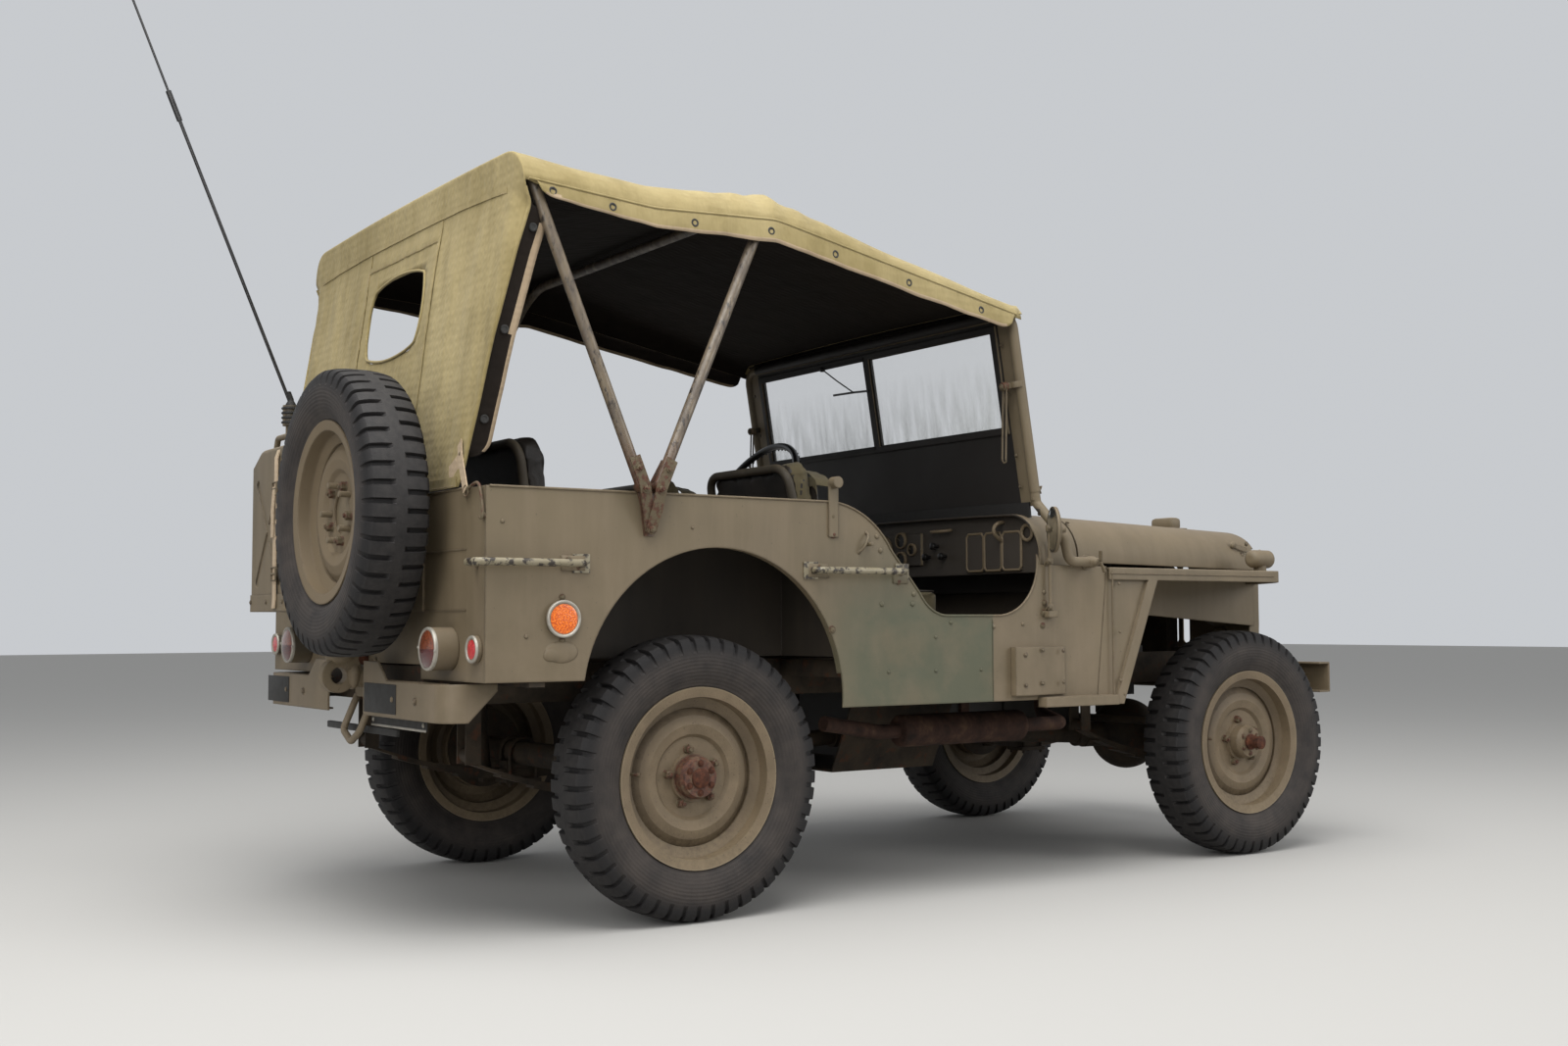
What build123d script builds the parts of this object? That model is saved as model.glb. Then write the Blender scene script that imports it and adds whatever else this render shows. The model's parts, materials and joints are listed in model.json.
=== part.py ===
"""Quarter-ton 4x4 army car with its canvas top up, as an assembly of separate pieces.

Millimetres. +Z is up, the car faces -Y, and its right-hand side is -X. The origin is on
the ground, under the middle of the whole outline. Heights are above the ground.
"""

import os
from math import asin, cos, degrees, radians, sin

from build123d import *

os.makedirs("parts", exist_ok=True)

# Driving dimensions
WHEELBASE = 2032.0
TRACK = 1245.0
TYRE_RADIUS = 350.0
TYRE_WIDTH = 162.0
REAR_AXLE_Y = 625.0
BODY_HALF_WIDTH = 745.0
BODY_TOP = 1040.0
BODY_TAIL = 600.0
SHEET = 5.0
FLOOR_TOP = 646.0
SILL_BOTTOM = 512.0
SEAM_GAP = 7.0
RUNNING_GAP = 0.4
SEAT_GAP = 0.3

FRONT_AXLE_Y = REAR_AXLE_Y - WHEELBASE
FRONT_STATION = -WHEELBASE
HUB_HEIGHT = TYRE_RADIUS
SIDES = ((-1, "right"), (1, "left"))


def aft(distance):
    """Model y of a station this far behind the rear axle."""
    return REAR_AXLE_Y + distance


def side_plane(x):
    """Upright plane along the car; sketches on it are drawn in (y, z)."""
    return Plane.YZ.offset(x)


def cross_plane(y):
    """Upright plane across the car; sketches on it are drawn in (x, z)."""
    return Plane.XZ.offset(-y)


def block(xs, ys, zs, mode=Mode.ADD):
    """A square-edged bar or plate between two x, two y and two z values."""
    middle = ((xs[0] + xs[1]) / 2, (ys[0] + ys[1]) / 2, (zs[0] + zs[1]) / 2)
    with Locations(middle):
        Box(abs(xs[1] - xs[0]), abs(ys[1] - ys[0]), abs(zs[1] - zs[0]), mode=mode)


def rod(start, end, radius, mode=Mode.ADD):
    """A straight round bar from one point to another."""
    along = Vector(*end) - Vector(*start)
    with BuildSketch(Plane(origin=start, z_dir=along)) as section:
        Circle(radius)
    extrude(section.sketch, amount=along.length, mode=mode)


def bent_tube(points, bend, radius):
    """A round tube through the points, bent to one radius at each corner."""
    with BuildLine() as path:
        FilletPolyline(*points, radius=bend)
    with BuildSketch(Plane(origin=path.line @ 0, z_dir=path.line % 0)) as section:
        Circle(radius)
    sweep(section.sketch, path=path.line)


def cut_plate(plane, outline, amount, both=False, mode=Mode.ADD):
    """A plate cut to a closed straight-sided outline, as thick as the amount."""
    with BuildSketch(plane) as section:
        with BuildLine():
            Polyline(*outline, close=True)
        make_face()
    extrude(section.sketch, amount=amount, both=both, mode=mode)


def arched_section(plane, half_width, bottom, top, corner, crown):
    """Cross-section of cowl, hood or roof: upright sides, round shoulders, crowned top."""
    with BuildSketch(plane) as section:
        with BuildLine():
            Line((half_width, bottom), (half_width, top - corner))
            CenterArc((half_width - corner, top - corner), corner, 0, 90)
            ThreePointArc((half_width - corner, top), (0, top + crown), (corner - half_width, top))
            CenterArc((corner - half_width, top - corner), corner, 90, 90)
            Line((-half_width, top - corner), (-half_width, bottom))
            Line((-half_width, bottom), (half_width, bottom))
        make_face()
    return section.sketch


# Ladder frame: two channel rails, cross members, body outriggers and the skid plate
RAIL_OUTER = 371.0
RAIL_INNER = 320.0
RAIL_BOTTOM = 532.0
RAIL_TOP = 630.0
RAIL_FRONT = FRONT_STATION - 432.0
RAIL_REAR = 590.0
RAIL_WEB = 6.0
RAIL_HORN = 70.0
CROSS_MEMBERS = (RAIL_FRONT + 34.0, -600.0, 120.0, 566.0)
CROSS_DEPTH = 44.0
OUTRIGGERS = (-1180.0, -470.0, 470.0)
OUTRIGGER_WIDTH = 40.0
OUTRIGGER_DEPTH = 45.0
HANGER_CHEEK = 5.0
HANGER_HALF = 20.0
SPRING_X = 343.0
SPRING_EYE_Z = 405.0
FRONT_SPRING_HALF = 405.0
REAR_SPRING_HALF = 460.0
SPRING_HALF_WIDTH = 22.0
EYE_RADIUS = 17.0
PIN_RADIUS = 8.0
SKID_BOTTOM = 292.0
SKID_FRONT = -1110.0
SKID_REAR = -730.0
SKID_HALF = 232.0
SKID_TOP_HALF = RAIL_OUTER - 18.0

with BuildPart() as frame:
    for side, side_name in SIDES:
        block(
            (side * RAIL_INNER, side * RAIL_OUTER),
            (aft(RAIL_FRONT), aft(RAIL_REAR)),
            (RAIL_BOTTOM, RAIL_TOP),
        )
        block(
            (side * (RAIL_INNER - 1), side * (RAIL_OUTER - RAIL_WEB)),
            (aft(RAIL_FRONT) + RAIL_HORN, aft(RAIL_REAR) - RAIL_HORN),
            (RAIL_BOTTOM + RAIL_WEB, RAIL_TOP - RAIL_WEB),
            mode=Mode.SUBTRACT,
        )
        for station in OUTRIGGERS:
            block(
                (side * (RAIL_OUTER - 1), side * (BODY_HALF_WIDTH - SHEET - SEAT_GAP)),
                (aft(station) - OUTRIGGER_WIDTH / 2, aft(station) + OUTRIGGER_WIDTH / 2),
                (RAIL_TOP - OUTRIGGER_DEPTH, RAIL_TOP),
            )
    for station in CROSS_MEMBERS:
        block(
            (-RAIL_OUTER + RAIL_WEB / 2, RAIL_OUTER - RAIL_WEB / 2),
            (aft(station) - CROSS_DEPTH / 2, aft(station) + CROSS_DEPTH / 2),
            (RAIL_BOTTOM + RAIL_WEB / 2, RAIL_TOP - RAIL_WEB / 2),
        )
    # Spring hangers: two cheeks and a pin at each spring eye
    for axle_y, half_span in ((FRONT_AXLE_Y, FRONT_SPRING_HALF), (REAR_AXLE_Y, REAR_SPRING_HALF)):
        for end in (-1, 1):
            eye_y = axle_y + end * half_span
            for side, side_name in SIDES:
                for cheek in (-1, 1):
                    near = side * SPRING_X + cheek * (SPRING_HALF_WIDTH + 1)
                    block(
                        (near, near + cheek * HANGER_CHEEK),
                        (eye_y - HANGER_HALF, eye_y + HANGER_HALF),
                        (SPRING_EYE_Z - HANGER_HALF, RAIL_BOTTOM + 1),
                    )
                pin_reach = SPRING_HALF_WIDTH + 3
                rod(
                    (side * SPRING_X - pin_reach, eye_y, SPRING_EYE_Z),
                    (side * SPRING_X + pin_reach, eye_y, SPRING_EYE_Z),
                    PIN_RADIUS,
                )
    # Skid plate: a trough slung from rail to rail under the transfer gears
    skid_top = RAIL_BOTTOM + 4
    skid_outline = (
        (-SKID_TOP_HALF, skid_top),
        (-SKID_HALF, SKID_BOTTOM),
        (SKID_HALF, SKID_BOTTOM),
        (SKID_TOP_HALF, skid_top),
        (SKID_TOP_HALF - 8, skid_top),
        (SKID_HALF - 4, SKID_BOTTOM + 6),
        (-SKID_HALF + 4, SKID_BOTTOM + 6),
        (-SKID_TOP_HALF + 8, skid_top),
    )
    cut_plate(cross_plane(aft(SKID_REAR)), skid_outline, SKID_REAR - SKID_FRONT)
frame.part.label = "frame"
export_step(frame.part, "parts/frame.step")


# Front bumper: a pressed channel, open to the rear, with a gusset to each rail
BUMPER_HALF = 620.0
BUMPER_FRONT = RAIL_FRONT - 55.0
BUMPER_BOTTOM = 492.0
BUMPER_TOP = 592.0
BUMPER_WALL = 6.0

with BuildPart() as front_bumper:
    block((-BUMPER_HALF, BUMPER_HALF), (aft(BUMPER_FRONT), aft(RAIL_FRONT)), (BUMPER_BOTTOM, BUMPER_TOP))
    block(
        (-BUMPER_HALF - 1, BUMPER_HALF + 1),
        (aft(BUMPER_FRONT) + BUMPER_WALL, aft(RAIL_FRONT) + 1),
        (BUMPER_BOTTOM + BUMPER_WALL, BUMPER_TOP - BUMPER_WALL),
        mode=Mode.SUBTRACT,
    )
    fillet(front_bumper.edges().filter_by(Axis.X).group_by(Axis.Y)[0], 5)
    for side, side_name in SIDES:
        gusset = (
            (aft(BUMPER_FRONT) + 2, BUMPER_BOTTOM + 10),
            (aft(RAIL_FRONT), BUMPER_BOTTOM + 10),
            (aft(RAIL_FRONT) + 160, RAIL_BOTTOM + 6),
            (aft(RAIL_FRONT) + 160, RAIL_BOTTOM + 40),
            (aft(RAIL_FRONT), BUMPER_TOP - 2),
            (aft(BUMPER_FRONT) + 2, BUMPER_TOP - 2),
        )
        cut_plate(side_plane(side * (RAIL_OUTER + 3)), gusset, 3, both=True)
front_bumper.part.label = "front_bumper"
export_step(front_bumper.part, "parts/front_bumper.step")


# Rear bumperettes: short pressed rails, one each side of the towing hook
BUMPERETTE_INNER = 130.0
BUMPERETTE_OUTER = 640.0
BUMPERETTE_BACK = 652.0
BUMPERETTE_BOTTOM = 503.0
BUMPERETTE_TOP = 592.0
BUMPERETTE_RAISED = 638.0
BUMPERETTE_FRONT = 520.0
BUMPERETTE_CORNER = 55.0

with BuildPart() as rear_bumperettes:
    for side, side_name in SIDES:
        straight = side * (BUMPERETTE_OUTER - BUMPERETTE_CORNER)
        turn = aft(BUMPERETTE_BACK) - BUMPERETTE_CORNER
        with BuildSketch(Plane.XY.offset(BUMPERETTE_BOTTOM)) as wall:
            with BuildLine():
                FilletPolyline(
                    (side * BUMPERETTE_INNER, aft(BUMPERETTE_BACK)),
                    (side * BUMPERETTE_OUTER, aft(BUMPERETTE_BACK)),
                    (side * BUMPERETTE_OUTER, aft(BUMPERETTE_FRONT)),
                    radius=BUMPERETTE_CORNER,
                )
                FilletPolyline(
                    (side * BUMPERETTE_INNER, aft(BUMPERETTE_BACK) - SHEET),
                    (side * (BUMPERETTE_OUTER - SHEET), aft(BUMPERETTE_BACK) - SHEET),
                    (side * (BUMPERETTE_OUTER - SHEET), aft(BUMPERETTE_FRONT)),
                    radius=BUMPERETTE_CORNER - SHEET,
                )
                Line(
                    (side * BUMPERETTE_INNER, aft(BUMPERETTE_BACK)),
                    (side * BUMPERETTE_INNER, aft(BUMPERETTE_BACK) - SHEET),
                )
                Line(
                    (side * BUMPERETTE_OUTER, aft(BUMPERETTE_FRONT)),
                    (side * (BUMPERETTE_OUTER - SHEET), aft(BUMPERETTE_FRONT)),
                )
            make_face()
        extrude(wall.sketch, amount=BUMPERETTE_TOP - BUMPERETTE_BOTTOM)
        # Raised inner end
        raised = (
            (side * BUMPERETTE_INNER, BUMPERETTE_TOP - 10),
            (side * BUMPERETTE_INNER, BUMPERETTE_RAISED),
            (side * (BUMPERETTE_INNER + 98), BUMPERETTE_RAISED),
            (side * (BUMPERETTE_INNER + 158), BUMPERETTE_TOP - 1),
            (side * (BUMPERETTE_INNER + 158), BUMPERETTE_TOP - 10),
        )
        cut_plate(cross_plane(aft(BUMPERETTE_BACK)), raised, SHEET)
        # Lower edge rising towards the front of the side return
        wedge = (
            (turn - 4, BUMPERETTE_BOTTOM - 1),
            (aft(BUMPERETTE_FRONT) - 1, BUMPERETTE_TOP - 16),
            (aft(BUMPERETTE_FRONT) - 1, BUMPERETTE_BOTTOM - 1),
        )
        outer_plane = side_plane(side * (BUMPERETTE_OUTER + 1))
        cut_plate(outer_plane, wedge, -side * (SHEET + 2), mode=Mode.SUBTRACT)
        # Top and bottom flanges of the pressing
        for low in (BUMPERETTE_BOTTOM, BUMPERETTE_TOP - SHEET):
            block(
                (side * (BUMPERETTE_INNER + 60), straight),
                (aft(BUMPERETTE_BACK) - 36, aft(BUMPERETTE_BACK) - 2),
                (low, low + SHEET),
            )
        # Bracket from the rail's end to the pressing
        block(
            (side * (RAIL_INNER + 10), side * (RAIL_OUTER - 10)),
            (aft(RAIL_REAR) + 0.2, aft(BUMPERETTE_BACK) - 2),
            (RAIL_BOTTOM + 8, BUMPERETTE_TOP - 2),
        )
rear_bumperettes.part.label = "rear_bumperettes"
export_step(rear_bumperettes.part, "parts/rear_bumperettes.step")


# Towing gear: the pintle hook, its plate, and the bent eye bar under it
PINTLE_Z = 606.0
PINTLE_EYE = 21.0
PINTLE_RING = 44.0
PINTLE_REACH = 84.0
PINTLE_HALF = 17.0
PINTLE_PLATE = 62.0
LOOP_HALF = 60.0
LOOP_OUT = 44.0

with BuildPart() as towing_gear:
    plate_y = aft(RAIL_REAR) + 2 * SEAT_GAP
    block((-PINTLE_PLATE, PINTLE_PLATE), (plate_y, plate_y + 12), (PINTLE_Z - 64, PINTLE_Z + 22))
    rod((0, plate_y + 10, PINTLE_Z - 12), (0, plate_y + PINTLE_REACH - 32, PINTLE_Z - 12), 27)
    # Hook and latch as a closed ring seen from the side
    with BuildSketch(side_plane(0)) as ring:
        with Locations((plate_y + PINTLE_REACH, PINTLE_Z - 8)):
            Circle(PINTLE_RING)
            Circle(PINTLE_EYE, mode=Mode.SUBTRACT)
    extrude(ring.sketch, amount=PINTLE_HALF, both=True)
    # Latch block over the ring, clear of its eye
    block((-24, 24), (plate_y + 30, plate_y + PINTLE_REACH - 18), (PINTLE_Z + 8, PINTLE_Z + 44))
    # Bent loop below the hook
    bent_tube(
        (
            (-LOOP_HALF, plate_y + 6, PINTLE_Z - 60),
            (-LOOP_HALF, plate_y + LOOP_OUT, PINTLE_Z - 150),
            (0, plate_y + LOOP_OUT, PINTLE_Z - 178),
            (LOOP_HALF, plate_y + LOOP_OUT, PINTLE_Z - 150),
            (LOOP_HALF, plate_y + 6, PINTLE_Z - 60),
        ),
        22,
        9,
    )
towing_gear.part.label = "towing_gear"
export_step(towing_gear.part, "parts/towing_gear.step")


# Body tub: floor with the two wheel boxes
WHEEL_BOX_INNER = 457.0
WHEEL_BOX_TOP = 930.0
WHEEL_BOX_FRONT = -400.0
INNER_FACE = BODY_HALF_WIDTH - SHEET
FLOOR_BOTTOM = FLOOR_TOP - SHEET
TOE_FRONT = -1325.0
TOE_START = -1150.0
TOE_TOP = 820.0
LOCKER_FRONT = 400.0

with BuildPart() as floor_pan:
    block((-INNER_FACE, INNER_FACE), (aft(TOE_START), aft(WHEEL_BOX_FRONT)), (FLOOR_BOTTOM, FLOOR_TOP))
    block(
        (-WHEEL_BOX_INNER, WHEEL_BOX_INNER),
        (aft(WHEEL_BOX_FRONT) - 1, aft(BODY_TAIL) - SHEET),
        (FLOOR_BOTTOM, FLOOR_TOP),
    )
    toe_board = (
        (aft(TOE_START) + 1, FLOOR_BOTTOM),
        (aft(TOE_START) + 1, FLOOR_TOP),
        (aft(TOE_FRONT), TOE_TOP),
        (aft(TOE_FRONT), TOE_TOP - 8),
    )
    cut_plate(side_plane(-INNER_FACE), toe_board, 2 * INNER_FACE)
    for side, side_name in SIDES:
        across = (side * WHEEL_BOX_INNER, side * INNER_FACE)
        inner_wall = (side * WHEEL_BOX_INNER, side * (WHEEL_BOX_INNER + SHEET))
        along = (aft(WHEEL_BOX_FRONT), aft(BODY_TAIL) - SHEET)
        block(inner_wall, along, (FLOOR_BOTTOM, WHEEL_BOX_TOP))
        block(across, along, (WHEEL_BOX_TOP - SHEET, WHEEL_BOX_TOP))
        block(across, (along[0], along[0] + SHEET), (FLOOR_BOTTOM, WHEEL_BOX_TOP))
        # Tool compartment behind the wheel: its floor and its front wall
        locker_front = aft(LOCKER_FRONT)
        locker_floor = RAIL_TOP + 1
        block(across, (locker_front, along[1]), (locker_floor, locker_floor + SHEET))
        block(across, (locker_front, locker_front + SHEET), (locker_floor, WHEEL_BOX_TOP))
floor_pan.part.label = "floor_pan"
export_step(floor_pan.part, "parts/floor_pan.step")


# Body sides: outline with the doorway curve and the wheel arch cut through
ARCH_CENTRE = (aft(-18), 540.0)
ARCH_RADIUS = 374.0
DOOR_REAR = -361.0
DOOR_SILL = 748.0
DOOR_FRONT = -1072.0
COWL_REAR = -1085.0
COWL_FRONT = -1331.0
COWL_LEDGE = 890.0
TAIL_BOTTOM = 597.0
SIDE_FRONT = -1345.0

for side, side_name in SIDES:
    with BuildPart() as side_panel:
        with BuildSketch(side_plane(side * BODY_HALF_WIDTH)) as outline:
            with BuildLine():
                Polyline(
                    (aft(BODY_TAIL), TAIL_BOTTOM),
                    (aft(BODY_TAIL), BODY_TOP),
                    (aft(DOOR_REAR), BODY_TOP),
                )
                ThreePointArc((aft(DOOR_REAR), BODY_TOP), (aft(-470), 1003), (aft(-552), 918))
                Line((aft(-552), 918), (aft(-648), 806))
                ThreePointArc((aft(-648), 806), (aft(-682), 768), (aft(-735), DOOR_SILL))
                Line((aft(-735), DOOR_SILL), (aft(-935), DOOR_SILL))
                ThreePointArc((aft(-935), DOOR_SILL), (aft(-1032), 795), (aft(DOOR_FRONT), 900))
                Polyline(
                    (aft(DOOR_FRONT), 900),
                    (aft(DOOR_FRONT), COWL_LEDGE + 30),
                    (aft(COWL_REAR), COWL_LEDGE),
                    (aft(SIDE_FRONT), COWL_LEDGE),
                    (aft(SIDE_FRONT) + 45, SILL_BOTTOM),
                    (aft(-372), SILL_BOTTOM),
                    (aft(-372), TAIL_BOTTOM),
                    (aft(BODY_TAIL), TAIL_BOTTOM),
                )
            make_face()
            with Locations(ARCH_CENTRE):
                Circle(ARCH_RADIUS, mode=Mode.SUBTRACT)
        extrude(outline.sketch, amount=-side * SHEET)
        # Folded rail along the top edge, and the lip round the arch
        block(
            (side * (BODY_HALF_WIDTH - 24), side * (BODY_HALF_WIDTH - 1)),
            (aft(DOOR_REAR) + 10, aft(BODY_TAIL) - SHEET),
            (BODY_TOP - SHEET, BODY_TOP),
        )
        with BuildSketch(side_plane(side * BODY_HALF_WIDTH)) as lip:
            with Locations(ARCH_CENTRE):
                Circle(ARCH_RADIUS + 4)
                Circle(ARCH_RADIUS - 0.5, mode=Mode.SUBTRACT)
            with Locations((ARCH_CENTRE[0], TAIL_BOTTOM + 2 - 500)):
                Rectangle(1000, 1000, mode=Mode.SUBTRACT)
        extrude(lip.sketch, amount=-side * 22)
    side_panel.part.label = "side_panel_" + side_name
    export_step(side_panel.part, "parts/side_panel_" + side_name + ".step")


# Rear panel between the sides
with BuildPart() as rear_panel:
    with BuildSketch(cross_plane(aft(BODY_TAIL))) as outline:
        with Locations((0, (TAIL_BOTTOM + BODY_TOP) / 2)):
            Rectangle(2 * INNER_FACE - 2 * SEAT_GAP, BODY_TOP - TAIL_BOTTOM)
        with Locations((0, TAIL_BOTTOM)):
            Rectangle(2 * RAIL_OUTER + 12, 2 * (RAIL_TOP - TAIL_BOTTOM) + 4, mode=Mode.SUBTRACT)
    extrude(outline.sketch, amount=SHEET)
    block(
        (-INNER_FACE + 30, INNER_FACE - 30),
        (aft(BODY_TAIL) - 24, aft(BODY_TAIL) - 1),
        (BODY_TOP - SHEET, BODY_TOP),
    )
rear_panel.part.label = "rear_panel"
export_step(rear_panel.part, "parts/rear_panel.step")


# Steering column line, from the wheel's centre down through the dash
WHEEL_CENTRE = Vector(330, aft(-815), 1130)
COLUMN_FOOT = Vector(330, aft(-1640), 634)
COLUMN_DIRECTION = (COLUMN_FOOT - WHEEL_CENTRE).normalized()
COLUMN_RADIUS = 20.0
COLUMN_LENGTH = 568.0
COLUMN_HOLE = (200.0, 480.0)

# Cowl: rounded shell between dash and hood, with the dash panel and the firewall
COWL_TOP = 1046.0
DASH_TOP = 1040.0
SHOULDER = 130.0
HOOD_REAR_HALF = 640.0
CROWN = 12.0
DASH_CROWN = 6.0
DASH_SETBACK = 30.0

# Hinge line of the hood, on top of the seam between cowl and hood
HINGE_Z = COWL_TOP + CROWN + 8.0
HINGE_Y = aft(COWL_FRONT) - SEAM_GAP / 2
KNUCKLE_INNER = 60.0
KNUCKLE_OUTER = 120.0
KNUCKLE_RADIUS = 6.0
KNUCKLE_FLAP = 45.0

# Raised panels on the dash, as (x, x, bottom, top, how far they stand out)
DASH_PANELS = (
    (-190.0, 190.0, 905.0, 1005.0, 9.0),
    (-640.0, -400.0, 880.0, 990.0, 7.0),
)

cowl_inner_rear = arched_section(
    cross_plane(aft(COWL_REAR) + 1),
    BODY_HALF_WIDTH - SHEET,
    COWL_LEDGE - 1,
    DASH_TOP - SHEET,
    SHOULDER - SHEET,
    DASH_CROWN,
)
cowl_inner_front = arched_section(
    cross_plane(aft(COWL_FRONT) - 1),
    HOOD_REAR_HALF - SHEET,
    COWL_LEDGE - 1,
    COWL_TOP - SHEET,
    SHOULDER - SHEET,
    CROWN,
)
cowl_rear = arched_section(
    cross_plane(aft(COWL_REAR)),
    BODY_HALF_WIDTH,
    COWL_LEDGE + SEAT_GAP,
    DASH_TOP,
    SHOULDER,
    DASH_CROWN,
)
cowl_front = arched_section(
    cross_plane(aft(COWL_FRONT)),
    HOOD_REAR_HALF,
    COWL_LEDGE + SEAT_GAP,
    COWL_TOP,
    SHOULDER,
    CROWN,
)

with BuildPart() as cowl:
    loft([cowl_rear, cowl_front], ruled=True)
    loft([cowl_inner_rear, cowl_inner_front], ruled=True, mode=Mode.SUBTRACT)
    # Firewall, down to the toe board
    firewall_section = arched_section(
        cross_plane(aft(COWL_FRONT) + SHEET),
        HOOD_REAR_HALF - 2,
        TOE_TOP + 1,
        COWL_TOP - 2,
        SHOULDER,
        CROWN,
    )
    extrude(firewall_section, amount=SHEET)
    # Dash panel, set back under the cowl's rear edge
    dash_section = arched_section(
        cross_plane(aft(COWL_REAR) - DASH_SETBACK),
        BODY_HALF_WIDTH - SHEET - 8,
        COWL_LEDGE - 20,
        DASH_TOP - 3,
        SHOULDER,
        DASH_CROWN,
    )
    extrude(dash_section, amount=SHEET)
    # Instrument cluster bezel at the middle, and the glove box rim on the right
    dash_face = aft(COWL_REAR) - DASH_SETBACK
    for near_x, far_x, low, high, stand in DASH_PANELS:
        block((near_x, far_x), (dash_face - 1, dash_face + stand), (low, high))
    # Hole for the steering column
    hole_start = WHEEL_CENTRE + COLUMN_DIRECTION * COLUMN_HOLE[0]
    hole_end = WHEEL_CENTRE + COLUMN_DIRECTION * COLUMN_HOLE[1]
    rod(tuple(hole_start), tuple(hole_end), COLUMN_RADIUS + SEAT_GAP, mode=Mode.SUBTRACT)
    # Outer knuckles of the hood's hinge
    for side, side_name in SIDES:
        near, far = side * (KNUCKLE_INNER + RUNNING_GAP + 0.1), side * KNUCKLE_OUTER
        rod((near, HINGE_Y, HINGE_Z), (far, HINGE_Y, HINGE_Z), KNUCKLE_RADIUS)
        block((near, far), (HINGE_Y + 2, HINGE_Y + KNUCKLE_FLAP), (COWL_TOP + 4, HINGE_Z - 2))
cowl.part.label = "cowl"
export_step(cowl.part, "parts/cowl.step")


# Hood: tapering shell with round shoulders and a turned-down nose
HOOD_REAR = COWL_FRONT - SEAM_GAP
HOOD_FRONT = FRONT_STATION - 256.0
HOOD_FRONT_HALF = 520.0
HOOD_FRONT_TOP = 1030.0
HOOD_BOTTOM_REAR = 905.0
HOOD_BOTTOM_FRONT = 898.0
HOOD_NOSE = 62.0
HOOD_WALL = 4.0
FILLER_STATION = HOOD_FRONT + 298.0
FILLER_RADIUS = 48.0

hood_rear = arched_section(
    cross_plane(aft(HOOD_REAR)), HOOD_REAR_HALF, HOOD_BOTTOM_REAR, COWL_TOP, SHOULDER, CROWN
)
hood_front = arched_section(
    cross_plane(aft(HOOD_FRONT)), HOOD_FRONT_HALF, HOOD_BOTTOM_FRONT, HOOD_FRONT_TOP, SHOULDER, CROWN
)
hood_inner_rear = arched_section(
    cross_plane(aft(HOOD_REAR) + 1),
    HOOD_REAR_HALF - HOOD_WALL,
    HOOD_BOTTOM_REAR - 9,
    COWL_TOP - HOOD_WALL,
    SHOULDER - HOOD_WALL,
    CROWN,
)
hood_inner_front = arched_section(
    cross_plane(aft(HOOD_FRONT) + HOOD_WALL),
    HOOD_FRONT_HALF - HOOD_WALL,
    HOOD_BOTTOM_FRONT - 9,
    HOOD_FRONT_TOP - HOOD_WALL,
    SHOULDER - HOOD_WALL,
    CROWN,
)


def nose_profile(inset):
    """Side view of the hood: level top that turns down at the nose."""
    nose = HOOD_NOSE - inset
    front = aft(HOOD_FRONT) + inset
    top = HOOD_FRONT_TOP + CROWN - inset
    slope = (COWL_TOP - HOOD_FRONT_TOP) / (HOOD_REAR - HOOD_FRONT)
    rear_top = top + slope * (aft(HOOD_REAR) - front)
    with BuildSketch(side_plane(0)) as profile:
        with BuildLine():
            Line((front, top - nose), (front, HOOD_BOTTOM_FRONT - 40))
            Line((front, HOOD_BOTTOM_FRONT - 40), (aft(HOOD_REAR) + 10, HOOD_BOTTOM_FRONT - 40))
            Line((aft(HOOD_REAR) + 10, HOOD_BOTTOM_FRONT - 40), (aft(HOOD_REAR) + 10, rear_top + 2))
            Line((aft(HOOD_REAR) + 10, rear_top + 2), (front + nose, top + 2))
            ThreePointArc(
                (front + nose, top + 2),
                (front + nose * (1 - sin(radians(45))), top - nose * (1 - sin(radians(45)))),
                (front, top - nose),
            )
        make_face()
    return profile.sketch


with BuildPart() as hood_space:
    loft([hood_inner_rear, hood_inner_front], ruled=True)
    extrude(nose_profile(HOOD_WALL), amount=HOOD_REAR_HALF, both=True, mode=Mode.INTERSECT)

with BuildPart() as hood:
    loft([hood_rear, hood_front], ruled=True)
    extrude(nose_profile(0), amount=HOOD_REAR_HALF + 1, both=True, mode=Mode.INTERSECT)
    add(hood_space.part, mode=Mode.SUBTRACT)
    # Open below the nose, where the grille stands
    block(
        (-HOOD_FRONT_HALF - 10, HOOD_FRONT_HALF + 10),
        (aft(HOOD_FRONT) - 10, aft(HOOD_FRONT) + 12),
        (HOOD_BOTTOM_FRONT - 20, HOOD_FRONT_TOP - 60),
        mode=Mode.SUBTRACT,
    )
    # Raised cover over the filler, and the middle knuckle of the hinge
    with Locations((0, aft(FILLER_STATION), HOOD_FRONT_TOP + CROWN + 6)):
        Cylinder(FILLER_RADIUS, 18)
    rod((-KNUCKLE_INNER, HINGE_Y, HINGE_Z), (KNUCKLE_INNER, HINGE_Y, HINGE_Z), KNUCKLE_RADIUS)
    block(
        (-KNUCKLE_INNER, KNUCKLE_INNER),
        (HINGE_Y - KNUCKLE_FLAP, HINGE_Y - 2),
        (COWL_TOP + 4, HINGE_Z - 2),
    )
hood.part.label = "hood"
export_step(hood.part, "parts/hood.step")


# Grille: flat pressing with nine slots, lamp windows and a round-cornered top
GRILLE_Y = HOOD_FRONT - 8.0
GRILLE_TOP = 960.0
GRILLE_BOTTOM = RAIL_TOP + 2.0
GRILLE_HALF = 512.0
SLOT_COUNT = 9
SLOT_PITCH = 50.0
SLOT_WIDTH = 30.0
SLOT_HEIGHT = 270.0
SLOT_MIDDLE = 790.0
LAMP_X = 358.0
LAMP_Z = 806.0
LAMP_RADIUS = 92.0
LAMP_RIM = 12.0
MARKER_Z = 674.0
MARKER_RADIUS = 30.0

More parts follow.
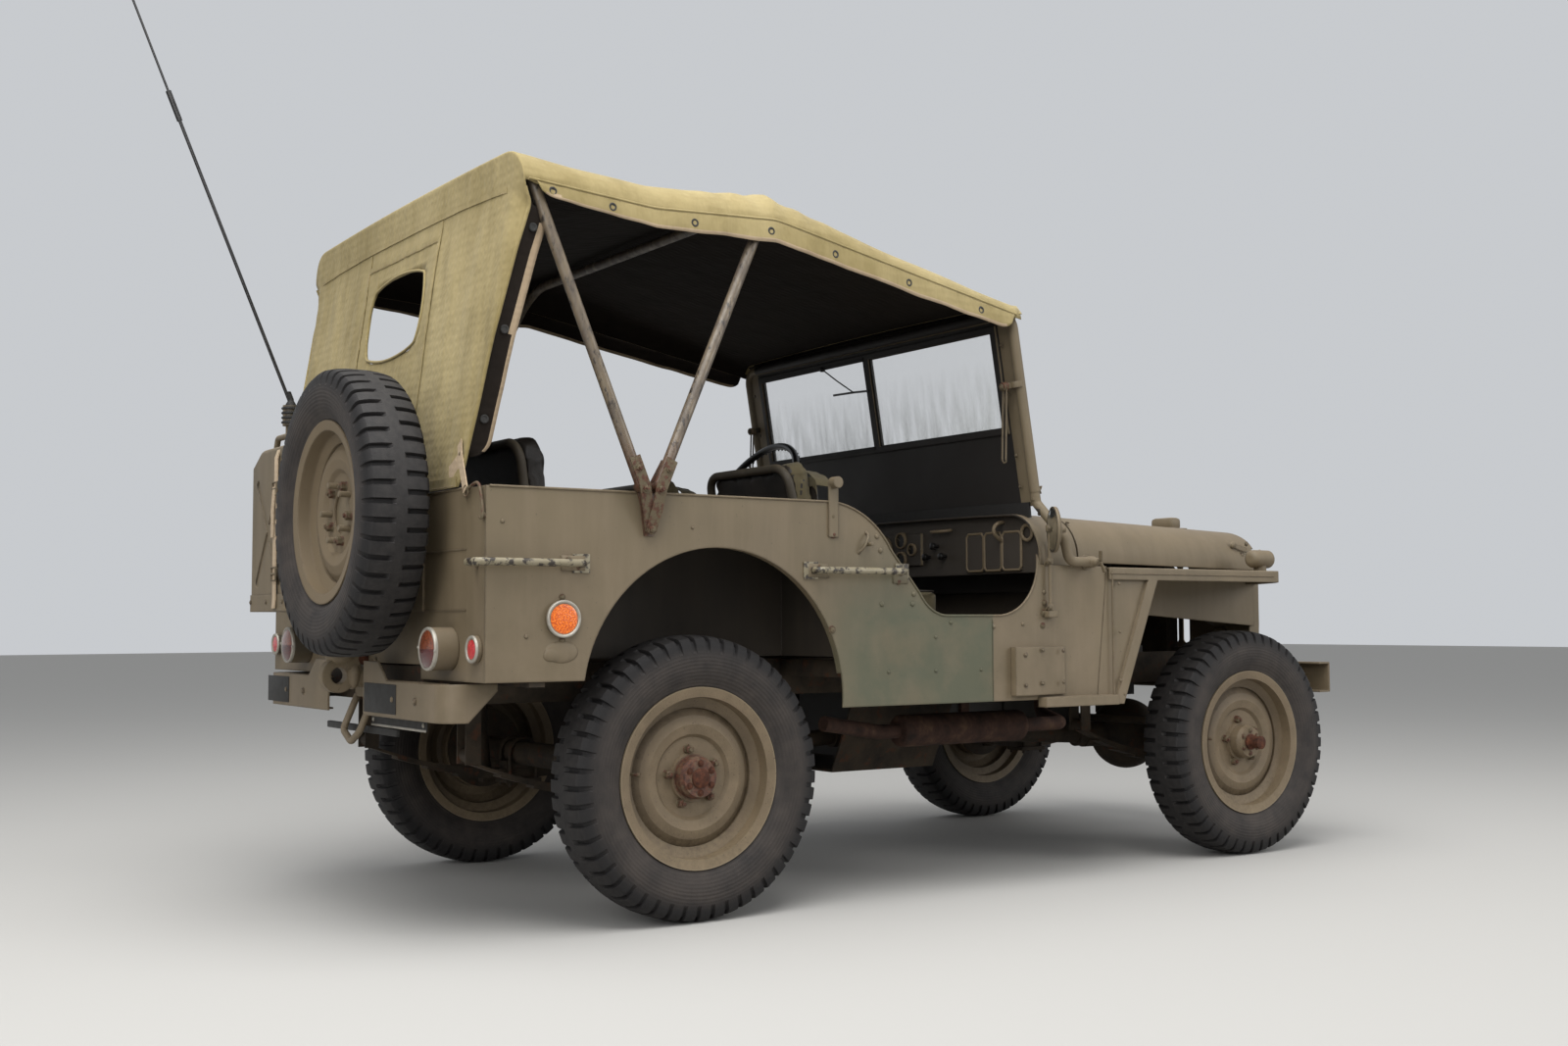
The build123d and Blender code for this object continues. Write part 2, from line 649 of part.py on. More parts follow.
with BuildPart() as grille:
    with BuildSketch(cross_plane(aft(GRILLE_Y))) as face:
        with Locations((0, (GRILLE_TOP + GRILLE_BOTTOM) / 2)):
            Rectangle(2 * GRILLE_HALF, GRILLE_TOP - GRILLE_BOTTOM)
        fillet(face.vertices().group_by(Axis.Z)[-1], 84)
        fillet(face.vertices().group_by(Axis.Z)[0], 30)
        with Locations((0, SLOT_MIDDLE)):
            with GridLocations(SLOT_PITCH, 1, SLOT_COUNT, 1):
                SlotOverall(SLOT_HEIGHT, SLOT_WIDTH, rotation=90, mode=Mode.SUBTRACT)
        with Locations((-LAMP_X, LAMP_Z), (LAMP_X, LAMP_Z)):
            Circle(LAMP_RADIUS, mode=Mode.SUBTRACT)
        with Locations((-LAMP_X, MARKER_Z), (LAMP_X, MARKER_Z)):
            Circle(MARKER_RADIUS, mode=Mode.SUBTRACT)
    extrude(face.sketch, amount=-SHEET)
    # Turned-back flanges along both sides and the lower edge, down to the front cross member
    for side, side_name in SIDES:
        block(
            (side * (GRILLE_HALF - SHEET), side * GRILLE_HALF),
            (aft(GRILLE_Y) + 1, aft(GRILLE_Y) + 48),
            (GRILLE_BOTTOM + 30, GRILLE_TOP - 86),
        )
        block(
            (side * (RAIL_INNER + 2), side * (RAIL_OUTER - 2)),
            (aft(GRILLE_Y) + 1, aft(GRILLE_Y) + 44),
            (RAIL_TOP + 0.2, RAIL_TOP + SHEET),
        )
grille.part.label = "grille"
export_step(grille.part, "parts/grille.step")


# Headlamps and marker lamps, set behind the grille
with BuildPart() as headlamps:
    for x, z, radius, depth in (
        (-LAMP_X, LAMP_Z, LAMP_RADIUS, 82),
        (LAMP_X, LAMP_Z, LAMP_RADIUS, 82),
        (-LAMP_X, MARKER_Z, MARKER_RADIUS, 46),
        (LAMP_X, MARKER_Z, MARKER_RADIUS, 46),
    ):
        face_y = aft(GRILLE_Y) + SHEET + 0.3
        bowl_plane = Plane(origin=(x, face_y, z), x_dir=(1, 0, 0), z_dir=(0, 0, 1))
        rim = radius + 4
        # The bowl is part of a ball through the rim and the back of the lamp
        ball_middle = (depth**2 - rim**2 - LAMP_RIM**2) / (2 * (depth - LAMP_RIM))
        ball_radius = depth - ball_middle
        halfway = radians(45) + asin((LAMP_RIM - ball_middle) / ball_radius) / 2
        with BuildSketch(bowl_plane) as bowl:
            with BuildLine():
                Polyline((0, depth), (0, 8), (radius - 4, 2), (rim, 0), (rim, LAMP_RIM))
                ThreePointArc(
                    (rim, LAMP_RIM),
                    (ball_radius * cos(halfway), ball_middle + ball_radius * sin(halfway)),
                    (0, depth),
                )
            make_face()
        revolve(bowl.sketch, axis=Axis((x, face_y, z), (0, 1, 0)))
headlamps.part.label = "headlamps"
export_step(headlamps.part, "parts/headlamps.step")


# Front wings: flat top with a turned-down edge, sloping splash plate and outer skirt
WING_TOP = 887.0
WING_EDGE = 36.0
WING_OUTER = BODY_HALF_WIDTH + 12.0
WING_REAR = SIDE_FRONT - 1.0
WING_BEND = FRONT_STATION + 472.0
WING_LOW_REAR = -1396.0
WING_LOW_Z = 492.0
WING_INNER_REAR = 560.0
WING_INNER_FRONT = 516.0
WING_FRONT_OUTER = FRONT_STATION - 63.0
WING_FRONT_INNER = HOOD_FRONT + 8.0
WING_VALANCE_BOTTOM = 714.0

for side, side_name in SIDES:
    with BuildPart() as front_wing:
        with BuildSketch(Plane.XY.offset(WING_TOP)) as top_sheet:
            with BuildLine():
                Polyline(
                    (side * WING_INNER_REAR, aft(WING_REAR)),
                    (side * WING_OUTER, aft(WING_REAR)),
                    (side * WING_OUTER, aft(WING_FRONT_OUTER)),
                    (side * (WING_OUTER - 60), aft(WING_FRONT_OUTER) - 62),
                    (side * WING_INNER_FRONT, aft(WING_FRONT_INNER)),
                    (side * WING_INNER_FRONT, aft(WING_BEND - 40)),
                    close=True,
                )
            make_face()
        extrude(top_sheet.sketch, amount=-WING_EDGE)
        with BuildSketch(Plane.XY.offset(WING_TOP - SHEET)) as under:
            with BuildLine():
                Polyline(
                    (side * (WING_INNER_REAR - 60), aft(WING_REAR) + 10),
                    (side * (WING_OUTER - SHEET), aft(WING_REAR) + 10),
                    (side * (WING_OUTER - SHEET), aft(WING_FRONT_OUTER) + 2),
                    (side * (WING_OUTER - 62), aft(WING_FRONT_OUTER) - 56),
                    (side * (WING_INNER_FRONT - 60), aft(WING_FRONT_INNER) + 30),
                    close=True,
                )
            make_face()
        extrude(under.sketch, amount=-WING_EDGE, mode=Mode.SUBTRACT)
        long_edges = front_wing.edges().filter_by(Axis.Y).group_by(Axis.Z)[-1].sort_by(Axis.X)
        fillet(long_edges[0 if side < 0 else -1], 4)
        # Splash plate from the bend down to the sill, in line with the skirt's front edge
        slope_outline = (
            (aft(WING_BEND), WING_TOP - 2),
            (aft(WING_BEND) + 7, WING_TOP - 2),
            (aft(WING_LOW_REAR) + 5, WING_LOW_Z),
            (aft(WING_LOW_REAR) - 2, WING_LOW_Z),
        )
        splash_inner = side * (RAIL_OUTER + 1)
        cut_plate(side_plane(splash_inner), slope_outline, side * (WING_OUTER - abs(splash_inner)))
        # Skirt that closes the side between the splash plate and the body
        skirt_outline = (
            (aft(WING_REAR), WING_TOP - 2),
            (aft(WING_BEND) + 2, WING_TOP - 2),
            (aft(WING_LOW_REAR), WING_LOW_Z),
            (aft(WING_REAR) + 44, WING_LOW_Z + 20),
        )
        cut_plate(side_plane(side * BODY_HALF_WIDTH), skirt_outline, -side * SHEET)
        # Turned flange along the slope
        flange_outline = (
            (aft(WING_BEND) + 40, WING_TOP - 2),
            (aft(WING_BEND), WING_TOP - 2),
            (aft(WING_LOW_REAR) - 2, WING_LOW_Z),
            (aft(WING_LOW_REAR) + 34, WING_LOW_Z),
        )
        flange_width = WING_OUTER - BODY_HALF_WIDTH + 1
        cut_plate(side_plane(side * (BODY_HALF_WIDTH - 1)), flange_outline, side * flange_width)
        # Inner valance along the engine bay
        valance_outline = (
            (aft(WING_BEND - 40), WING_TOP - 2),
            (aft(WING_FRONT_INNER) + 20, WING_TOP - 2),
            (aft(WING_FRONT_INNER) + 20, WING_VALANCE_BOTTOM),
            (aft(WING_BEND - 40), WING_VALANCE_BOTTOM + 46),
        )
        cut_plate(side_plane(side * WING_INNER_FRONT), valance_outline, side * SHEET)
    front_wing.part.label = "front_fender_" + side_name
    export_step(front_wing.part, "parts/front_fender_" + side_name + ".step")


# Windscreen: outer frame with its side arms, lower panel, glass rim and centre bar
SCREEN_LEAN = 9.5
SCREEN_BASE = (0.0, aft(-1133), 1062.0)
SCREEN_LENGTH = 556.0
SCREEN_HALF = BODY_HALF_WIDTH - 63.0
SCREEN_TUBE = 15.0
GLASS_LOW = 232.0
GLASS_HIGH = 512.0
GLASS_HALF = SCREEN_HALF - 86.0
SCREEN_PIVOT_Y = aft(-1262)
SCREEN_PIVOT_Z = 900.0
SCREEN_PIVOT_X = BODY_HALF_WIDTH + 20.0

screen_plane = Plane(
    origin=SCREEN_BASE,
    x_dir=(1, 0, 0),
    z_dir=(0, -cos(radians(SCREEN_LEAN)), sin(radians(SCREEN_LEAN))),
)


def screen_point(x, up):
    """A point in the middle plane of the leaning windscreen."""
    return tuple(screen_plane.from_local_coords(Vector(x, up, 0)))


with BuildPart() as windscreen_frame:
    bent_tube(
        (
            screen_point(-SCREEN_HALF, 40),
            screen_point(-SCREEN_HALF, SCREEN_LENGTH),
            screen_point(SCREEN_HALF, SCREEN_LENGTH),
            screen_point(SCREEN_HALF, 40),
        ),
        46,
        SCREEN_TUBE,
    )
    for side, side_name in SIDES:
        bent_tube(
            (
                screen_point(side * SCREEN_HALF, 60),
                screen_point(side * SCREEN_HALF, 8),
                (side * SCREEN_PIVOT_X, SCREEN_BASE[1] - 24, SCREEN_PIVOT_Z + 70),
                (side * SCREEN_PIVOT_X, SCREEN_BASE[1] - 44, SCREEN_PIVOT_Z),
                (side * SCREEN_PIVOT_X, SCREEN_PIVOT_Y, SCREEN_PIVOT_Z),
            ),
            (20, 20, 30),
            SCREEN_TUBE - 1,
        )
    # Lower panel and glass rim as one pressing with the window cut out
    with BuildSketch(screen_plane) as panel:
        with Locations((0, SCREEN_LENGTH / 2)):
            Rectangle(2 * SCREEN_HALF, SCREEN_LENGTH)
        with Locations((0, (GLASS_LOW + GLASS_HIGH) / 2)):
            Rectangle(2 * GLASS_HALF, GLASS_HIGH - GLASS_LOW, mode=Mode.SUBTRACT)
    extrude(panel.sketch, amount=2, both=True)
    # Inner rim bars round the glass
    with BuildSketch(screen_plane) as rim:
        with Locations((0, (GLASS_LOW + GLASS_HIGH) / 2)):
            Rectangle(2 * GLASS_HALF + 36, GLASS_HIGH - GLASS_LOW + 36)
            Rectangle(2 * GLASS_HALF, GLASS_HIGH - GLASS_LOW, mode=Mode.SUBTRACT)
    extrude(rim.sketch, amount=9, both=True)
    with BuildSketch(screen_plane) as bar:
        with Locations((0, (GLASS_LOW + GLASS_HIGH) / 2)):
            Rectangle(26, GLASS_HIGH - GLASS_LOW + 4)
    extrude(bar.sketch, amount=9, both=True)
windscreen_frame.part.label = "windscreen_frame"
export_step(windscreen_frame.part, "parts/windscreen_frame.step")

with BuildPart() as windscreen_glass:
    with BuildSketch(screen_plane) as panes:
        pane_width = GLASS_HALF - 13 - 2 * SEAT_GAP
        for side, side_name in SIDES:
            with Locations((side * (13 + SEAT_GAP + pane_width / 2), (GLASS_LOW + GLASS_HIGH) / 2)):
                Rectangle(pane_width, GLASS_HIGH - GLASS_LOW - 2 * SEAT_GAP)
    extrude(panes.sketch, amount=2.5, both=True)
windscreen_glass.part.label = "windscreen_glass"
export_step(windscreen_glass.part, "parts/windscreen_glass.step")


# Wheels and tyres
RIM_FLANGE = 223.0
BEAD_RADIUS = 203.0
WELL_RADIUS = 176.0
HALF_TRACK = TRACK / 2
KINGPIN_X = 548.0
SPINDLE_RADIUS = 20.0
SPINDLE_END = 662.0
DRUM_RADIUS = 122.0
DRUM_INNER = 112.0
DRUM_MOUTH = 594.0
DRUM_BACK = 626.0

# Columns: name, side, axle y, distance the cap stands out past the hub flange
WHEEL_TABLE = (
    ("rear_right", -1, REAR_AXLE_Y, 0.0),
    ("rear_left", 1, REAR_AXLE_Y, 0.0),
    ("front_right", -1, FRONT_AXLE_Y, 44.0),
    ("front_left", 1, FRONT_AXLE_Y, 44.0),
)


def wheel_plane(side, axle_y):
    """Radial plane of a wheel; sketches are drawn in (distance outboard of centre, radius)."""
    return Plane(origin=(side * HALF_TRACK, axle_y, HUB_HEIGHT), x_dir=(side, 0, 0), z_dir=(0, -side, 0))


# Rim and disc in half section, as (distance outboard of centre, radius): inner face, then outer
RIM_INSIDE = (
    (64, RIM_FLANGE),
    (58, RIM_FLANGE),
    (55, BEAD_RADIUS),
    (26, BEAD_RADIUS - 1),
    (18, WELL_RADIUS),
    (-22, WELL_RADIUS),
    (-30, BEAD_RADIUS - 1),
    (-55, BEAD_RADIUS),
    (-58, RIM_FLANGE),
    (-64, RIM_FLANGE),
    (-60, BEAD_RADIUS - 5),
    (-33, BEAD_RADIUS - 7),
    (-25, WELL_RADIUS - 5),
    (2, WELL_RADIUS - 5),
    (6, 168),
    (20, 150),
    (26, 130),
    (20, 108),
)
RIM_OUTSIDE = (
    (17, 98),
    (26, 106),
    (32, 130),
    (26, 152),
    (12, 171),
    (20, WELL_RADIUS - 5),
    (29, BEAD_RADIUS - 7),
    (60, BEAD_RADIUS - 5),
)


def hub_outline(cap):
    """Half section inside the disc: brake drum, hub over the spindle, drive flange and cap."""
    spindle_hole = SPINDLE_RADIUS + RUNNING_GAP
    hole_end = SPINDLE_END + 6 - HALF_TRACK
    drum_mouth = DRUM_MOUTH - HALF_TRACK
    drum_back = DRUM_BACK - HALF_TRACK
    hub_face = 62.0
    points = [
        (11, 100),
        (drum_back + 5, 100),
        (drum_back + 5, DRUM_RADIUS),
        (drum_mouth, DRUM_RADIUS),
        (drum_mouth, DRUM_INNER),
        (drum_back, DRUM_INNER),
        (drum_back, spindle_hole),
        (hole_end, spindle_hole),
        (hole_end, 0),
        (hub_face + cap, 0),
    ]
    if cap:
        points += [(hub_face + cap, 17), (hub_face, 17)]
    return points + [(hub_face, 46), (hub_face - 12, 52), (26, 52), (26, 60), (17, 62)]


for name, side, axle_y, cap in WHEEL_TABLE:
    centre_line = Axis((side * HALF_TRACK, axle_y, HUB_HEIGHT), (1, 0, 0))
    with BuildPart() as wheel:
        with BuildSketch(wheel_plane(side, axle_y)) as half:
            with BuildLine():
                Polyline(*RIM_INSIDE, *hub_outline(cap), *RIM_OUTSIDE, close=True)
            make_face()
        revolve(half.sketch, axis=centre_line)
    wheel.part.label = "wheel_" + name
    export_step(wheel.part, "parts/wheel_" + name + ".step")


def tyre_section(plane, half_width):
    """Half section of the tyre: flat tread, round shoulders, bulged walls down to the bead."""
    tread = TYRE_RADIUS
    bead = BEAD_RADIUS + SEAT_GAP
    bulge = (RIM_FLANGE + TYRE_RADIUS) / 2 - 11.5
    rise = TYRE_RADIUS - 28
    with BuildSketch(plane) as section:
        with BuildLine():
            Line((-54.5, bead), (54.5, bead))
            Line((54.5, bead), (58, RIM_FLANGE + 1))
            ThreePointArc((58, RIM_FLANGE + 1), (half_width, bulge), (half_width - 9, rise))
            shoulder, edge = half_width - 9, half_width - 32
            ThreePointArc((shoulder, rise), (half_width - 16, tread - 12), (edge, tread - 4))
            ThreePointArc((edge, tread - 4), (0, tread), (-edge, tread - 4))
            ThreePointArc((-edge, tread - 4), (16 - half_width, tread - 12), (-shoulder, rise))
            ThreePointArc((9 - half_width, rise), (-half_width, bulge), (-58, RIM_FLANGE + 1))
            Line((-58, RIM_FLANGE + 1), (-54.5, bead))
        make_face()
    return section.sketch


for name, side, axle_y, cap in WHEEL_TABLE:
    with BuildPart() as tyre:
        revolve(
            tyre_section(wheel_plane(side, axle_y), TYRE_WIDTH / 2),
            axis=Axis((side * HALF_TRACK, axle_y, HUB_HEIGHT), (1, 0, 0)),
        )
    tyre.part.label = "tyre_" + name
    export_step(tyre.part, "parts/tyre_" + name + ".step")


# Axles: tube, offset differential, spring pads; spindles at the rear, ball ends at the front
DIFF_X = -150.0
DIFF_RADIUS = 118.0
PINION_REACH = 205.0
PINION_RADIUS = 38.0
AXLE_TUBE = 35.0
BALL_RADIUS = 58.0
BACKING_X = 583.0
PAD_TOP = HUB_HEIGHT - AXLE_TUBE + 2

TUBE_END = SPINDLE_END - 42.0

with BuildPart() as rear_axle:
    rod((-TUBE_END, REAR_AXLE_Y, HUB_HEIGHT), (TUBE_END, REAR_AXLE_Y, HUB_HEIGHT), AXLE_TUBE)
    rod((-SPINDLE_END, REAR_AXLE_Y, HUB_HEIGHT), (SPINDLE_END, REAR_AXLE_Y, HUB_HEIGHT), SPINDLE_RADIUS)
    for side, side_name in SIDES:
        rod(
            (side * BACKING_X, REAR_AXLE_Y, HUB_HEIGHT),
            (side * (BACKING_X + 5), REAR_AXLE_Y, HUB_HEIGHT),
            DRUM_RADIUS - 2,
        )
    with Locations((DIFF_X, REAR_AXLE_Y, HUB_HEIGHT)):
        Sphere(DIFF_RADIUS)
    pinion_end = (DIFF_X, REAR_AXLE_Y - PINION_REACH, HUB_HEIGHT)
    rod(pinion_end, (DIFF_X, REAR_AXLE_Y, HUB_HEIGHT), PINION_RADIUS)
    for side, side_name in SIDES:
        block(
            (side * SPRING_X - 26, side * SPRING_X + 26),
            (REAR_AXLE_Y - 50, REAR_AXLE_Y + 50),
            (PAD_TOP - 12, PAD_TOP + 10),
        )
rear_axle.part.label = "rear_axle"
export_step(rear_axle.part, "parts/rear_axle.step")

with BuildPart() as front_axle:
    ball_root = KINGPIN_X - 20
    rod((-ball_root, FRONT_AXLE_Y, HUB_HEIGHT), (ball_root, FRONT_AXLE_Y, HUB_HEIGHT), AXLE_TUBE)
    with Locations((-KINGPIN_X, FRONT_AXLE_Y, HUB_HEIGHT), (KINGPIN_X, FRONT_AXLE_Y, HUB_HEIGHT)):
        Sphere(BALL_RADIUS)
    with Locations((DIFF_X, FRONT_AXLE_Y, HUB_HEIGHT)):
        Sphere(DIFF_RADIUS)
    pinion_end = (DIFF_X, FRONT_AXLE_Y + PINION_REACH, HUB_HEIGHT)
    rod((DIFF_X, FRONT_AXLE_Y, HUB_HEIGHT), pinion_end, PINION_RADIUS)
    for side, side_name in SIDES:
        block(
            (side * SPRING_X - 26, side * SPRING_X + 26),
            (FRONT_AXLE_Y - 50, FRONT_AXLE_Y + 50),
            (PAD_TOP - 12, PAD_TOP + 10),
        )
        rod(
            (side * (KINGPIN_X - 92), FRONT_AXLE_Y, HUB_HEIGHT),
            (side * (KINGPIN_X - 80), FRONT_AXLE_Y, HUB_HEIGHT),
            52,
        )
front_axle.part.label = "front_axle"
export_step(front_axle.part, "parts/front_axle.step")


# Steering knuckles: cup over the ball, backing plate and spindle, kingpin caps and track arm
CUP_INNER = BALL_RADIUS + RUNNING_GAP + 0.2
CUP_OUTER = 71.0
CUP_MOUTH = -8.0
ARM_REACH = 150.0
ARM_Z = 408.0
TIE_ROD_RADIUS = 12.0
BALL_JOINT_HALF = 14.0


def cup_rim(radius):
    """Radius of the cup's open rim, where the sphere of this radius meets the mouth plane."""
    return (radius**2 - CUP_MOUTH**2) ** 0.5


for side, side_name in SIDES:
    ball = (side * KINGPIN_X, FRONT_AXLE_Y, HUB_HEIGHT)
    knuckle_plane = Plane(origin=ball, x_dir=(side, 0, 0), z_dir=(0, -side, 0))
    plate_near = BACKING_X - KINGPIN_X
    with BuildPart() as knuckle:
        with BuildSketch(knuckle_plane) as half:
            with BuildLine():
                Line((CUP_MOUTH, cup_rim(CUP_INNER)), (CUP_MOUTH, cup_rim(CUP_OUTER)))
                ThreePointArc(
                    (CUP_MOUTH, cup_rim(CUP_OUTER)),
                    (20, (CUP_OUTER**2 - 20**2) ** 0.5),
                    (plate_near, (CUP_OUTER**2 - plate_near**2) ** 0.5),
                )
                Polyline(
                    (plate_near, (CUP_OUTER**2 - plate_near**2) ** 0.5),
                    (plate_near, DRUM_RADIUS - 2),
                    (plate_near + SHEET, DRUM_RADIUS - 2),
                    (plate_near + SHEET, 50),
                    (CUP_OUTER, 30),
                    (CUP_OUTER, SPINDLE_RADIUS),
                    (SPINDLE_END - KINGPIN_X, SPINDLE_RADIUS),
                    (SPINDLE_END - KINGPIN_X, 0),
                    (CUP_INNER, 0),
                )
                ThreePointArc(
                    (CUP_INNER, 0),
                    (CUP_INNER * cos(radians(50)), CUP_INNER * sin(radians(50))),
                    (CUP_MOUTH, cup_rim(CUP_INNER)),
                )
            make_face()
        revolve(half.sketch, axis=Axis(ball, (1, 0, 0)))
        for up in (-1, 1):
            rod((ball[0], ball[1], ball[2] + up * 62), (ball[0], ball[1], ball[2] + up * 84), 24)
        # Track arm, rearwards at the height of the tie rod's ball joint
        arm_top = ARM_Z - BALL_JOINT_HALF - 4
        with BuildSketch(Plane.XY.offset(arm_top - 14)) as arm:
            with BuildLine():
                Polyline(
                    (ball[0] - 17, ball[1] + 62),
                    (ball[0] + 17, ball[1] + 62),
                    (ball[0] + 13, ball[1] + ARM_REACH + 12),
                    (ball[0] - 13, ball[1] + ARM_REACH + 12),
                    close=True,
                )
            make_face()
        extrude(arm.sketch, amount=14)
        rod((ball[0], ball[1] + ARM_REACH, arm_top - 1), (ball[0], ball[1] + ARM_REACH, arm_top + 3.6), 9)
    knuckle.part.label = "knuckle_" + side_name
    export_step(knuckle.part, "parts/knuckle_" + side_name + ".step")

with BuildPart() as tie_rod:
    rod_y = FRONT_AXLE_Y + ARM_REACH
    rod((-KINGPIN_X + 8, rod_y, ARM_Z), (KINGPIN_X - 8, rod_y, ARM_Z), TIE_ROD_RADIUS)
    for side, side_name in SIDES:
        with Locations((side * KINGPIN_X, rod_y, ARM_Z)):
            Cylinder(16, 2 * BALL_JOINT_HALF)
tie_rod.part.label = "tie_rod"
export_step(tie_rod.part, "parts/tie_rod.step")


# Leaf springs under the axles, with their plates and U-bolts
LEAF = 7.0
LEAF_SHARES = (1.0, 0.82, 0.62, 0.42)
SPRING_SEAT_Z = PAD_TOP - 12 - 1.6
U_BOLT_RADIUS = 5.5

with BuildPart() as leaf_springs:
    for axle_y, half_span in ((FRONT_AXLE_Y, FRONT_SPRING_HALF), (REAR_AXLE_Y, REAR_SPRING_HALF)):
        rise = SPRING_EYE_Z - EYE_RADIUS + LEAF / 2 - SPRING_SEAT_Z
        bend = (half_span**2 + rise**2) / (2 * rise)
        reach = degrees(asin(half_span / bend))
        for side, side_name in SIDES:
            spring_face = side * SPRING_X
            centre = (axle_y, SPRING_SEAT_Z + bend)
            with BuildSketch(side_plane(spring_face)) as leaves:
                for number, share in enumerate(LEAF_SHARES):
                    radius = bend + number * LEAF
                    angle = reach * share
                    with BuildLine():
                        inner = CenterArc(centre, radius, 270 - angle, 2 * angle)
                        outer = CenterArc(centre, radius + LEAF + 0.01, 270 - angle, 2 * angle)
                        Line(inner @ 0, outer @ 0)
                        Line(inner @ 1, outer @ 1)
                    make_face()
                with Locations((axle_y - half_span, SPRING_EYE_Z), (axle_y + half_span, SPRING_EYE_Z)):
                    Circle(EYE_RADIUS)
                with Locations((axle_y - half_span, SPRING_EYE_Z), (axle_y + half_span, SPRING_EYE_Z)):
                    Circle(PIN_RADIUS + RUNNING_GAP, mode=Mode.SUBTRACT)
            extrude(leaves.sketch, amount=SPRING_HALF_WIDTH, both=True)
            plate_top = SPRING_SEAT_Z - LEAF * len(LEAF_SHARES) + 0.5
            block(
                (spring_face - 40, spring_face + 40),
                (axle_y - 56, axle_y + 56),
                (plate_top - 12, plate_top),
            )
            for bolt_side in (-1, 1):
                bolt_x = spring_face + bolt_side * 32
                hoop = AXLE_TUBE + U_BOLT_RADIUS + 1.5
                bent_tube(
                    (
                        (bolt_x, axle_y - hoop, plate_top - 22),
                        (bolt_x, axle_y - hoop, HUB_HEIGHT + hoop),
                        (bolt_x, axle_y + hoop, HUB_HEIGHT + hoop),
                        (bolt_x, axle_y + hoop, plate_top - 22),
                    ),
                    hoop - 1,
                    U_BOLT_RADIUS,
                )
leaf_springs.part.label = "leaf_springs"
export_step(leaf_springs.part, "parts/leaf_springs.step")


# Shock absorbers: lower tube on the spring plate, dust tube and a pin to the rail
SHOCK_X = 402.0
SHOCK_BODY = 19.0
SHOCK_COVER = 24.0

with BuildPart() as shock_absorbers:
    for axle_y, lean in ((FRONT_AXLE_Y, -1), (REAR_AXLE_Y, 1)):
        for side, side_name in SIDES:
            foot = (side * SHOCK_X, axle_y + lean * 78, plate_top + 3)
            middle = (side * SHOCK_X, axle_y + lean * 96, 445)
            top = (side * SHOCK_X, axle_y + lean * 114, 596)
            rod(foot, middle, SHOCK_BODY)
            rod(middle, top, SHOCK_COVER)
            rod((side * (RAIL_OUTER + SEAT_GAP), top[1], 584), (side * SHOCK_X, top[1], 584), 9)
            block(
                (side * (SPRING_X + 40 + SEAT_GAP), side * (SHOCK_X + 16)),
                (axle_y + lean * 30, foot[1] + 16 * lean),
                (plate_top - 12, plate_top + 4),
            )
shock_absorbers.part.label = "shock_absorbers"
export_step(shock_absorbers.part, "parts/shock_absorbers.step")


# Engine as one plain block with its sump and the two feet on the rails
ENGINE_FRONT = FRONT_STATION - 28.0
ENGINE_REAR = FRONT_STATION + 532.0
ENGINE_HALF = 168.0
ENGINE_TOP = 890.0
ENGINE_BOTTOM = 482.0

with BuildPart() as engine_block:
    block((-ENGINE_HALF, ENGINE_HALF), (aft(ENGINE_FRONT), aft(ENGINE_REAR)), (ENGINE_BOTTOM, ENGINE_TOP))
    chamfer(engine_block.edges().filter_by(Axis.Y).group_by(Axis.Z)[-1], 40)
    block((-105, 130), (aft(ENGINE_REAR - 350), aft(ENGINE_REAR - 20)), (385, ENGINE_BOTTOM + 1))
    for side, side_name in SIDES:
        block(
            (side * (ENGINE_HALF - 1), side * (RAIL_INNER + 30)),
            (aft(ENGINE_FRONT + 150), aft(ENGINE_FRONT + 210)),
            (RAIL_TOP + SEAT_GAP, RAIL_TOP + 22),
        )
engine_block.part.label = "engine_block"
export_step(engine_block.part, "parts/engine_block.step")


# Radiator core between the lamps, standing on the rails
RADIATOR_REAR = ENGINE_FRONT - 100.0

with BuildPart() as radiator:
    block((-228, 228), (aft(RADIATOR_REAR - 55), aft(RADIATOR_REAR)), (560, 925))
    fillet(radiator.edges().filter_by(Axis.Y).group_by(Axis.Z)[-1], 30)
    block(
        (-RAIL_INNER - 30, RAIL_INNER + 30),
        (aft(RADIATOR_REAR - 45), aft(RADIATOR_REAR - 20)),
        (RAIL_TOP + SEAT_GAP, RAIL_TOP + 12),
    )
    rod((90, aft(RADIATOR_REAR - 28), 920), (90, aft(RADIATOR_REAR - 28), 955), 26)
radiator.part.label = "radiator"
export_step(radiator.part, "parts/radiator.step")


# Gearbox with the transfer gears, and the two propeller shafts
TRANSFER_Z = 392.0
SHAFT_RADIUS = 24.0

with BuildPart() as gearbox:
    block((-118, 118), (aft(ENGINE_REAR) + SEAT_GAP, aft(-1340)), (420, 628))
    block((-95, 95), (aft(-1345), aft(-1060)), (440, 622))
    fillet(gearbox.edges().filter_by(Axis.Y).group_by(Axis.Z)[-1], 20)
    block((-215, 60), (aft(-1062), aft(-820)), (330, 560))
    block((-RAIL_INNER - 20, RAIL_INNER + 20), (aft(-960), aft(-900)), (RAIL_TOP + SEAT_GAP, RAIL_TOP + 8))
    block((-60, 20), (aft(-960), aft(-900)), (555, RAIL_TOP + 2))
gearbox.part.label = "gearbox"
export_step(gearbox.part, "parts/gearbox.step")

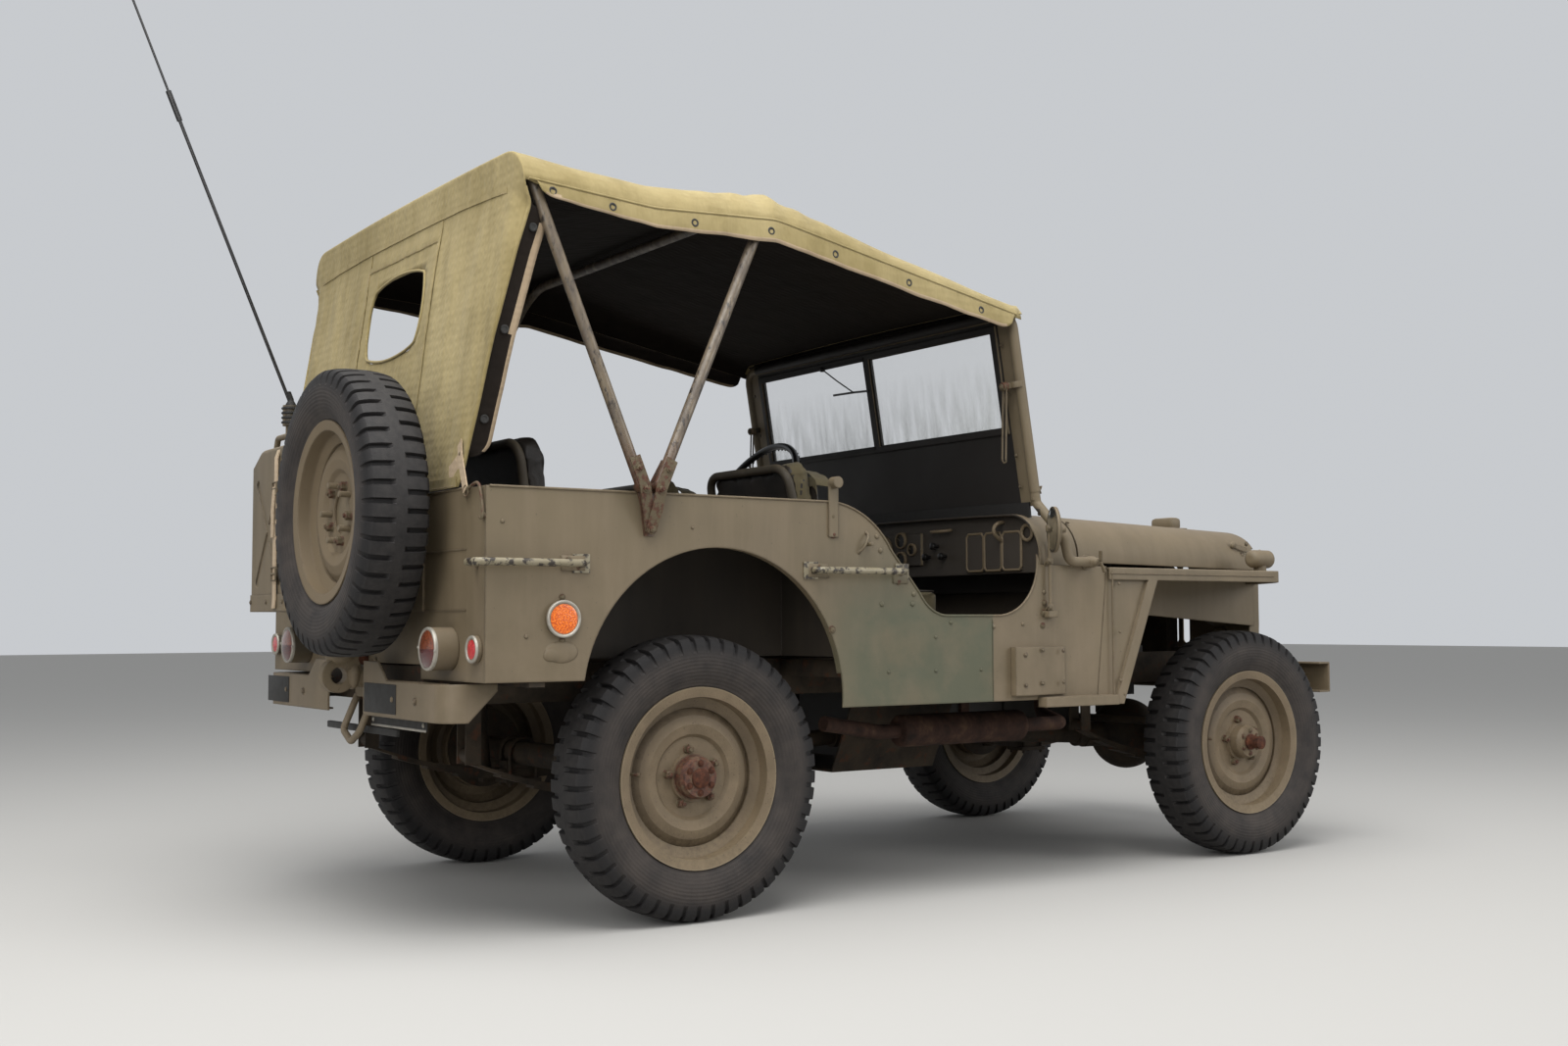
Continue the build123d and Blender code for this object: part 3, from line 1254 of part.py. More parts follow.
with BuildPart() as propeller_shafts:
    for gear_y, axle_y, way in ((aft(-1062), FRONT_AXLE_Y, 1), (aft(-820), REAR_AXLE_Y, -1)):
        pinion_y = axle_y + way * (PINION_REACH + SEAT_GAP)
        gear_end = (DIFF_X, gear_y - way * SEAT_GAP, TRANSFER_Z)
        pinion_end = (DIFF_X, pinion_y, HUB_HEIGHT)
        rod((DIFF_X, pinion_y, HUB_HEIGHT), (DIFF_X, pinion_y + way * 34, HUB_HEIGHT), 34)
        rod((DIFF_X, gear_end[1], TRANSFER_Z), (DIFF_X, gear_end[1] - way * 34, TRANSFER_Z), 34)
        rod(
            (DIFF_X, pinion_end[1] + way * 17, HUB_HEIGHT),
            (DIFF_X, gear_end[1] - way * 17, TRANSFER_Z),
            SHAFT_RADIUS,
        )
propeller_shafts.part.label = "propeller_shafts"
export_step(propeller_shafts.part, "parts/propeller_shafts.step")


# Exhaust: front pipe from the engine, silencer outside the right rail, and the tail pipe
PIPE_RADIUS = 21.0
SILENCER_X = -440.0
SILENCER_Z = 420.0
SILENCER_FRONT = -1280.0
SILENCER_REAR = -810.0
SILENCER_RADIUS = 46.0

with BuildPart() as exhaust:
    front_end = (SILENCER_X, aft(SILENCER_FRONT), SILENCER_Z)
    rear_end = (SILENCER_X, aft(SILENCER_REAR), SILENCER_Z)
    rod(front_end, rear_end, SILENCER_RADIUS)
    fillet(exhaust.edges().filter_by(GeomType.CIRCLE), 12)
    bent_tube(
        (
            (-ENGINE_HALF - SEAT_GAP, aft(ENGINE_REAR - 45), 590),
            (-250, aft(ENGINE_REAR - 45), 590),
            (-250, aft(ENGINE_REAR - 45), 440),
            (SILENCER_X, aft(ENGINE_REAR + 50), SILENCER_Z),
            (SILENCER_X, aft(SILENCER_FRONT) + 20, SILENCER_Z),
        ),
        36,
        PIPE_RADIUS,
    )
    bent_tube(
        (
            (SILENCER_X, aft(SILENCER_REAR) - 20, SILENCER_Z),
            (SILENCER_X, aft(-740), SILENCER_Z),
            (SILENCER_X - 20, aft(-534), 452),
        ),
        90,
        PIPE_RADIUS,
    )
    block((SILENCER_X - 6, SILENCER_X + 6), (aft(-1075), aft(-1045)), (SILENCER_Z + 40, 606))
    block((SILENCER_X - 6, -RAIL_OUTER - SEAT_GAP), (aft(-1075), aft(-1045)), (596, 606))
exhaust.part.label = "exhaust"
export_step(exhaust.part, "parts/exhaust.step")


# Steering wheel on its inclined column, and the driver's controls
WHEEL_RADIUS = 212.0
WHEEL_RIM = 11.0
SPOKES = 3

# Columns: x, station of the foot, how far the top leans back, height of the knob over the floor
LEVER_TABLE = (
    (20.0, -1010.0, 120.0, 330.0),
    (-60.0, -930.0, 60.0, 200.0),
    (-100.0, -930.0, 60.0, 200.0),
)

# Columns: x, half width of the pad, its lower and upper edge
PEDAL_TABLE = (
    (418.0, 30.0, 788.0, 846.0),
    (262.0, 30.0, 788.0, 846.0),
    (190.0, 22.0, 700.0, 776.0),
)
PEDAL_STATION = -1122.0
PEDAL_LEAN = 30.0

steering_plane = Plane(origin=tuple(WHEEL_CENTRE), x_dir=(1, 0, 0), z_dir=tuple(-COLUMN_DIRECTION))
with BuildPart() as steering_wheel:
    rim_plane = Plane(origin=tuple(WHEEL_CENTRE), x_dir=(1, 0, 0), z_dir=tuple(steering_plane.y_dir))
    with BuildSketch(rim_plane) as ring:
        with Locations((WHEEL_RADIUS, 0)):
            Circle(WHEEL_RIM)
    revolve(ring.sketch, axis=Axis(tuple(WHEEL_CENTRE), tuple(COLUMN_DIRECTION)))
    with BuildSketch(steering_plane.offset(-42)) as hub:
        Circle(27)
    extrude(hub.sketch, amount=34)
    for number in range(SPOKES):
        angle = radians(90 + number * 360 / SPOKES)
        outward = Vector(cos(angle), sin(angle), 0)
        rim_end = steering_plane.from_local_coords(outward * WHEEL_RADIUS)
        hub_end = steering_plane.from_local_coords(outward * 14 - Vector(0, 0, 22))
        rod(tuple(hub_end), tuple(rim_end), 6.5)
steering_wheel.part.label = "steering_wheel"
export_step(steering_wheel.part, "parts/steering_wheel.step")

with BuildPart() as driving_controls:
    column_top = WHEEL_CENTRE + COLUMN_DIRECTION * 43
    column_end = WHEEL_CENTRE + COLUMN_DIRECTION * COLUMN_LENGTH
    rod(tuple(column_top), tuple(column_end), COLUMN_RADIUS)
    rod(tuple(column_end - COLUMN_DIRECTION * 14), tuple(column_end), COLUMN_RADIUS + 12)
    # Gear lever and the two transfer levers, up through the floor
    for x, station, lean, height in LEVER_TABLE:
        rod((x, aft(station), FLOOR_TOP + 6), (x, aft(station) + lean, FLOOR_TOP + height), 7)
        with Locations((x, aft(station) + lean, FLOOR_TOP + height)):
            Sphere(17)
        with Locations((x, aft(station), FLOOR_TOP + SEAT_GAP + 6)):
            Cylinder(30, 12)
    # Pedals: an arm up from the floor to a pad that faces the driver
    for x, pad_half, low, high in PEDAL_TABLE:
        pad_y = aft(PEDAL_STATION) - PEDAL_LEAN
        rod((x, aft(PEDAL_STATION), FLOOR_TOP + 6), (x, pad_y, (low + high) / 2), 6)
        with Locations((x, aft(PEDAL_STATION), FLOOR_TOP + SEAT_GAP + 6)):
            Cylinder(15, 12)
        pad = (
            (pad_y + PEDAL_LEAN / 2 + 8, low),
            (pad_y + PEDAL_LEAN / 2, low),
            (pad_y - PEDAL_LEAN / 2, high),
            (pad_y - PEDAL_LEAN / 2 + 8, high),
        )
        cut_plate(side_plane(x - pad_half), pad, 2 * pad_half)
driving_controls.part.label = "driving_controls"
export_step(driving_controls.part, "parts/driving_controls.step")


# Front seats: tube frames with a pan, and loose cushions
SEAT_INNER = 132.0
SEAT_OUTER = 548.0
SEAT_FRONT = -915.0
SEAT_REAR = -506.0
SEAT_PAN = 752.0
BACK_LEAN = 105.0
BACK_TOP = 1165.0
SEAT_TUBE = 12.0
CUSHION = 64.0

with BuildPart() as front_seat_frames:
    for side, side_name in SIDES:
        near, far = side * (SEAT_INNER + SEAT_TUBE), side * (SEAT_OUTER - SEAT_TUBE)
        bent_tube(
            (
                (near, aft(SEAT_REAR) + 32, FLOOR_TOP + 1.4),
                (near, aft(SEAT_REAR) + 42, SEAT_PAN),
                (near, aft(SEAT_REAR) + 42 + BACK_LEAN, BACK_TOP - 20),
                (far, aft(SEAT_REAR) + 42 + BACK_LEAN, BACK_TOP - 20),
                (far, aft(SEAT_REAR) + 42, SEAT_PAN),
                (far, aft(SEAT_REAR) + 32, FLOOR_TOP + 1.4),
            ),
            50,
            SEAT_TUBE,
        )
        block(
            (near - side * 8, far + side * 8),
            (aft(SEAT_FRONT), aft(SEAT_REAR) + 46),
            (SEAT_PAN - 5, SEAT_PAN),
        )
        block(
            (near - side * 8, far + side * 8),
            (aft(SEAT_FRONT), aft(SEAT_FRONT) + 4),
            (FLOOR_TOP + SEAT_GAP, SEAT_PAN - 1),
        )
front_seat_frames.part.label = "front_seat_frames"
export_step(front_seat_frames.part, "parts/front_seat_frames.step")

with BuildPart() as front_seat_cushions:
    for side, side_name in SIDES:
        middle = side * (SEAT_INNER + SEAT_OUTER) / 2
        width = SEAT_OUTER - SEAT_INNER
        with BuildSketch(Plane.XY.offset(SEAT_PAN + SEAT_GAP)) as base:
            with Locations((middle, aft((SEAT_FRONT + SEAT_REAR) / 2) - 8)):
                RectangleRounded(width, SEAT_REAR - SEAT_FRONT - 20, 40)
        extrude(base.sketch, amount=CUSHION)
        back_plane = Plane(
            origin=(middle, aft(SEAT_REAR) + 42, SEAT_PAN),
            x_dir=(1, 0, 0),
            z_dir=(0, -(BACK_TOP - 20 - SEAT_PAN), BACK_LEAN),
        )
        with BuildSketch(back_plane.offset(SEAT_TUBE + SEAT_GAP)) as back:
            with Locations((0, 250)):
                RectangleRounded(width, 350, 44)
        extrude(back.sketch, amount=CUSHION - 6)
front_seat_cushions.part.label = "front_seat_cushions"
export_step(front_seat_cushions.part, "parts/front_seat_cushions.step")


# Fuel tank under the driver's seat
with BuildPart() as fuel_tank:
    block((155, 525), (aft(-895), aft(-520)), (FLOOR_TOP + SEAT_GAP, SEAT_PAN - 14))
    fillet(fuel_tank.edges().filter_by(Axis.Z), 30)
fuel_tank.part.label = "fuel_tank"
export_step(fuel_tank.part, "parts/fuel_tank.step")


# Rear bench between the wheel boxes
BENCH_HALF = 448.0
BENCH_FRONT = -60.0
BENCH_REAR = 300.0
BENCH_PAN = 812.0
BENCH_BACK_TOP = 1205.0
BENCH_LEAN = 50.0

with BuildPart() as rear_seat_frame:
    bent_tube(
        (
            (-BENCH_HALF + 14, aft(BENCH_REAR) + 16, FLOOR_TOP + 0.8),
            (-BENCH_HALF + 14, aft(BENCH_REAR) + 24, BENCH_PAN),
            (-BENCH_HALF + 14, aft(BENCH_REAR) + 24 + BENCH_LEAN, BENCH_BACK_TOP - 24),
            (BENCH_HALF - 14, aft(BENCH_REAR) + 24 + BENCH_LEAN, BENCH_BACK_TOP - 24),
            (BENCH_HALF - 14, aft(BENCH_REAR) + 24, BENCH_PAN),
            (BENCH_HALF - 14, aft(BENCH_REAR) + 16, FLOOR_TOP + 0.8),
        ),
        60,
        SEAT_TUBE,
    )
    bent_tube(
        (
            (-BENCH_HALF + 14, aft(BENCH_REAR) + 20, BENCH_PAN - 14),
            (-BENCH_HALF + 14, aft(BENCH_FRONT) + 14, BENCH_PAN - 14),
            (BENCH_HALF - 14, aft(BENCH_FRONT) + 14, BENCH_PAN - 14),
            (BENCH_HALF - 14, aft(BENCH_REAR) + 20, BENCH_PAN - 14),
        ),
        40,
        SEAT_TUBE,
    )
    block(
        (-BENCH_HALF + 16, BENCH_HALF - 16),
        (aft(BENCH_FRONT) + 10, aft(BENCH_REAR) + 20),
        (BENCH_PAN - 5, BENCH_PAN),
    )
    for side, side_name in SIDES:
        leg_x = side * (BENCH_HALF - 60)
        leg_y = aft(BENCH_FRONT) + 14
        rod((leg_x, leg_y, FLOOR_TOP + SEAT_GAP), (leg_x, leg_y, BENCH_PAN - 14), SEAT_TUBE - 2)
rear_seat_frame.part.label = "rear_seat_frame"
export_step(rear_seat_frame.part, "parts/rear_seat_frame.step")

with BuildPart() as rear_seat_cushions:
    with BuildSketch(Plane.XY.offset(BENCH_PAN + SEAT_GAP)) as base:
        with Locations((0, aft((BENCH_FRONT + BENCH_REAR) / 2) - 6)):
            RectangleRounded(2 * BENCH_HALF - 4, BENCH_REAR - BENCH_FRONT - 14, 44)
    extrude(base.sketch, amount=CUSHION)
    bench_back_plane = Plane(
        origin=(0, aft(BENCH_REAR) + 24, BENCH_PAN),
        x_dir=(1, 0, 0),
        z_dir=(0, -(BENCH_BACK_TOP - 24 - BENCH_PAN), BENCH_LEAN),
    )
    with BuildSketch(bench_back_plane.offset(SEAT_TUBE + SEAT_GAP)) as back:
        with Locations((0, 240)):
            RectangleRounded(2 * BENCH_HALF, 318, 70)
    extrude(back.sketch, amount=CUSHION - 10)
rear_seat_cushions.part.label = "rear_seat_cushions"
export_step(rear_seat_cushions.part, "parts/rear_seat_cushions.step")


# Hood bows: two tube hoops that share a bracket on each side of the body
BOW_TUBE = 14.0
BOW_FOOT_X = BODY_HALF_WIDTH + 18.0
BOW_FOOT_Z = 1052.0
BOW_TOP_HALF = BODY_HALF_WIDTH - 57.0
BOW_CORNER = 95.0
CANVAS = 5.0
REST_GAP = 0.5
RIDGE_Y = 505.0
RIDGE_TOP = 1840.0
FRONT_BOW_Y = -205.0
FRONT_BOW_TOP = 1836.0
RIDGE_CROWN = 8.0

# Columns: foot y, top y, top height of the canvas over the bow
BOW_TABLE = (
    (212.0, RIDGE_Y - CANVAS - BOW_TUBE - REST_GAP, RIDGE_TOP),
    (166.0, FRONT_BOW_Y, FRONT_BOW_TOP),
)

# Forked bracket that carries both bows' feet, as (station, height)
BRACKET_OUTLINE = (
    (148.0, 1120.0),
    (182.0, 1060.0),
    (226.0, 1128.0),
    (238.0, 1112.0),
    (206.0, 1010.0),
    (196.0, 936.0),
    (170.0, 936.0),
    (164.0, 1010.0),
    (140.0, 1100.0),
)

with BuildPart() as top_bows:
    for foot_y, top_y, cover_top in BOW_TABLE:
        bar_z = cover_top - CANVAS - REST_GAP - BOW_TUBE - 3
        bent_tube(
            (
                (-BOW_FOOT_X, aft(foot_y), BOW_FOOT_Z),
                (-BOW_TOP_HALF, aft(top_y), bar_z),
                (BOW_TOP_HALF, aft(top_y), bar_z),
                (BOW_FOOT_X, aft(foot_y), BOW_FOOT_Z),
            ),
            BOW_CORNER,
            BOW_TUBE,
        )
    for side, side_name in SIDES:
        bracket = [(aft(station), z) for station, z in BRACKET_OUTLINE]
        cut_plate(side_plane(side * (BODY_HALF_WIDTH + SEAT_GAP)), bracket, side * 4)
        for foot_y, top_y, cover_top in BOW_TABLE:
            foot = (side * (BODY_HALF_WIDTH + 2), aft(foot_y), BOW_FOOT_Z)
            rod(foot, (side * (BOW_FOOT_X + BOW_TUBE), aft(foot_y), BOW_FOOT_Z), 13)
top_bows.part.label = "top_bows"
export_step(top_bows.part, "parts/top_bows.step")


# Canvas top: roof over bows and windscreen, with side valances and a rear curtain
VALANCE = 62.0
CANVAS_HALF = BOW_TOP_HALF + 34.0
FRONT_EDGE_Y = -1060.0
FRONT_EDGE_TOP = 1634.0
FRONT_EDGE_HALF = CANVAS_HALF - 16.0
CURTAIN_TOP = RIDGE_TOP - 100.0
CURTAIN_BOTTOM = 1046.0
CURTAIN_BOTTOM_Y = 603.0
CURTAIN_CORNER = 60.0
HEM_HALF = CANVAS_HALF - 148.0
HEM_Z = 1087.0
WING_SLANT = 0.4386
WING_FRONT = 410.0
WINDOW_X = -10.0
WINDOW_Z = 1540.0
WINDOW_WIDTH = 380.0
WINDOW_HEIGHT = 220.0
WINDOW_CORNER = 70.0

# Columns: station, half width, top height, corner radius
ROOF_TABLE = (
    (FRONT_EDGE_Y, FRONT_EDGE_HALF, FRONT_EDGE_TOP, 44.0),
    (FRONT_BOW_Y, CANVAS_HALF, FRONT_BOW_TOP, 88.0),
    (150.0, CANVAS_HALF - 4, 1817.0, 88.0),
    (RIDGE_Y, CANVAS_HALF, RIDGE_TOP, 88.0),
)


def roof_sections(inset, stretch):
    """Roof cross-sections from front to rear, inset by the cloth and stretched past both ends."""
    sections = []
    for station, half_width, top, corner in ROOF_TABLE:
        place = station
        if station == FRONT_EDGE_Y:
            place = station - stretch
        if station == RIDGE_Y:
            place = station - inset
        depth = corner + VALANCE + stretch
        sections.append(
            arched_section(
                cross_plane(aft(place)),
                half_width - inset,
                top - depth,
                top - inset,
                corner - inset,
                RIDGE_CROWN,
            )
        )
    return sections


def curtain_section(z, y, inset, stretch):
    """Plan of the rear curtain at one height: wide U with round corners, open to the front."""
    with BuildSketch(Plane.XY.offset(z)) as section:
        with BuildLine():
            half = CANVAS_HALF - inset
            corner = CURTAIN_CORNER - inset
            back = y - inset
            front = aft(WING_FRONT) - stretch
            Line((-half, front), (-half, back - corner))
            CenterArc((-half + corner, back - corner), corner, 90, 90)
            Line((-half + corner, back), (half - corner, back))
            CenterArc((half - corner, back - corner), corner, 0, 90)
            Line((half, back - corner), (half, front))
            Line((half, front), (-half, front))
        make_face()
    return section.sketch


with BuildPart() as curtain:
    loft(
        [
            curtain_section(CURTAIN_TOP, aft(RIDGE_Y), 0, 0),
            curtain_section(CURTAIN_BOTTOM, aft(CURTAIN_BOTTOM_Y), 0, 0),
        ],
        ruled=True,
    )
    loft(
        [
            curtain_section(CURTAIN_TOP + 1, aft(RIDGE_Y), CANVAS, 1),
            curtain_section(CURTAIN_BOTTOM - 1, aft(CURTAIN_BOTTOM_Y), CANVAS, 1),
        ],
        ruled=True,
        mode=Mode.SUBTRACT,
    )
    # Side wings, cut back along an edge that slants down to the curtain's hem
    for side, side_name in SIDES:
        hem_corner = (side * HEM_HALF, aft(CURTAIN_BOTTOM_Y), HEM_Z)
        wing_edge = Plane(origin=hem_corner, z_dir=(-side, 1, WING_SLANT))
        split(bisect_by=wing_edge, keep=Keep.TOP)
    with BuildSketch(cross_plane(aft(RIDGE_Y))) as window:
        with Locations((WINDOW_X, WINDOW_Z)):
            RectangleRounded(WINDOW_WIDTH, WINDOW_HEIGHT, WINDOW_CORNER)
    extrude(window.sketch, amount=120, both=True, mode=Mode.SUBTRACT)

with BuildPart() as canvas_top:
    loft(roof_sections(0, 0), ruled=True)
    loft(roof_sections(CANVAS, 1), ruled=True, mode=Mode.SUBTRACT)
    add(curtain.part)
canvas_top.part.label = "canvas_top"
export_step(canvas_top.part, "parts/canvas_top.step")


# Spare wheel on the tail: rim and disc only, with its bolt circle
SPARE_X = -247.0
SPARE_Y = aft(738)
SPARE_Z = 1000.0
SPARE_BORE = 52.0
BOLT_CIRCLE = 69.8
BOLT_HOLE = 8.0

spare_plane = Plane(origin=(SPARE_X, SPARE_Y, SPARE_Z), x_dir=(0, 1, 0), z_dir=(1, 0, 0))
spare_axis = Axis((SPARE_X, SPARE_Y, SPARE_Z), (0, 1, 0))

with BuildPart() as spare_wheel:
    with BuildSketch(spare_plane) as half:
        with BuildLine():
            Polyline(*RIM_INSIDE, (11, 98), (11, SPARE_BORE), (17, SPARE_BORE), *RIM_OUTSIDE, close=True)
        make_face()
    revolve(half.sketch, axis=spare_axis)
    disc_plane = Plane(origin=(SPARE_X, SPARE_Y, SPARE_Z), x_dir=(1, 0, 0), z_dir=(0, -1, 0))
    with BuildSketch(disc_plane) as bolts:
        with PolarLocations(BOLT_CIRCLE, 5):
            Circle(BOLT_HOLE)
    extrude(bolts.sketch, amount=60, both=True, mode=Mode.SUBTRACT)
spare_wheel.part.label = "spare_wheel"
export_step(spare_wheel.part, "parts/spare_wheel.step")

with BuildPart() as spare_tyre:
    revolve(tyre_section(spare_plane, TYRE_WIDTH / 2), axis=spare_axis)
spare_tyre.part.label = "spare_tyre"
export_step(spare_tyre.part, "parts/spare_tyre.step")


# Spare wheel carrier: pressed bracket on the tail with a flange and studs for the wheel
CARRIER_FLANGE = 90.0
TAIL_FACE = aft(BODY_TAIL) + SEAT_GAP

with BuildPart() as spare_carrier:
    flange_back = SPARE_Y + 11 - SEAT_GAP
    rod((SPARE_X, flange_back - 8, SPARE_Z), (SPARE_X, flange_back, SPARE_Z), CARRIER_FLANGE)
    rod((SPARE_X, TAIL_FACE, SPARE_Z), (SPARE_X, flange_back - 4, SPARE_Z), 46)
    block(
        (SPARE_X - 150, SPARE_X + 150),
        (TAIL_FACE, TAIL_FACE + 6),
        (SPARE_Z - 240, SPARE_Z + 20),
    )
    flange_plane = Plane(origin=(SPARE_X, flange_back, SPARE_Z), x_dir=(1, 0, 0), z_dir=(0, 1, 0))
    with BuildSketch(flange_plane) as studs:
        with PolarLocations(BOLT_CIRCLE, 5):
            Circle(BOLT_HOLE - RUNNING_GAP)
    extrude(studs.sketch, amount=34)
spare_carrier.part.label = "spare_carrier"
export_step(spare_carrier.part, "parts/spare_carrier.step")


# Fuel can on the left of the tail, in its pressed carrier
CAN_LEFT = 456.0
CAN_RIGHT = 116.0
CAN_FRONT = aft(612)
CAN_BACK = aft(768)
CAN_BOTTOM = 768.0
CAN_TOP = 1205.0
CAN_CORNER = 34.0
CAN_WALL = 2.5
CAN_GAP = 0.6

with BuildPart() as jerry_can:
    with BuildSketch(Plane.XY.offset(CAN_BOTTOM)) as plan:
        with Locations(((CAN_LEFT + CAN_RIGHT) / 2, (CAN_FRONT + CAN_BACK) / 2)):
            RectangleRounded(CAN_LEFT - CAN_RIGHT, CAN_BACK - CAN_FRONT, CAN_CORNER)
    extrude(plan.sketch, amount=CAN_TOP - CAN_BOTTOM)
    fillet(jerry_can.edges().group_by(Axis.Z)[0], 14)
    # Sloping shoulder where the spout stands
    shoulder = (
        (CAN_LEFT - 120, CAN_TOP + 1),
        (CAN_LEFT + 1, CAN_TOP + 1),
        (CAN_LEFT + 1, CAN_TOP - 62),
    )
    cut_plate(cross_plane(CAN_BACK + 1), shoulder, CAN_BACK - CAN_FRONT + 2, mode=Mode.SUBTRACT)
    fillet(jerry_can.edges().group_by(Axis.Z)[-1], 12)
    # Crossed grooves pressed into the rear face
    middle = ((CAN_LEFT + CAN_RIGHT) / 2, (CAN_BOTTOM + CAN_TOP) / 2 - 10)
    groove_plane = Plane(origin=(middle[0], CAN_BACK, middle[1]), x_dir=(1, 0, 0), z_dir=(0, 1, 0))
    with BuildSketch(groove_plane) as grooves:
        for tilt in (-55, 55):
            SlotOverall(350, 26, rotation=tilt)
    extrude(grooves.sketch, amount=-4, mode=Mode.SUBTRACT)
    # Three carrying handles and the spout's cap
    for handle_y in (-46, 0, 46):
        y = (CAN_FRONT + CAN_BACK) / 2 + handle_y
        bent_tube(
            (
                (CAN_RIGHT + 46, y, CAN_TOP - 8),
                (CAN_RIGHT + 62, y, CAN_TOP + 30),
                (CAN_LEFT - 142, y, CAN_TOP + 30),
                (CAN_LEFT - 126, y, CAN_TOP - 8),
            ),
            12,
            8,
        )
    cap_middle = (CAN_LEFT - 58, (CAN_FRONT + CAN_BACK) / 2, CAN_TOP - 36)
    rod(cap_middle, (cap_middle[0] + 22, cap_middle[1], cap_middle[2] + 42), 28)
jerry_can.part.label = "jerry_can"
export_step(jerry_can.part, "parts/jerry_can.step")

with BuildPart() as can_carrier:
    with BuildSketch(Plane.XY.offset(CAN_BOTTOM - 4)) as tray:
        with Locations(((CAN_LEFT + CAN_RIGHT) / 2, (CAN_FRONT + CAN_BACK) / 2)):
            RectangleRounded(
                CAN_LEFT - CAN_RIGHT + 2 * (CAN_GAP + CAN_WALL),
                CAN_BACK - CAN_FRONT + 2 * (CAN_GAP + CAN_WALL),
                CAN_CORNER + CAN_GAP + CAN_WALL,
            )
    extrude(tray.sketch, amount=46)
    with BuildSketch(Plane.XY.offset(CAN_BOTTOM - SEAT_GAP)) as room:
        with Locations(((CAN_LEFT + CAN_RIGHT) / 2, (CAN_FRONT + CAN_BACK) / 2)):
            RectangleRounded(
                CAN_LEFT - CAN_RIGHT + 2 * CAN_GAP,
                CAN_BACK - CAN_FRONT + 2 * CAN_GAP,
                CAN_CORNER + CAN_GAP,
            )
    extrude(room.sketch, amount=60, mode=Mode.SUBTRACT)
    # Legs back to the tail panel, and the back plate behind the can
    block(
        (CAN_RIGHT + 40, CAN_LEFT - 40),
        (TAIL_FACE, CAN_FRONT - CAN_GAP),
        (CAN_BOTTOM - 4, CAN_BOTTOM + 150),
    )
can_carrier.part.label = "can_carrier"
export_step(can_carrier.part, "parts/can_carrier.step")


# Rear lamps in round housings, with the reflectors; side reflectors on both flanks
TAIL_LAMP_Z = 672.0
TAIL_LAMP_RADIUS = 50.0
TAIL_LAMP_DEPTH = 58.0
TAIL_LAMP_X = (-556.0, 452.0)
REFLECTOR_X = BODY_HALF_WIDTH - 42.0
REFLECTOR_RADIUS = 31.0
SIDE_REFLECTOR = (410.0, 740.0)
SIDE_REFLECTOR_RADIUS = 43.0

with BuildPart() as rear_lamps:
    for x in TAIL_LAMP_X:
        with BuildSketch(cross_plane(TAIL_FACE)) as lamp:
            with Locations((x, TAIL_LAMP_Z)):
                Circle(TAIL_LAMP_RADIUS)
        extrude(lamp.sketch, amount=-TAIL_LAMP_DEPTH)
    fillet(rear_lamps.edges().filter_by(GeomType.CIRCLE).group_by(Axis.Y)[-1], 4)
    for side, side_name in SIDES:
        x = side * REFLECTOR_X
        rod((x, TAIL_FACE, TAIL_LAMP_Z), (x, TAIL_FACE + 14, TAIL_LAMP_Z), REFLECTOR_RADIUS)
        face_x = side * (BODY_HALF_WIDTH + SEAT_GAP)
        y, z = aft(SIDE_REFLECTOR[0]), SIDE_REFLECTOR[1]
        rod((face_x, y, z), (face_x + side * 11, y, z), SIDE_REFLECTOR_RADIUS)
rear_lamps.part.label = "rear_lamps"
export_step(rear_lamps.part, "parts/rear_lamps.step")


# Blank number plate under the right bumperette's bracket
with BuildPart() as number_plate:
    plate_near = aft(RAIL_REAR + 14.5)
    block((-432, -72), (plate_near, plate_near + 3), (474, RAIL_BOTTOM + 8 - SEAT_GAP))
number_plate.part.label = "number_plate"
export_step(number_plate.part, "parts/number_plate.step")


# Grab handles: a bowed bar behind each doorway, and one carried round each rear corner
HANDLE_RADIUS = 9.0
HANDLE_STAND = 34.0
HANDLE_FOOT = 3.0
FRONT_HANDLE_ENDS = (-579.0, -296.0)
FRONT_HANDLE_Z = 862.0
REAR_HANDLE_FRONT = 362.0
REAR_HANDLE_STAND = 26.0
REAR_HANDLE_Z = 868.0
REAR_HANDLE_X = BODY_HALF_WIDTH - 42.0

with BuildPart() as grab_handles:
    for side, side_name in SIDES:
        face = side * (BODY_HALF_WIDTH + SEAT_GAP)
        out = side * (BODY_HALF_WIDTH + HANDLE_STAND)
        near_y, far_y = aft(FRONT_HANDLE_ENDS[1]), aft(FRONT_HANDLE_ENDS[0])
        bent_tube(
            (
                (face, near_y, FRONT_HANDLE_Z),
                (out, near_y, FRONT_HANDLE_Z),
                (out, far_y, FRONT_HANDLE_Z),
                (face, far_y, FRONT_HANDLE_Z),
            ),
            20,
            HANDLE_RADIUS,
        )
        for foot_y in (near_y + 6, far_y - 6):
            block(
                (face, face + side * HANDLE_FOOT),
                (foot_y - 22, foot_y + 22),
                (FRONT_HANDLE_Z - 22, FRONT_HANDLE_Z + 22),
            )
        # The rear handle turns the corner and ends on the tail
        out = side * (BODY_HALF_WIDTH + REAR_HANDLE_STAND)
        turn_y = aft(BODY_TAIL) + 30
        bent_tube(
            (
                (face, aft(REAR_HANDLE_FRONT), REAR_HANDLE_Z),
                (out, aft(REAR_HANDLE_FRONT), REAR_HANDLE_Z),
                (out, turn_y, REAR_HANDLE_Z),
                (side * REAR_HANDLE_X, turn_y, REAR_HANDLE_Z),
                (side * REAR_HANDLE_X, TAIL_FACE, REAR_HANDLE_Z),
            ),
            16,
            HANDLE_RADIUS,
        )
        block(
            (face, face + side * HANDLE_FOOT),
            (aft(REAR_HANDLE_FRONT) - 22, aft(REAR_HANDLE_FRONT) + 22),
            (REAR_HANDLE_Z - 22, REAR_HANDLE_Z + 22),
        )
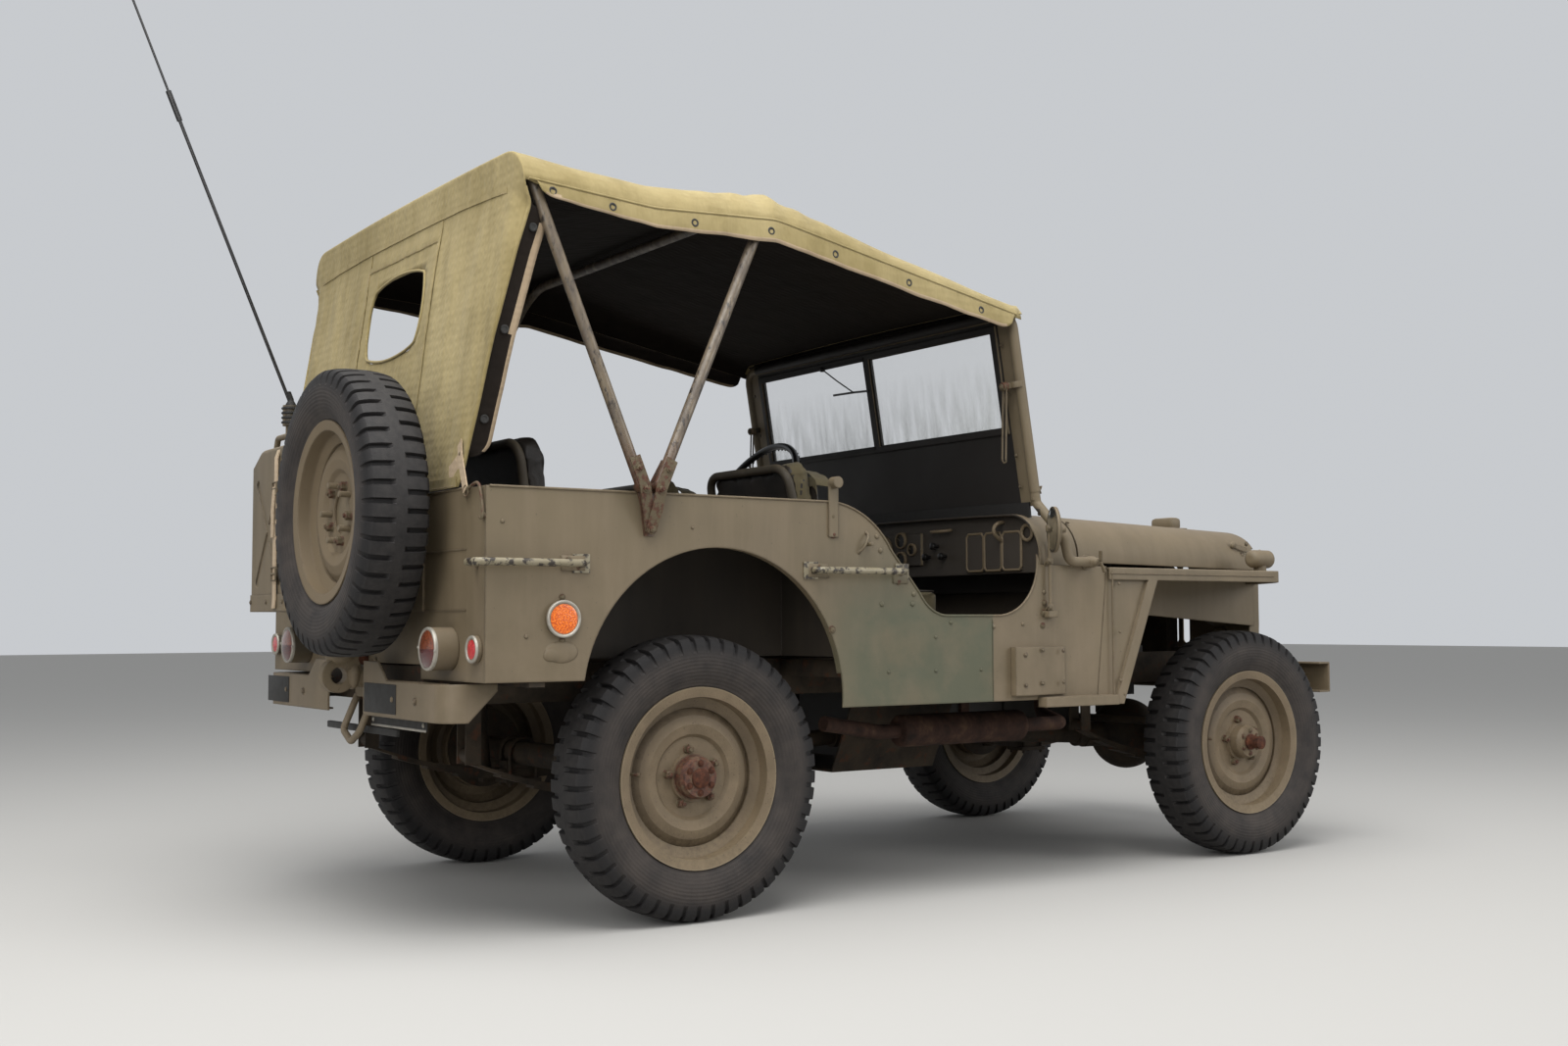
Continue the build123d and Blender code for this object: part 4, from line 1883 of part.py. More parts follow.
grab_handles.part.label = "grab_handles"
export_step(grab_handles.part, "parts/grab_handles.step")


# Tool clip, strap hook, pivot blocks, side box and step strip on each side of the body
CLIP_STATION = -361.0
CLIP_HALF = 15.0
CLIP_HEIGHTS = (948.0, 1088.0)
HOOK_STATION = -470.0
HOOK_Z = 932.0
FITTING_STAND = 26.0
MIRROR_ROD_STATION = -1108.0
MIRROR_FOOT_Z = 760.0
SIDE_BOX_STATIONS = (-1168.0, -1025.0, -968.0)
SIDE_BOX_HEIGHTS = (526.0, 660.0)
SIDE_BOX_DEPTH = 22.0
LID_EDGE = 8.0
STEP_STATIONS = (-1355.0, -1070.0)
STEP_DEPTH = 34.0

with BuildPart() as body_fittings:
    for side, side_name in SIDES:
        face = side * (BODY_HALF_WIDTH + SEAT_GAP)
        # Tool clip at the rear of the doorway, rolled over at its top
        clip_y = aft(CLIP_STATION)
        block((face, face + side * SHEET), (clip_y - CLIP_HALF, clip_y + CLIP_HALF), CLIP_HEIGHTS)
        rod(
            (face, clip_y, CLIP_HEIGHTS[1]),
            (face + side * FITTING_STAND, clip_y, CLIP_HEIGHTS[1]),
            CLIP_HALF,
        )
        # Hook of the safety strap
        rod((face, aft(HOOK_STATION), HOOK_Z), (face + side * FITTING_STAND, aft(HOOK_STATION), HOOK_Z), 5)
        # Windscreen pivot block and the mirror's lower bracket
        pivot_end = side * (SCREEN_PIVOT_X - SCREEN_TUBE + 1 - SEAT_GAP)
        rod((face, SCREEN_PIVOT_Y, SCREEN_PIVOT_Z), (pivot_end, SCREEN_PIVOT_Y, SCREEN_PIVOT_Z), 22)
        block(
            (face, face + side * 22),
            (aft(MIRROR_ROD_STATION) - 20, aft(MIRROR_ROD_STATION) + 14),
            (MIRROR_FOOT_Z - 18, MIRROR_FOOT_Z),
        )
        # Shallow side box, with its lid sloping down to the front
        low, high = SIDE_BOX_HEIGHTS
        lid_front, box_front, box_rear = (aft(station) for station in SIDE_BOX_STATIONS)
        block((face, face + side * SIDE_BOX_DEPTH), (box_front, box_rear), (low, high))
        lid = (
            (face, box_front + 0.5),
            (face + side * SIDE_BOX_DEPTH, box_front + 0.5),
            (face + side * LID_EDGE, lid_front),
            (face, lid_front),
        )
        cut_plate(Plane.XY.offset(low), lid, high - low)
        # Step strip under the cowl
        block(
            (face, face + side * STEP_DEPTH),
            (aft(STEP_STATIONS[0]), aft(STEP_STATIONS[1])),
            (SILL_BOTTOM - 20, SILL_BOTTOM + 8),
        )
body_fittings.part.label = "body_fittings"
export_step(body_fittings.part, "parts/body_fittings.step")


# Mirrors on upright rods beside the cowl
MIRROR_X = BODY_HALF_WIDTH + 45.0
MIRROR_Y = aft(-1090)
MIRROR_Z = 987.0
MIRROR_RADIUS = 63.5
MIRROR_TURN = 30.0
MIRROR_STEM_TOP = 1002.0

with BuildPart() as mirrors:
    for side, side_name in SIDES:
        rod_x = side * (BODY_HALF_WIDTH + 14)
        rod_y = aft(MIRROR_ROD_STATION)
        rod((rod_x, rod_y, MIRROR_FOOT_Z + SEAT_GAP), (rod_x, rod_y, MIRROR_STEM_TOP), 5.5)
        face_plane = Plane(
            origin=(side * MIRROR_X, MIRROR_Y, MIRROR_Z),
            x_dir=(0, 0, 1),
            z_dir=(-side * sin(radians(MIRROR_TURN)), cos(radians(MIRROR_TURN)), 0),
        )
        with BuildSketch(face_plane) as disc:
            Circle(MIRROR_RADIUS)
        extrude(disc.sketch, amount=-9)
        rod((rod_x, rod_y, MIRROR_STEM_TOP - 6), (side * MIRROR_X, MIRROR_Y - 6, MIRROR_Z), 5)
mirrors.part.label = "mirrors"
export_step(mirrors.part, "parts/mirrors.step")


# Bullet lamps on the front wings
WING_LAMP_X = 640.0
WING_LAMP_STATIONS = (FRONT_STATION - 158.0, FRONT_STATION - 118.0, FRONT_STATION - 68.0)
WING_LAMP_RISE = 42.0

with BuildPart() as wing_lamps:
    for side, side_name in SIDES:
        x = side * WING_LAMP_X
        nose_y, stem_y, rear_y = (aft(station) for station in WING_LAMP_STATIONS)
        lamp_foot = WING_TOP + SEAT_GAP
        rod((x, stem_y, lamp_foot), (x, stem_y, lamp_foot + 20), 20)
        rod((x, nose_y, lamp_foot + WING_LAMP_RISE), (x, rear_y, lamp_foot + WING_LAMP_RISE), 29)
    fillet(wing_lamps.edges().filter_by(GeomType.CIRCLE).group_by(Axis.Y)[-1], 20)
    fillet(wing_lamps.edges().filter_by(GeomType.CIRCLE).group_by(Axis.Y)[0], 4)
wing_lamps.part.label = "wing_lamps"
export_step(wing_lamps.part, "parts/wing_lamps.step")


# Radio aerial: bracket and insulator on the left rear corner, two-section rod
AERIAL_FOOT = (684.0, aft(584), BODY_TOP + SEAT_GAP)
AERIAL_BASE = (684.0, aft(584), 1318.0)
INSULATOR_RADIUS = 23.0
INSULATOR_HEIGHT = 60.0
AERIAL_SLEEVE = (738.0, aft(922), 2238.0)
AERIAL_TIP = (784.0, aft(1268), 3118.0)

with BuildPart() as aerial_base:
    rod(AERIAL_FOOT, AERIAL_BASE, 14)
    block(
        (AERIAL_FOOT[0] - 22, AERIAL_FOOT[0] + 22),
        (AERIAL_FOOT[1] - 14, AERIAL_FOOT[1] + 14),
        (AERIAL_FOOT[2], AERIAL_FOOT[2] + 6),
    )
    base = Vector(*AERIAL_BASE)
    rod(tuple(base - Vector(0, 0, 1)), tuple(base + Vector(0, 0, INSULATOR_HEIGHT)), INSULATOR_RADIUS)
aerial_base.part.label = "aerial_base"
export_step(aerial_base.part, "parts/aerial_base.step")

with BuildPart() as aerial_rod:
    whip_foot = (AERIAL_BASE[0], AERIAL_BASE[1], AERIAL_BASE[2] + INSULATOR_HEIGHT + 2.2)
    rod(whip_foot, AERIAL_SLEEVE, 5)
    rod(AERIAL_SLEEVE, AERIAL_TIP, 3.5)
    sleeve_run = (Vector(*AERIAL_TIP) - Vector(*AERIAL_SLEEVE)).normalized() * 45
    rod(tuple(Vector(*AERIAL_SLEEVE) - sleeve_run), tuple(Vector(*AERIAL_SLEEVE) + sleeve_run), 8)
aerial_rod.part.label = "aerial_rod"
export_step(aerial_rod.part, "parts/aerial_rod.step")
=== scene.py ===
"""Looks of the army 4x4 car: materials, soft goods, fittings, lights and camera around its fixed frame."""
import json
import math
import sys

import bmesh
import bpy
from bpy.props import FloatProperty, IntProperty, PointerProperty, StringProperty
from mathutils import Matrix, Vector, noise
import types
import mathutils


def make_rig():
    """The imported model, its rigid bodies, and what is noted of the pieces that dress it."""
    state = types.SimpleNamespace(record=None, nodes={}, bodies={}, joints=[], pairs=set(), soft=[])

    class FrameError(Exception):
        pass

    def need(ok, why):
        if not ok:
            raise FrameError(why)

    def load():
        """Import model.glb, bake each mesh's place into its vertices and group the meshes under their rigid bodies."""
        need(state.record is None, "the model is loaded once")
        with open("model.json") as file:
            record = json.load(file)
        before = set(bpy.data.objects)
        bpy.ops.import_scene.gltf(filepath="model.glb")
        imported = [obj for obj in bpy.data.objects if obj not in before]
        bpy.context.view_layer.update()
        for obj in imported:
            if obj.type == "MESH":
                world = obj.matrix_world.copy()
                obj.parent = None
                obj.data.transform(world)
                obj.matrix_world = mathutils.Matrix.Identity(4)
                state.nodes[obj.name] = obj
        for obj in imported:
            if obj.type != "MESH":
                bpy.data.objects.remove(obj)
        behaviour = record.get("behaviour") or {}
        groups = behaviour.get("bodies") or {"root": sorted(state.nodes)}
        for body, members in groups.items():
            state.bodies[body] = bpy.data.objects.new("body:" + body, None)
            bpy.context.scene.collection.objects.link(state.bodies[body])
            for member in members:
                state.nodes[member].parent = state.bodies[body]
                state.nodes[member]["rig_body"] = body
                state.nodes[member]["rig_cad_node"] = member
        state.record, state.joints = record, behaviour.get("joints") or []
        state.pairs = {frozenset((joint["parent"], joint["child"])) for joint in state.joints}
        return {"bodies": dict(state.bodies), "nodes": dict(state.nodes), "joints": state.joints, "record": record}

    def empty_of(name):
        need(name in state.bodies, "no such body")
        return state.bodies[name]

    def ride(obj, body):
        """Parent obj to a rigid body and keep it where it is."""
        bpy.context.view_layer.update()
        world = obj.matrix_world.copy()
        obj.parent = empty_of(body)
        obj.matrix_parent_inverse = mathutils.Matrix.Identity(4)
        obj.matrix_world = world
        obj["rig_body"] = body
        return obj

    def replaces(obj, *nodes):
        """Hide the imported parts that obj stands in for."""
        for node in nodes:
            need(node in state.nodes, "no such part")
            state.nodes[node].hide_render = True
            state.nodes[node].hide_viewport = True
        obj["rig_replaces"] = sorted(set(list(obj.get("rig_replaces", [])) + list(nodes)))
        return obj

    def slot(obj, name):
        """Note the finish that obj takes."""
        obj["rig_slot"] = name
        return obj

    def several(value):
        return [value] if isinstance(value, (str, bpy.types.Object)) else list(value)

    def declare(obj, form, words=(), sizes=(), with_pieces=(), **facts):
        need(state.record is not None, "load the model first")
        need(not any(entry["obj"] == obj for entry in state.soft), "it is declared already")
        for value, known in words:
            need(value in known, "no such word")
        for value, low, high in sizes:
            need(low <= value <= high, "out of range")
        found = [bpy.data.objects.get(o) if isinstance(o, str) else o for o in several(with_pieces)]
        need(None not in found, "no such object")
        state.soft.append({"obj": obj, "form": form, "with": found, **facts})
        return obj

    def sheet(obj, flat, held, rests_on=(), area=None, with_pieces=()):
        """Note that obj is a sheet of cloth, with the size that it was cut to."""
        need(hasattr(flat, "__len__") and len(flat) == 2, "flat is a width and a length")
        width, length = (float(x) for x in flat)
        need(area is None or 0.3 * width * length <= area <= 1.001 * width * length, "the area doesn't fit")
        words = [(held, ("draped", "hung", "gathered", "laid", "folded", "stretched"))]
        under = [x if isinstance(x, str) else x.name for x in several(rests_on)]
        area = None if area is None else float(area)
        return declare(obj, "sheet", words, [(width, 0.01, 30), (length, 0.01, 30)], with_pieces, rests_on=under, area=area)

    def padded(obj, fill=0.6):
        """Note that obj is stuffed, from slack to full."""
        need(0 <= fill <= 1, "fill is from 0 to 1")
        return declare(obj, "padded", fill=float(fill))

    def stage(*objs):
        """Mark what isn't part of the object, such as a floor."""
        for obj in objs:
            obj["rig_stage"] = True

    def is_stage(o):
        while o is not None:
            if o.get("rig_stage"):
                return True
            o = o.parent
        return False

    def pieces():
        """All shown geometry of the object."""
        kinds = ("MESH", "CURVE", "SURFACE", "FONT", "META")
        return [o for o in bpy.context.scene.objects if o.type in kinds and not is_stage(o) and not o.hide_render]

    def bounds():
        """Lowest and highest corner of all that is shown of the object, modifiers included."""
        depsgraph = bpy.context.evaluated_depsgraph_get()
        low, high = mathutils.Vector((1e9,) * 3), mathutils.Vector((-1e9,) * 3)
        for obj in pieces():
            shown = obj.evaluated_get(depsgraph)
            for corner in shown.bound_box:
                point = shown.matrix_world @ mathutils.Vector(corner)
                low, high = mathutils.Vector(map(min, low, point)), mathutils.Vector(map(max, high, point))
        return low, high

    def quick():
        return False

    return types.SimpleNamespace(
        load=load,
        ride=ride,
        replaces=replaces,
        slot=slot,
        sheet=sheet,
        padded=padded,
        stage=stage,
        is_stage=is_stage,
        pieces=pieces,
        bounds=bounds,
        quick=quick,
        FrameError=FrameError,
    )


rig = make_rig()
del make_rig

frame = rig.load()
cad_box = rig.bounds()

bl_info = {
    "name": "Army 4x4 car looks",
    "version": (1, 0, 0),
    "blender": (4, 5, 0),
    "location": "3D View > Sidebar > Army Car",
    "description": "Finishes, canvas, cushions, tyres and small fittings of an army 4x4 car",
    "category": "Object",
}

# The car's own lines, in millimetres; stations count aft from the rear axle
REAR_AXLE = 625.0
FRONT_STATION = -2032.0
HUB = 350.0
HALF_TRACK = 622.5
BODY_SIDE = 745.3
DISC_FACE = 17.0
HUB_FACE = 62.0
BOLT_CIRCLE = 69.8
SPARE = Vector((-247.0, REAR_AXLE + 738, 1000.0))
STEERING_AXIS = Vector((0, 0.857, 0.5152))
WHEELS = (
    ("rear_right", -1, 0.0, 0.0),
    ("rear_left", 1, 0.0, 0.0),
    ("front_right", -1, FRONT_STATION, 44.0),
    ("front_left", 1, FRONT_STATION, 44.0),
)
SIDES = (-1, 1)

# What each finish is called
OLIVE = "faded olive drab on pressed steel"
SCUTTLE = "olive drab, painted shade towards the seats"
INSIDE = "unbleached olive drab with painted shade"
UNDERBODY = "road-grimed olive drab with painted shade under the body"
WHEEL_ENAMEL = "dusty khaki wheel enamel"
CHASSIS = "chassis black under road dirt"
RUST = "rusted forged steel"
EXHAUST = "baked brown exhaust steel"
RUSTING = "olive paint breaking to rust"
TUBE = "hand-worn painted steel tube"
PRIMER = "chipped pale primer on steel"
CANVAS = "sun-faded cotton duck canvas"
LINING = "canvas inside, in painted shade"
WEBBING = "bleached cotton webbing"
SEAT_CANVAS = "khaki seat canvas"
SEAT_CLOTH = "black coated seat cloth"
RUBBER = "weathered tyre rubber"
IRON = "oily grey cast iron"
BLACK_ENAMEL = "black gloss enamel"
PLATE_PAINT = "matt black plate paint"
MOULDING = "black rubber moulding"
ALUMINIUM = "pale aluminium edge"
GLASS = "window glass with dried streaks"
AXLE_ENAMELS = {0.0: "dusty wheel enamel, rear axle", FRONT_STATION: "dusty wheel enamel, front axle"}
materials = {}


def at(x, station, z):
    """Point in millimetres of the model's frame."""
    return Vector((x, REAR_AXLE + station, z))


def around(axis, radius, share):
    """Offset to a place on a circle about an axis; share counts from 0 to 1 round it."""
    across = Vector(axis).orthogonal().normalized()
    turn = share * math.tau
    return (across * math.cos(turn) + Vector(axis).cross(across) * math.sin(turn)) * radius


def linear(colour):
    """An sRGB hex value as linear light with full alpha; any other value as it is."""
    if not isinstance(colour, str):
        return colour
    levels = [int(colour[i : i + 2], 16) / 255 for i in (1, 3, 5)]
    return tuple(v / 12.92 if v <= 0.04045 else ((v + 0.055) / 1.055) ** 2.4 for v in levels) + (1.0,)


class Finish:
    """A new material with one surface shader, and the masks and coats that its look is built from."""

    def __init__(self, name, roughness, metallic=0.0, **sockets):
        material = materials[name] = bpy.data.materials.new(name)
        material.use_nodes = True
        self.tree = material.node_tree
        self.tree.nodes.clear()
        values = {key.replace("_", " "): value for key, value in sockets.items()}
        values.update({"Roughness": roughness, "Metallic": metallic})
        surface = self.node("BsdfPrincipled", values)
        self.shader = surface.node
        self.node("OutputMaterial", {"Surface": surface}, out=None)
        self.coords = self.node("TexCoord", out="Object")

    def node(self, kind, inputs=None, out=0, stops=None, **settings):
        """Add a shader node with its settings, its inputs as values or sockets to link, and its colour stops;
        gives back the named output."""
        made = self.tree.nodes.new("ShaderNode" + kind)
        for name, value in settings.items():
            setattr(made, name, value)
        for socket, value in (inputs or {}).items():
            if isinstance(value, bpy.types.NodeSocket):
                self.tree.links.new(value, made.inputs[socket])
            else:
                made.inputs[socket].default_value = linear(value)
        if stops:
            ramp = made.color_ramp.elements
            ramp[1].position = 1.0
            for place, colour in stops[1:-1]:
                ramp.new(place).color = linear(colour)
            for end in (0, -1):
                last = ramp[end % len(ramp)]
                last.position, last.color = stops[end][0], linear(stops[end][1])
        return None if out is None else made.outputs[out]

    def feed(self, socket, source):
        """Drive one of the shader's inputs."""
        self.tree.links.new(source, self.shader.inputs[socket])

    def product(self, first, *masks):
        """All the masks and strengths multiplied."""
        for mask in masks:
            first = self.node("Math", {0: first, 1: mask}, operation="MULTIPLY")
        return first

    def coat(self, under, over, *masks):
        """Lay one colour over another where all the masks let it show."""
        return self.node("Mix", {0: self.product(*masks), 6: under, 7: over}, out=2, data_type="RGBA")

    def paint(self, colour, *layers):
        """Lay layers on a ground colour, each a colour and its masks, and show the result; gives it back."""
        for over, *masks in layers:
            colour = self.coat(colour, over, *masks)
        self.feed("Base Color", colour)
        return colour

    def patches(self, size, level, edge, stretch=(1, 1, 1), detail=5.0):
        """Mask of uneven patches about this many millimetres across: 1 above the level, over a soft edge."""
        place = self.node("Mapping", {0: self.coords, "Scale": stretch})
        grain = {"Vector": place, "Scale": 1000 / size, "Detail": detail, "Roughness": 0.62}
        return self.node("MapRange", {0: self.node("TexNoise", grain), 1: level - edge, 2: level + edge})

    def along(self, vector, axis, low, high, start=0.0, end=1.0):
        """Mask that runs from a start to an end value between two places on a vector's axis."""
        part = self.node("SeparateXYZ", {0: vector}, out=axis)
        return self.node("MapRange", {0: part, 1: low, 2: high, 3: start, 4: end})

    def below(self, low, high):
        """Mask that falls from 1 at the first height to 0 at the second, in metres."""
        return self.along(self.coords, "Z", low, high, 1.0, 0.0)

    def facing_up(self):
        """Mask of faces that look upwards, where dust settles."""
        return self.along(self.node("NewGeometry", out="Normal"), "Z", 0.35, 0.95)

    def worn_edges(self, reach):
        """Mask of edges within this many millimetres: where the true and a rounded normal differ."""
        rounded = self.node("Bevel", {"Radius": reach / 1000}, samples=3)
        true = self.node("NewGeometry", out="Normal")
        match = self.node("VectorMath", {0: rounded, 1: true}, out="Value", operation="DOT_PRODUCT")
        return self.node("MapRange", {0: match, 1: 0.995, 2: 0.9})

    def relief(self, heights, depth, rounding=0.0):
        """Raise a height pattern this many millimetres deep, over edges rounded by a radius."""
        inputs = {"Strength": 1.0, "Distance": depth / 1000, "Height": heights}
        if rounding:
            inputs["Normal"] = self.node("Bevel", {"Radius": rounding / 1000}, samples=4)
        self.feed("Normal", self.node("Bump", inputs))


def olive_paint(name, shade, faded, dust, edge_wear, roughness=0.58):
    """Sprayed matt olive drab on pressed steel: sun-bleached clouds, rain streaks, dust low down and on
    ledges, bare dark primer and a little rust where edges are knocked."""
    mat = Finish(name, roughness, Specular_IOR_Level=0.42)
    cloudy = mat.patches(420, 0.5, 0.22)
    colour = mat.paint(
        shade,
        (faded, cloudy),
        (dust, mat.patches(55, 0.56, 0.12, stretch=(1, 1, 0.12)), 0.28),
        (dust, mat.below(0.42, 0.98), mat.patches(90, 0.47, 0.16), 0.5),
        (dust, mat.facing_up(), 0.35),
        ("#2e2a22", mat.patches(7, 0.735, 0.02, detail=2.0), 0.7),
        ("#4a3a2b", mat.worn_edges(3.0), mat.patches(26, 0.5, 0.07), edge_wear),
    )
    mat.feed("Roughness", mat.node("MapRange", {0: cloudy, 3: roughness - 0.08, 4: roughness + 0.1}))
    # Spray texture of about 2 mm over slow dents of a hand's width
    spray = mat.node("TexNoise", {"Vector": mat.coords, "Scale": 420.0, "Detail": 2.0})
    dents = mat.node("TexNoise", {"Vector": mat.coords, "Scale": 7.0, "Detail": 1.0})
    mat.relief(mat.node("Math", {0: mat.product(spray, 0.03), 1: dents}, operation="ADD"), 4.0, rounding=7.0)
    return mat, colour


def body_paint(colours):
    """The outside paint, with the greener touched-up panel behind the right doorway."""
    mat, colour = olive_paint(OLIVE, colours.paint_shade, colours.paint_faded, colours.dust, 0.75)
    panel = (
        mat.along(mat.coords, "Y", 0.36, 0.16), mat.along(mat.coords, "Y", -0.281, -0.277),
        mat.along(mat.coords, "X", -0.70, -0.73), mat.along(mat.coords, "Z", 0.98, 0.74),
    )
    # Inner faces of the side panels take a darker, browner coat: painted shade inside the body
    normal = mat.node("NewGeometry", out="Normal")
    outward = mat.product(*(mat.node("SeparateXYZ", {0: vector}, out="X") for vector in (normal, mat.coords)))
    inward = mat.node("MapRange", {0: outward, 1: -0.2, 2: -0.4})
    mat.paint(colour, ("#434938", *panel, mat.patches(160, 0.36, 0.24), 0.8), ("#332d22", inward, 0.9))


def screen_and_scuttle_paint(colours):
    """The outside paint on the posts and the scuttle's top, with painted shade in brown-black on all that faces the
    seats.
    """
    mat, colour = olive_paint(SCUTTLE, colours.paint_shade, colours.paint_faded, colours.dust, 0.75)
    rearward = mat.along(mat.node("NewGeometry", out="Normal"), "Y", 0.3, 0.5)
    # Half width of the painted shade: the whole dash, but only between the posts above it
    reach = mat.along(mat.coords, "Z", 1.05, 1.07, 0.705, 0.622)
    across = mat.node("Math", {0: mat.node("SeparateXYZ", {0: mat.coords}, out="X")}, operation="ABSOLUTE")
    within = mat.node("Math", {0: across, 1: reach}, operation="LESS_THAN")
    # Painted shade: near black on the frame above the dash, dark brown on the dash
    dark = mat.coat("#1c1815", "#332d26", mat.below(1.05, 1.07))
    mat.paint(colour, (dark, rearward, within))


def shaded_paint():
    """Paint inside the body, unbleached and darkened with painted shade, dusty on the floor."""
    # Painted shade: inside and under the body the coat is drawn far darker than the paint, under the body over road
    # grime
    olive_paint(INSIDE, "#332d22", "#3d3529", "#5b5140", 0.35, 0.62)
    olive_paint(UNDERBODY, "#1f1a14", "#2a231b", "#3a3125", 0.2, 0.72)
    olive_paint(WHEEL_ENAMEL, "#5a4e3b", "#6b5d48", "#66573f", 0.6, 0.66)


def chassis_coat():
    """Brushed chassis black under a film of dry road dirt."""
    mat = Finish(CHASSIS, 0.78, Specular_IOR_Level=0.3)
    mat.paint(
        "#191612",
        ("#3b3125", mat.patches(70, 0.44, 0.2)),
        ("#4b3f2f", mat.facing_up(), 0.6),
        ("#4a2a18", mat.patches(34, 0.62, 0.05), 0.7),
    )
    mat.relief(mat.patches(9, 0.5, 0.4), 0.8)


def rusted_metals():
    """Forged and rolled steel gone brown: coarse orange-brown bloom over dark scale."""
    for name, dark, mid, bright, size in (
        (RUST, "#22150f", "#47291c", "#6b3f2a", 16),
        (EXHAUST, "#1f1612", "#3a2820", "#54402f", 60),
    ):
        mat = Finish(name, 0.85, Specular_IOR_Level=0.25)
        grain = {"Vector": mat.coords, "Scale": 1000 / size, "Detail": 8.0, "Roughness": 0.7}
        bloom = mat.node("TexNoise", grain)
        shades = mat.node("ValToRGB", {0: bloom}, stops=((0.3, dark), (0.52, mid), (0.72, bright)))
        mat.feed("Base Color", shades)
        mat.relief(bloom, 1.2)
    # Half-painted steel bolts and brackets: olive film broken by rust
    mat = Finish(RUSTING, 0.7, Specular_IOR_Level=0.35)
    film = mat.patches(14, 0.52, 0.06)
    mat.paint("#574d3a", (mat.coat("#33211a", "#5c3a29", mat.patches(5, 0.5, 0.2)), film))
    mat.relief(film, 0.4)


def handled_steel():
    """Tubes rubbed by hands and canvas: olive film worn to grey-brown steel in long smears."""
    mat = Finish(TUBE, 0.42, Specular_IOR_Level=0.5)
    smears = mat.patches(28, 0.5, 0.09, stretch=(1, 1, 0.25))
    bare = mat.patches(11, 0.6, 0.05, stretch=(1, 1, 0.4))
    # Feet of the bows: brown rust up to a hand above the body's edge
    rust = mat.coat("#36241b", "#5a3c2c", mat.patches(8, 0.5, 0.2))
    foot = (rust, mat.below(1.07, 1.19), mat.patches(24, 0.36, 0.16))
    mat.paint("#685c4b", ("#50463b", smears), ("#2c2621", bare), foot)
    mat.feed("Roughness", mat.node("MapRange", {0: smears, 3: 0.36, 4: 0.55}))
    mat.relief(bare, 0.25)
    # Grab handles: pale old primer with chips down to dark steel
    mat = Finish(PRIMER, 0.45, Specular_IOR_Level=0.5)
    chips = mat.patches(17, 0.54, 0.035)
    mat.paint("#847c68", ("#6d644d", mat.patches(60, 0.5, 0.2)), ("#2b241d", chips))
    mat.relief(chips, 0.3)


def cloth(name, warp, faded, stain, thread, sun=0.5, nap=0.06):
    """Woven cotton: crossed threads of the given spacing, drawn coarse enough to show, bleached in clouds."""
    mat = Finish(name, 0.9, Specular_IOR_Level=0.2, Sheen_Weight=nap, Sheen_Roughness=0.6)
    mat.paint(
        warp,
        (faded, mat.patches(330, 0.5, 0.2, stretch=(1, 1, 0.5)), sun),
        (stain, mat.patches(120, 0.6, 0.1, stretch=(1, 1, 0.3)), 0.45),
        (faded, mat.patches(38, 0.54, 0.14, stretch=(1, 0.5, 0.12)), sun * 0.4),
        (stain, mat.patches(6, 0.5, 0.3, stretch=(1, 1, 0.18)), 0.22),
    )
    threads = {"Vector": mat.coords, "Scale": 1000 / thread / 20, "Distortion": 0.6, "Detail": 1.0}
    weave = mat.product(*(mat.node("TexWave", threads, out="Fac", bands_direction=way) for way in ("X", "Z")))
    # Soft creases about a hand apart under the weave
    creases = mat.node("TexNoise", {"Vector": mat.coords, "Scale": 11.0, "Detail": 3.0, "Roughness": 0.55})
    mat.relief(mat.node("Math", {0: mat.product(creases, 14.0), 1: weave}, operation="ADD"), 0.5)


def textiles(colours):
    """Canvas of the top, its inside in painted shade, the webbing straps and the seat covers."""
    cloth(CANVAS, colours.canvas_shade, colours.canvas_faded, "#62552f", 3.5, 0.75)
    # Painted shade: the canvas's inner side is drawn near-black brown
    cloth(LINING, "#1d1712", "#261e17", "#130f0b", 3.5, 0.4, nap=0.0)
    cloth(WEBBING, "#a08c72", "#b7a48a", "#6d5c48", 2.5)
    cloth(SEAT_CANVAS, "#4c4430", "#5f563e", "#302a1e", 3.0)
    mat = Finish(SEAT_CLOTH, 0.5, Specular_IOR_Level=0.35)
    mat.paint("#17130f", ("#2a241e", mat.patches(110, 0.52, 0.18)))
    mat.relief(mat.node("TexVoronoi", {"Vector": mat.coords, "Scale": 420.0}, out="Distance"), 0.35)


def tyre_rubber():
    """Vulcanised black rubber: brown-grey bloom on the walls, scuffed lighter on the lug faces."""
    mat = Finish(RUBBER, 0.72, Specular_IOR_Level=0.35)
    radial = mat.node("Attribute", out="Fac", attribute_name="from_axle")
    wall = mat.node("MapRange", {0: radial, 1: 0.322, 2: 0.29})
    crown = mat.node("MapRange", {0: radial, 1: 0.338, 2: 0.348})
    mat.paint(
        "#161414",
        ("#3f3833", wall, mat.patches(60, 0.42, 0.25), 0.75),
        ("#302d2b", crown, mat.patches(18, 0.45, 0.2), 0.65),
    )
    rings = mat.node("Math", {0: mat.product(radial, 700.0)}, operation="SINE")
    scuffs = mat.patches(4, 0.5, 0.4)
    mat.relief(mat.node("Math", {0: mat.product(rings, wall, 0.5), 1: scuffs}, operation="ADD"), 0.5)


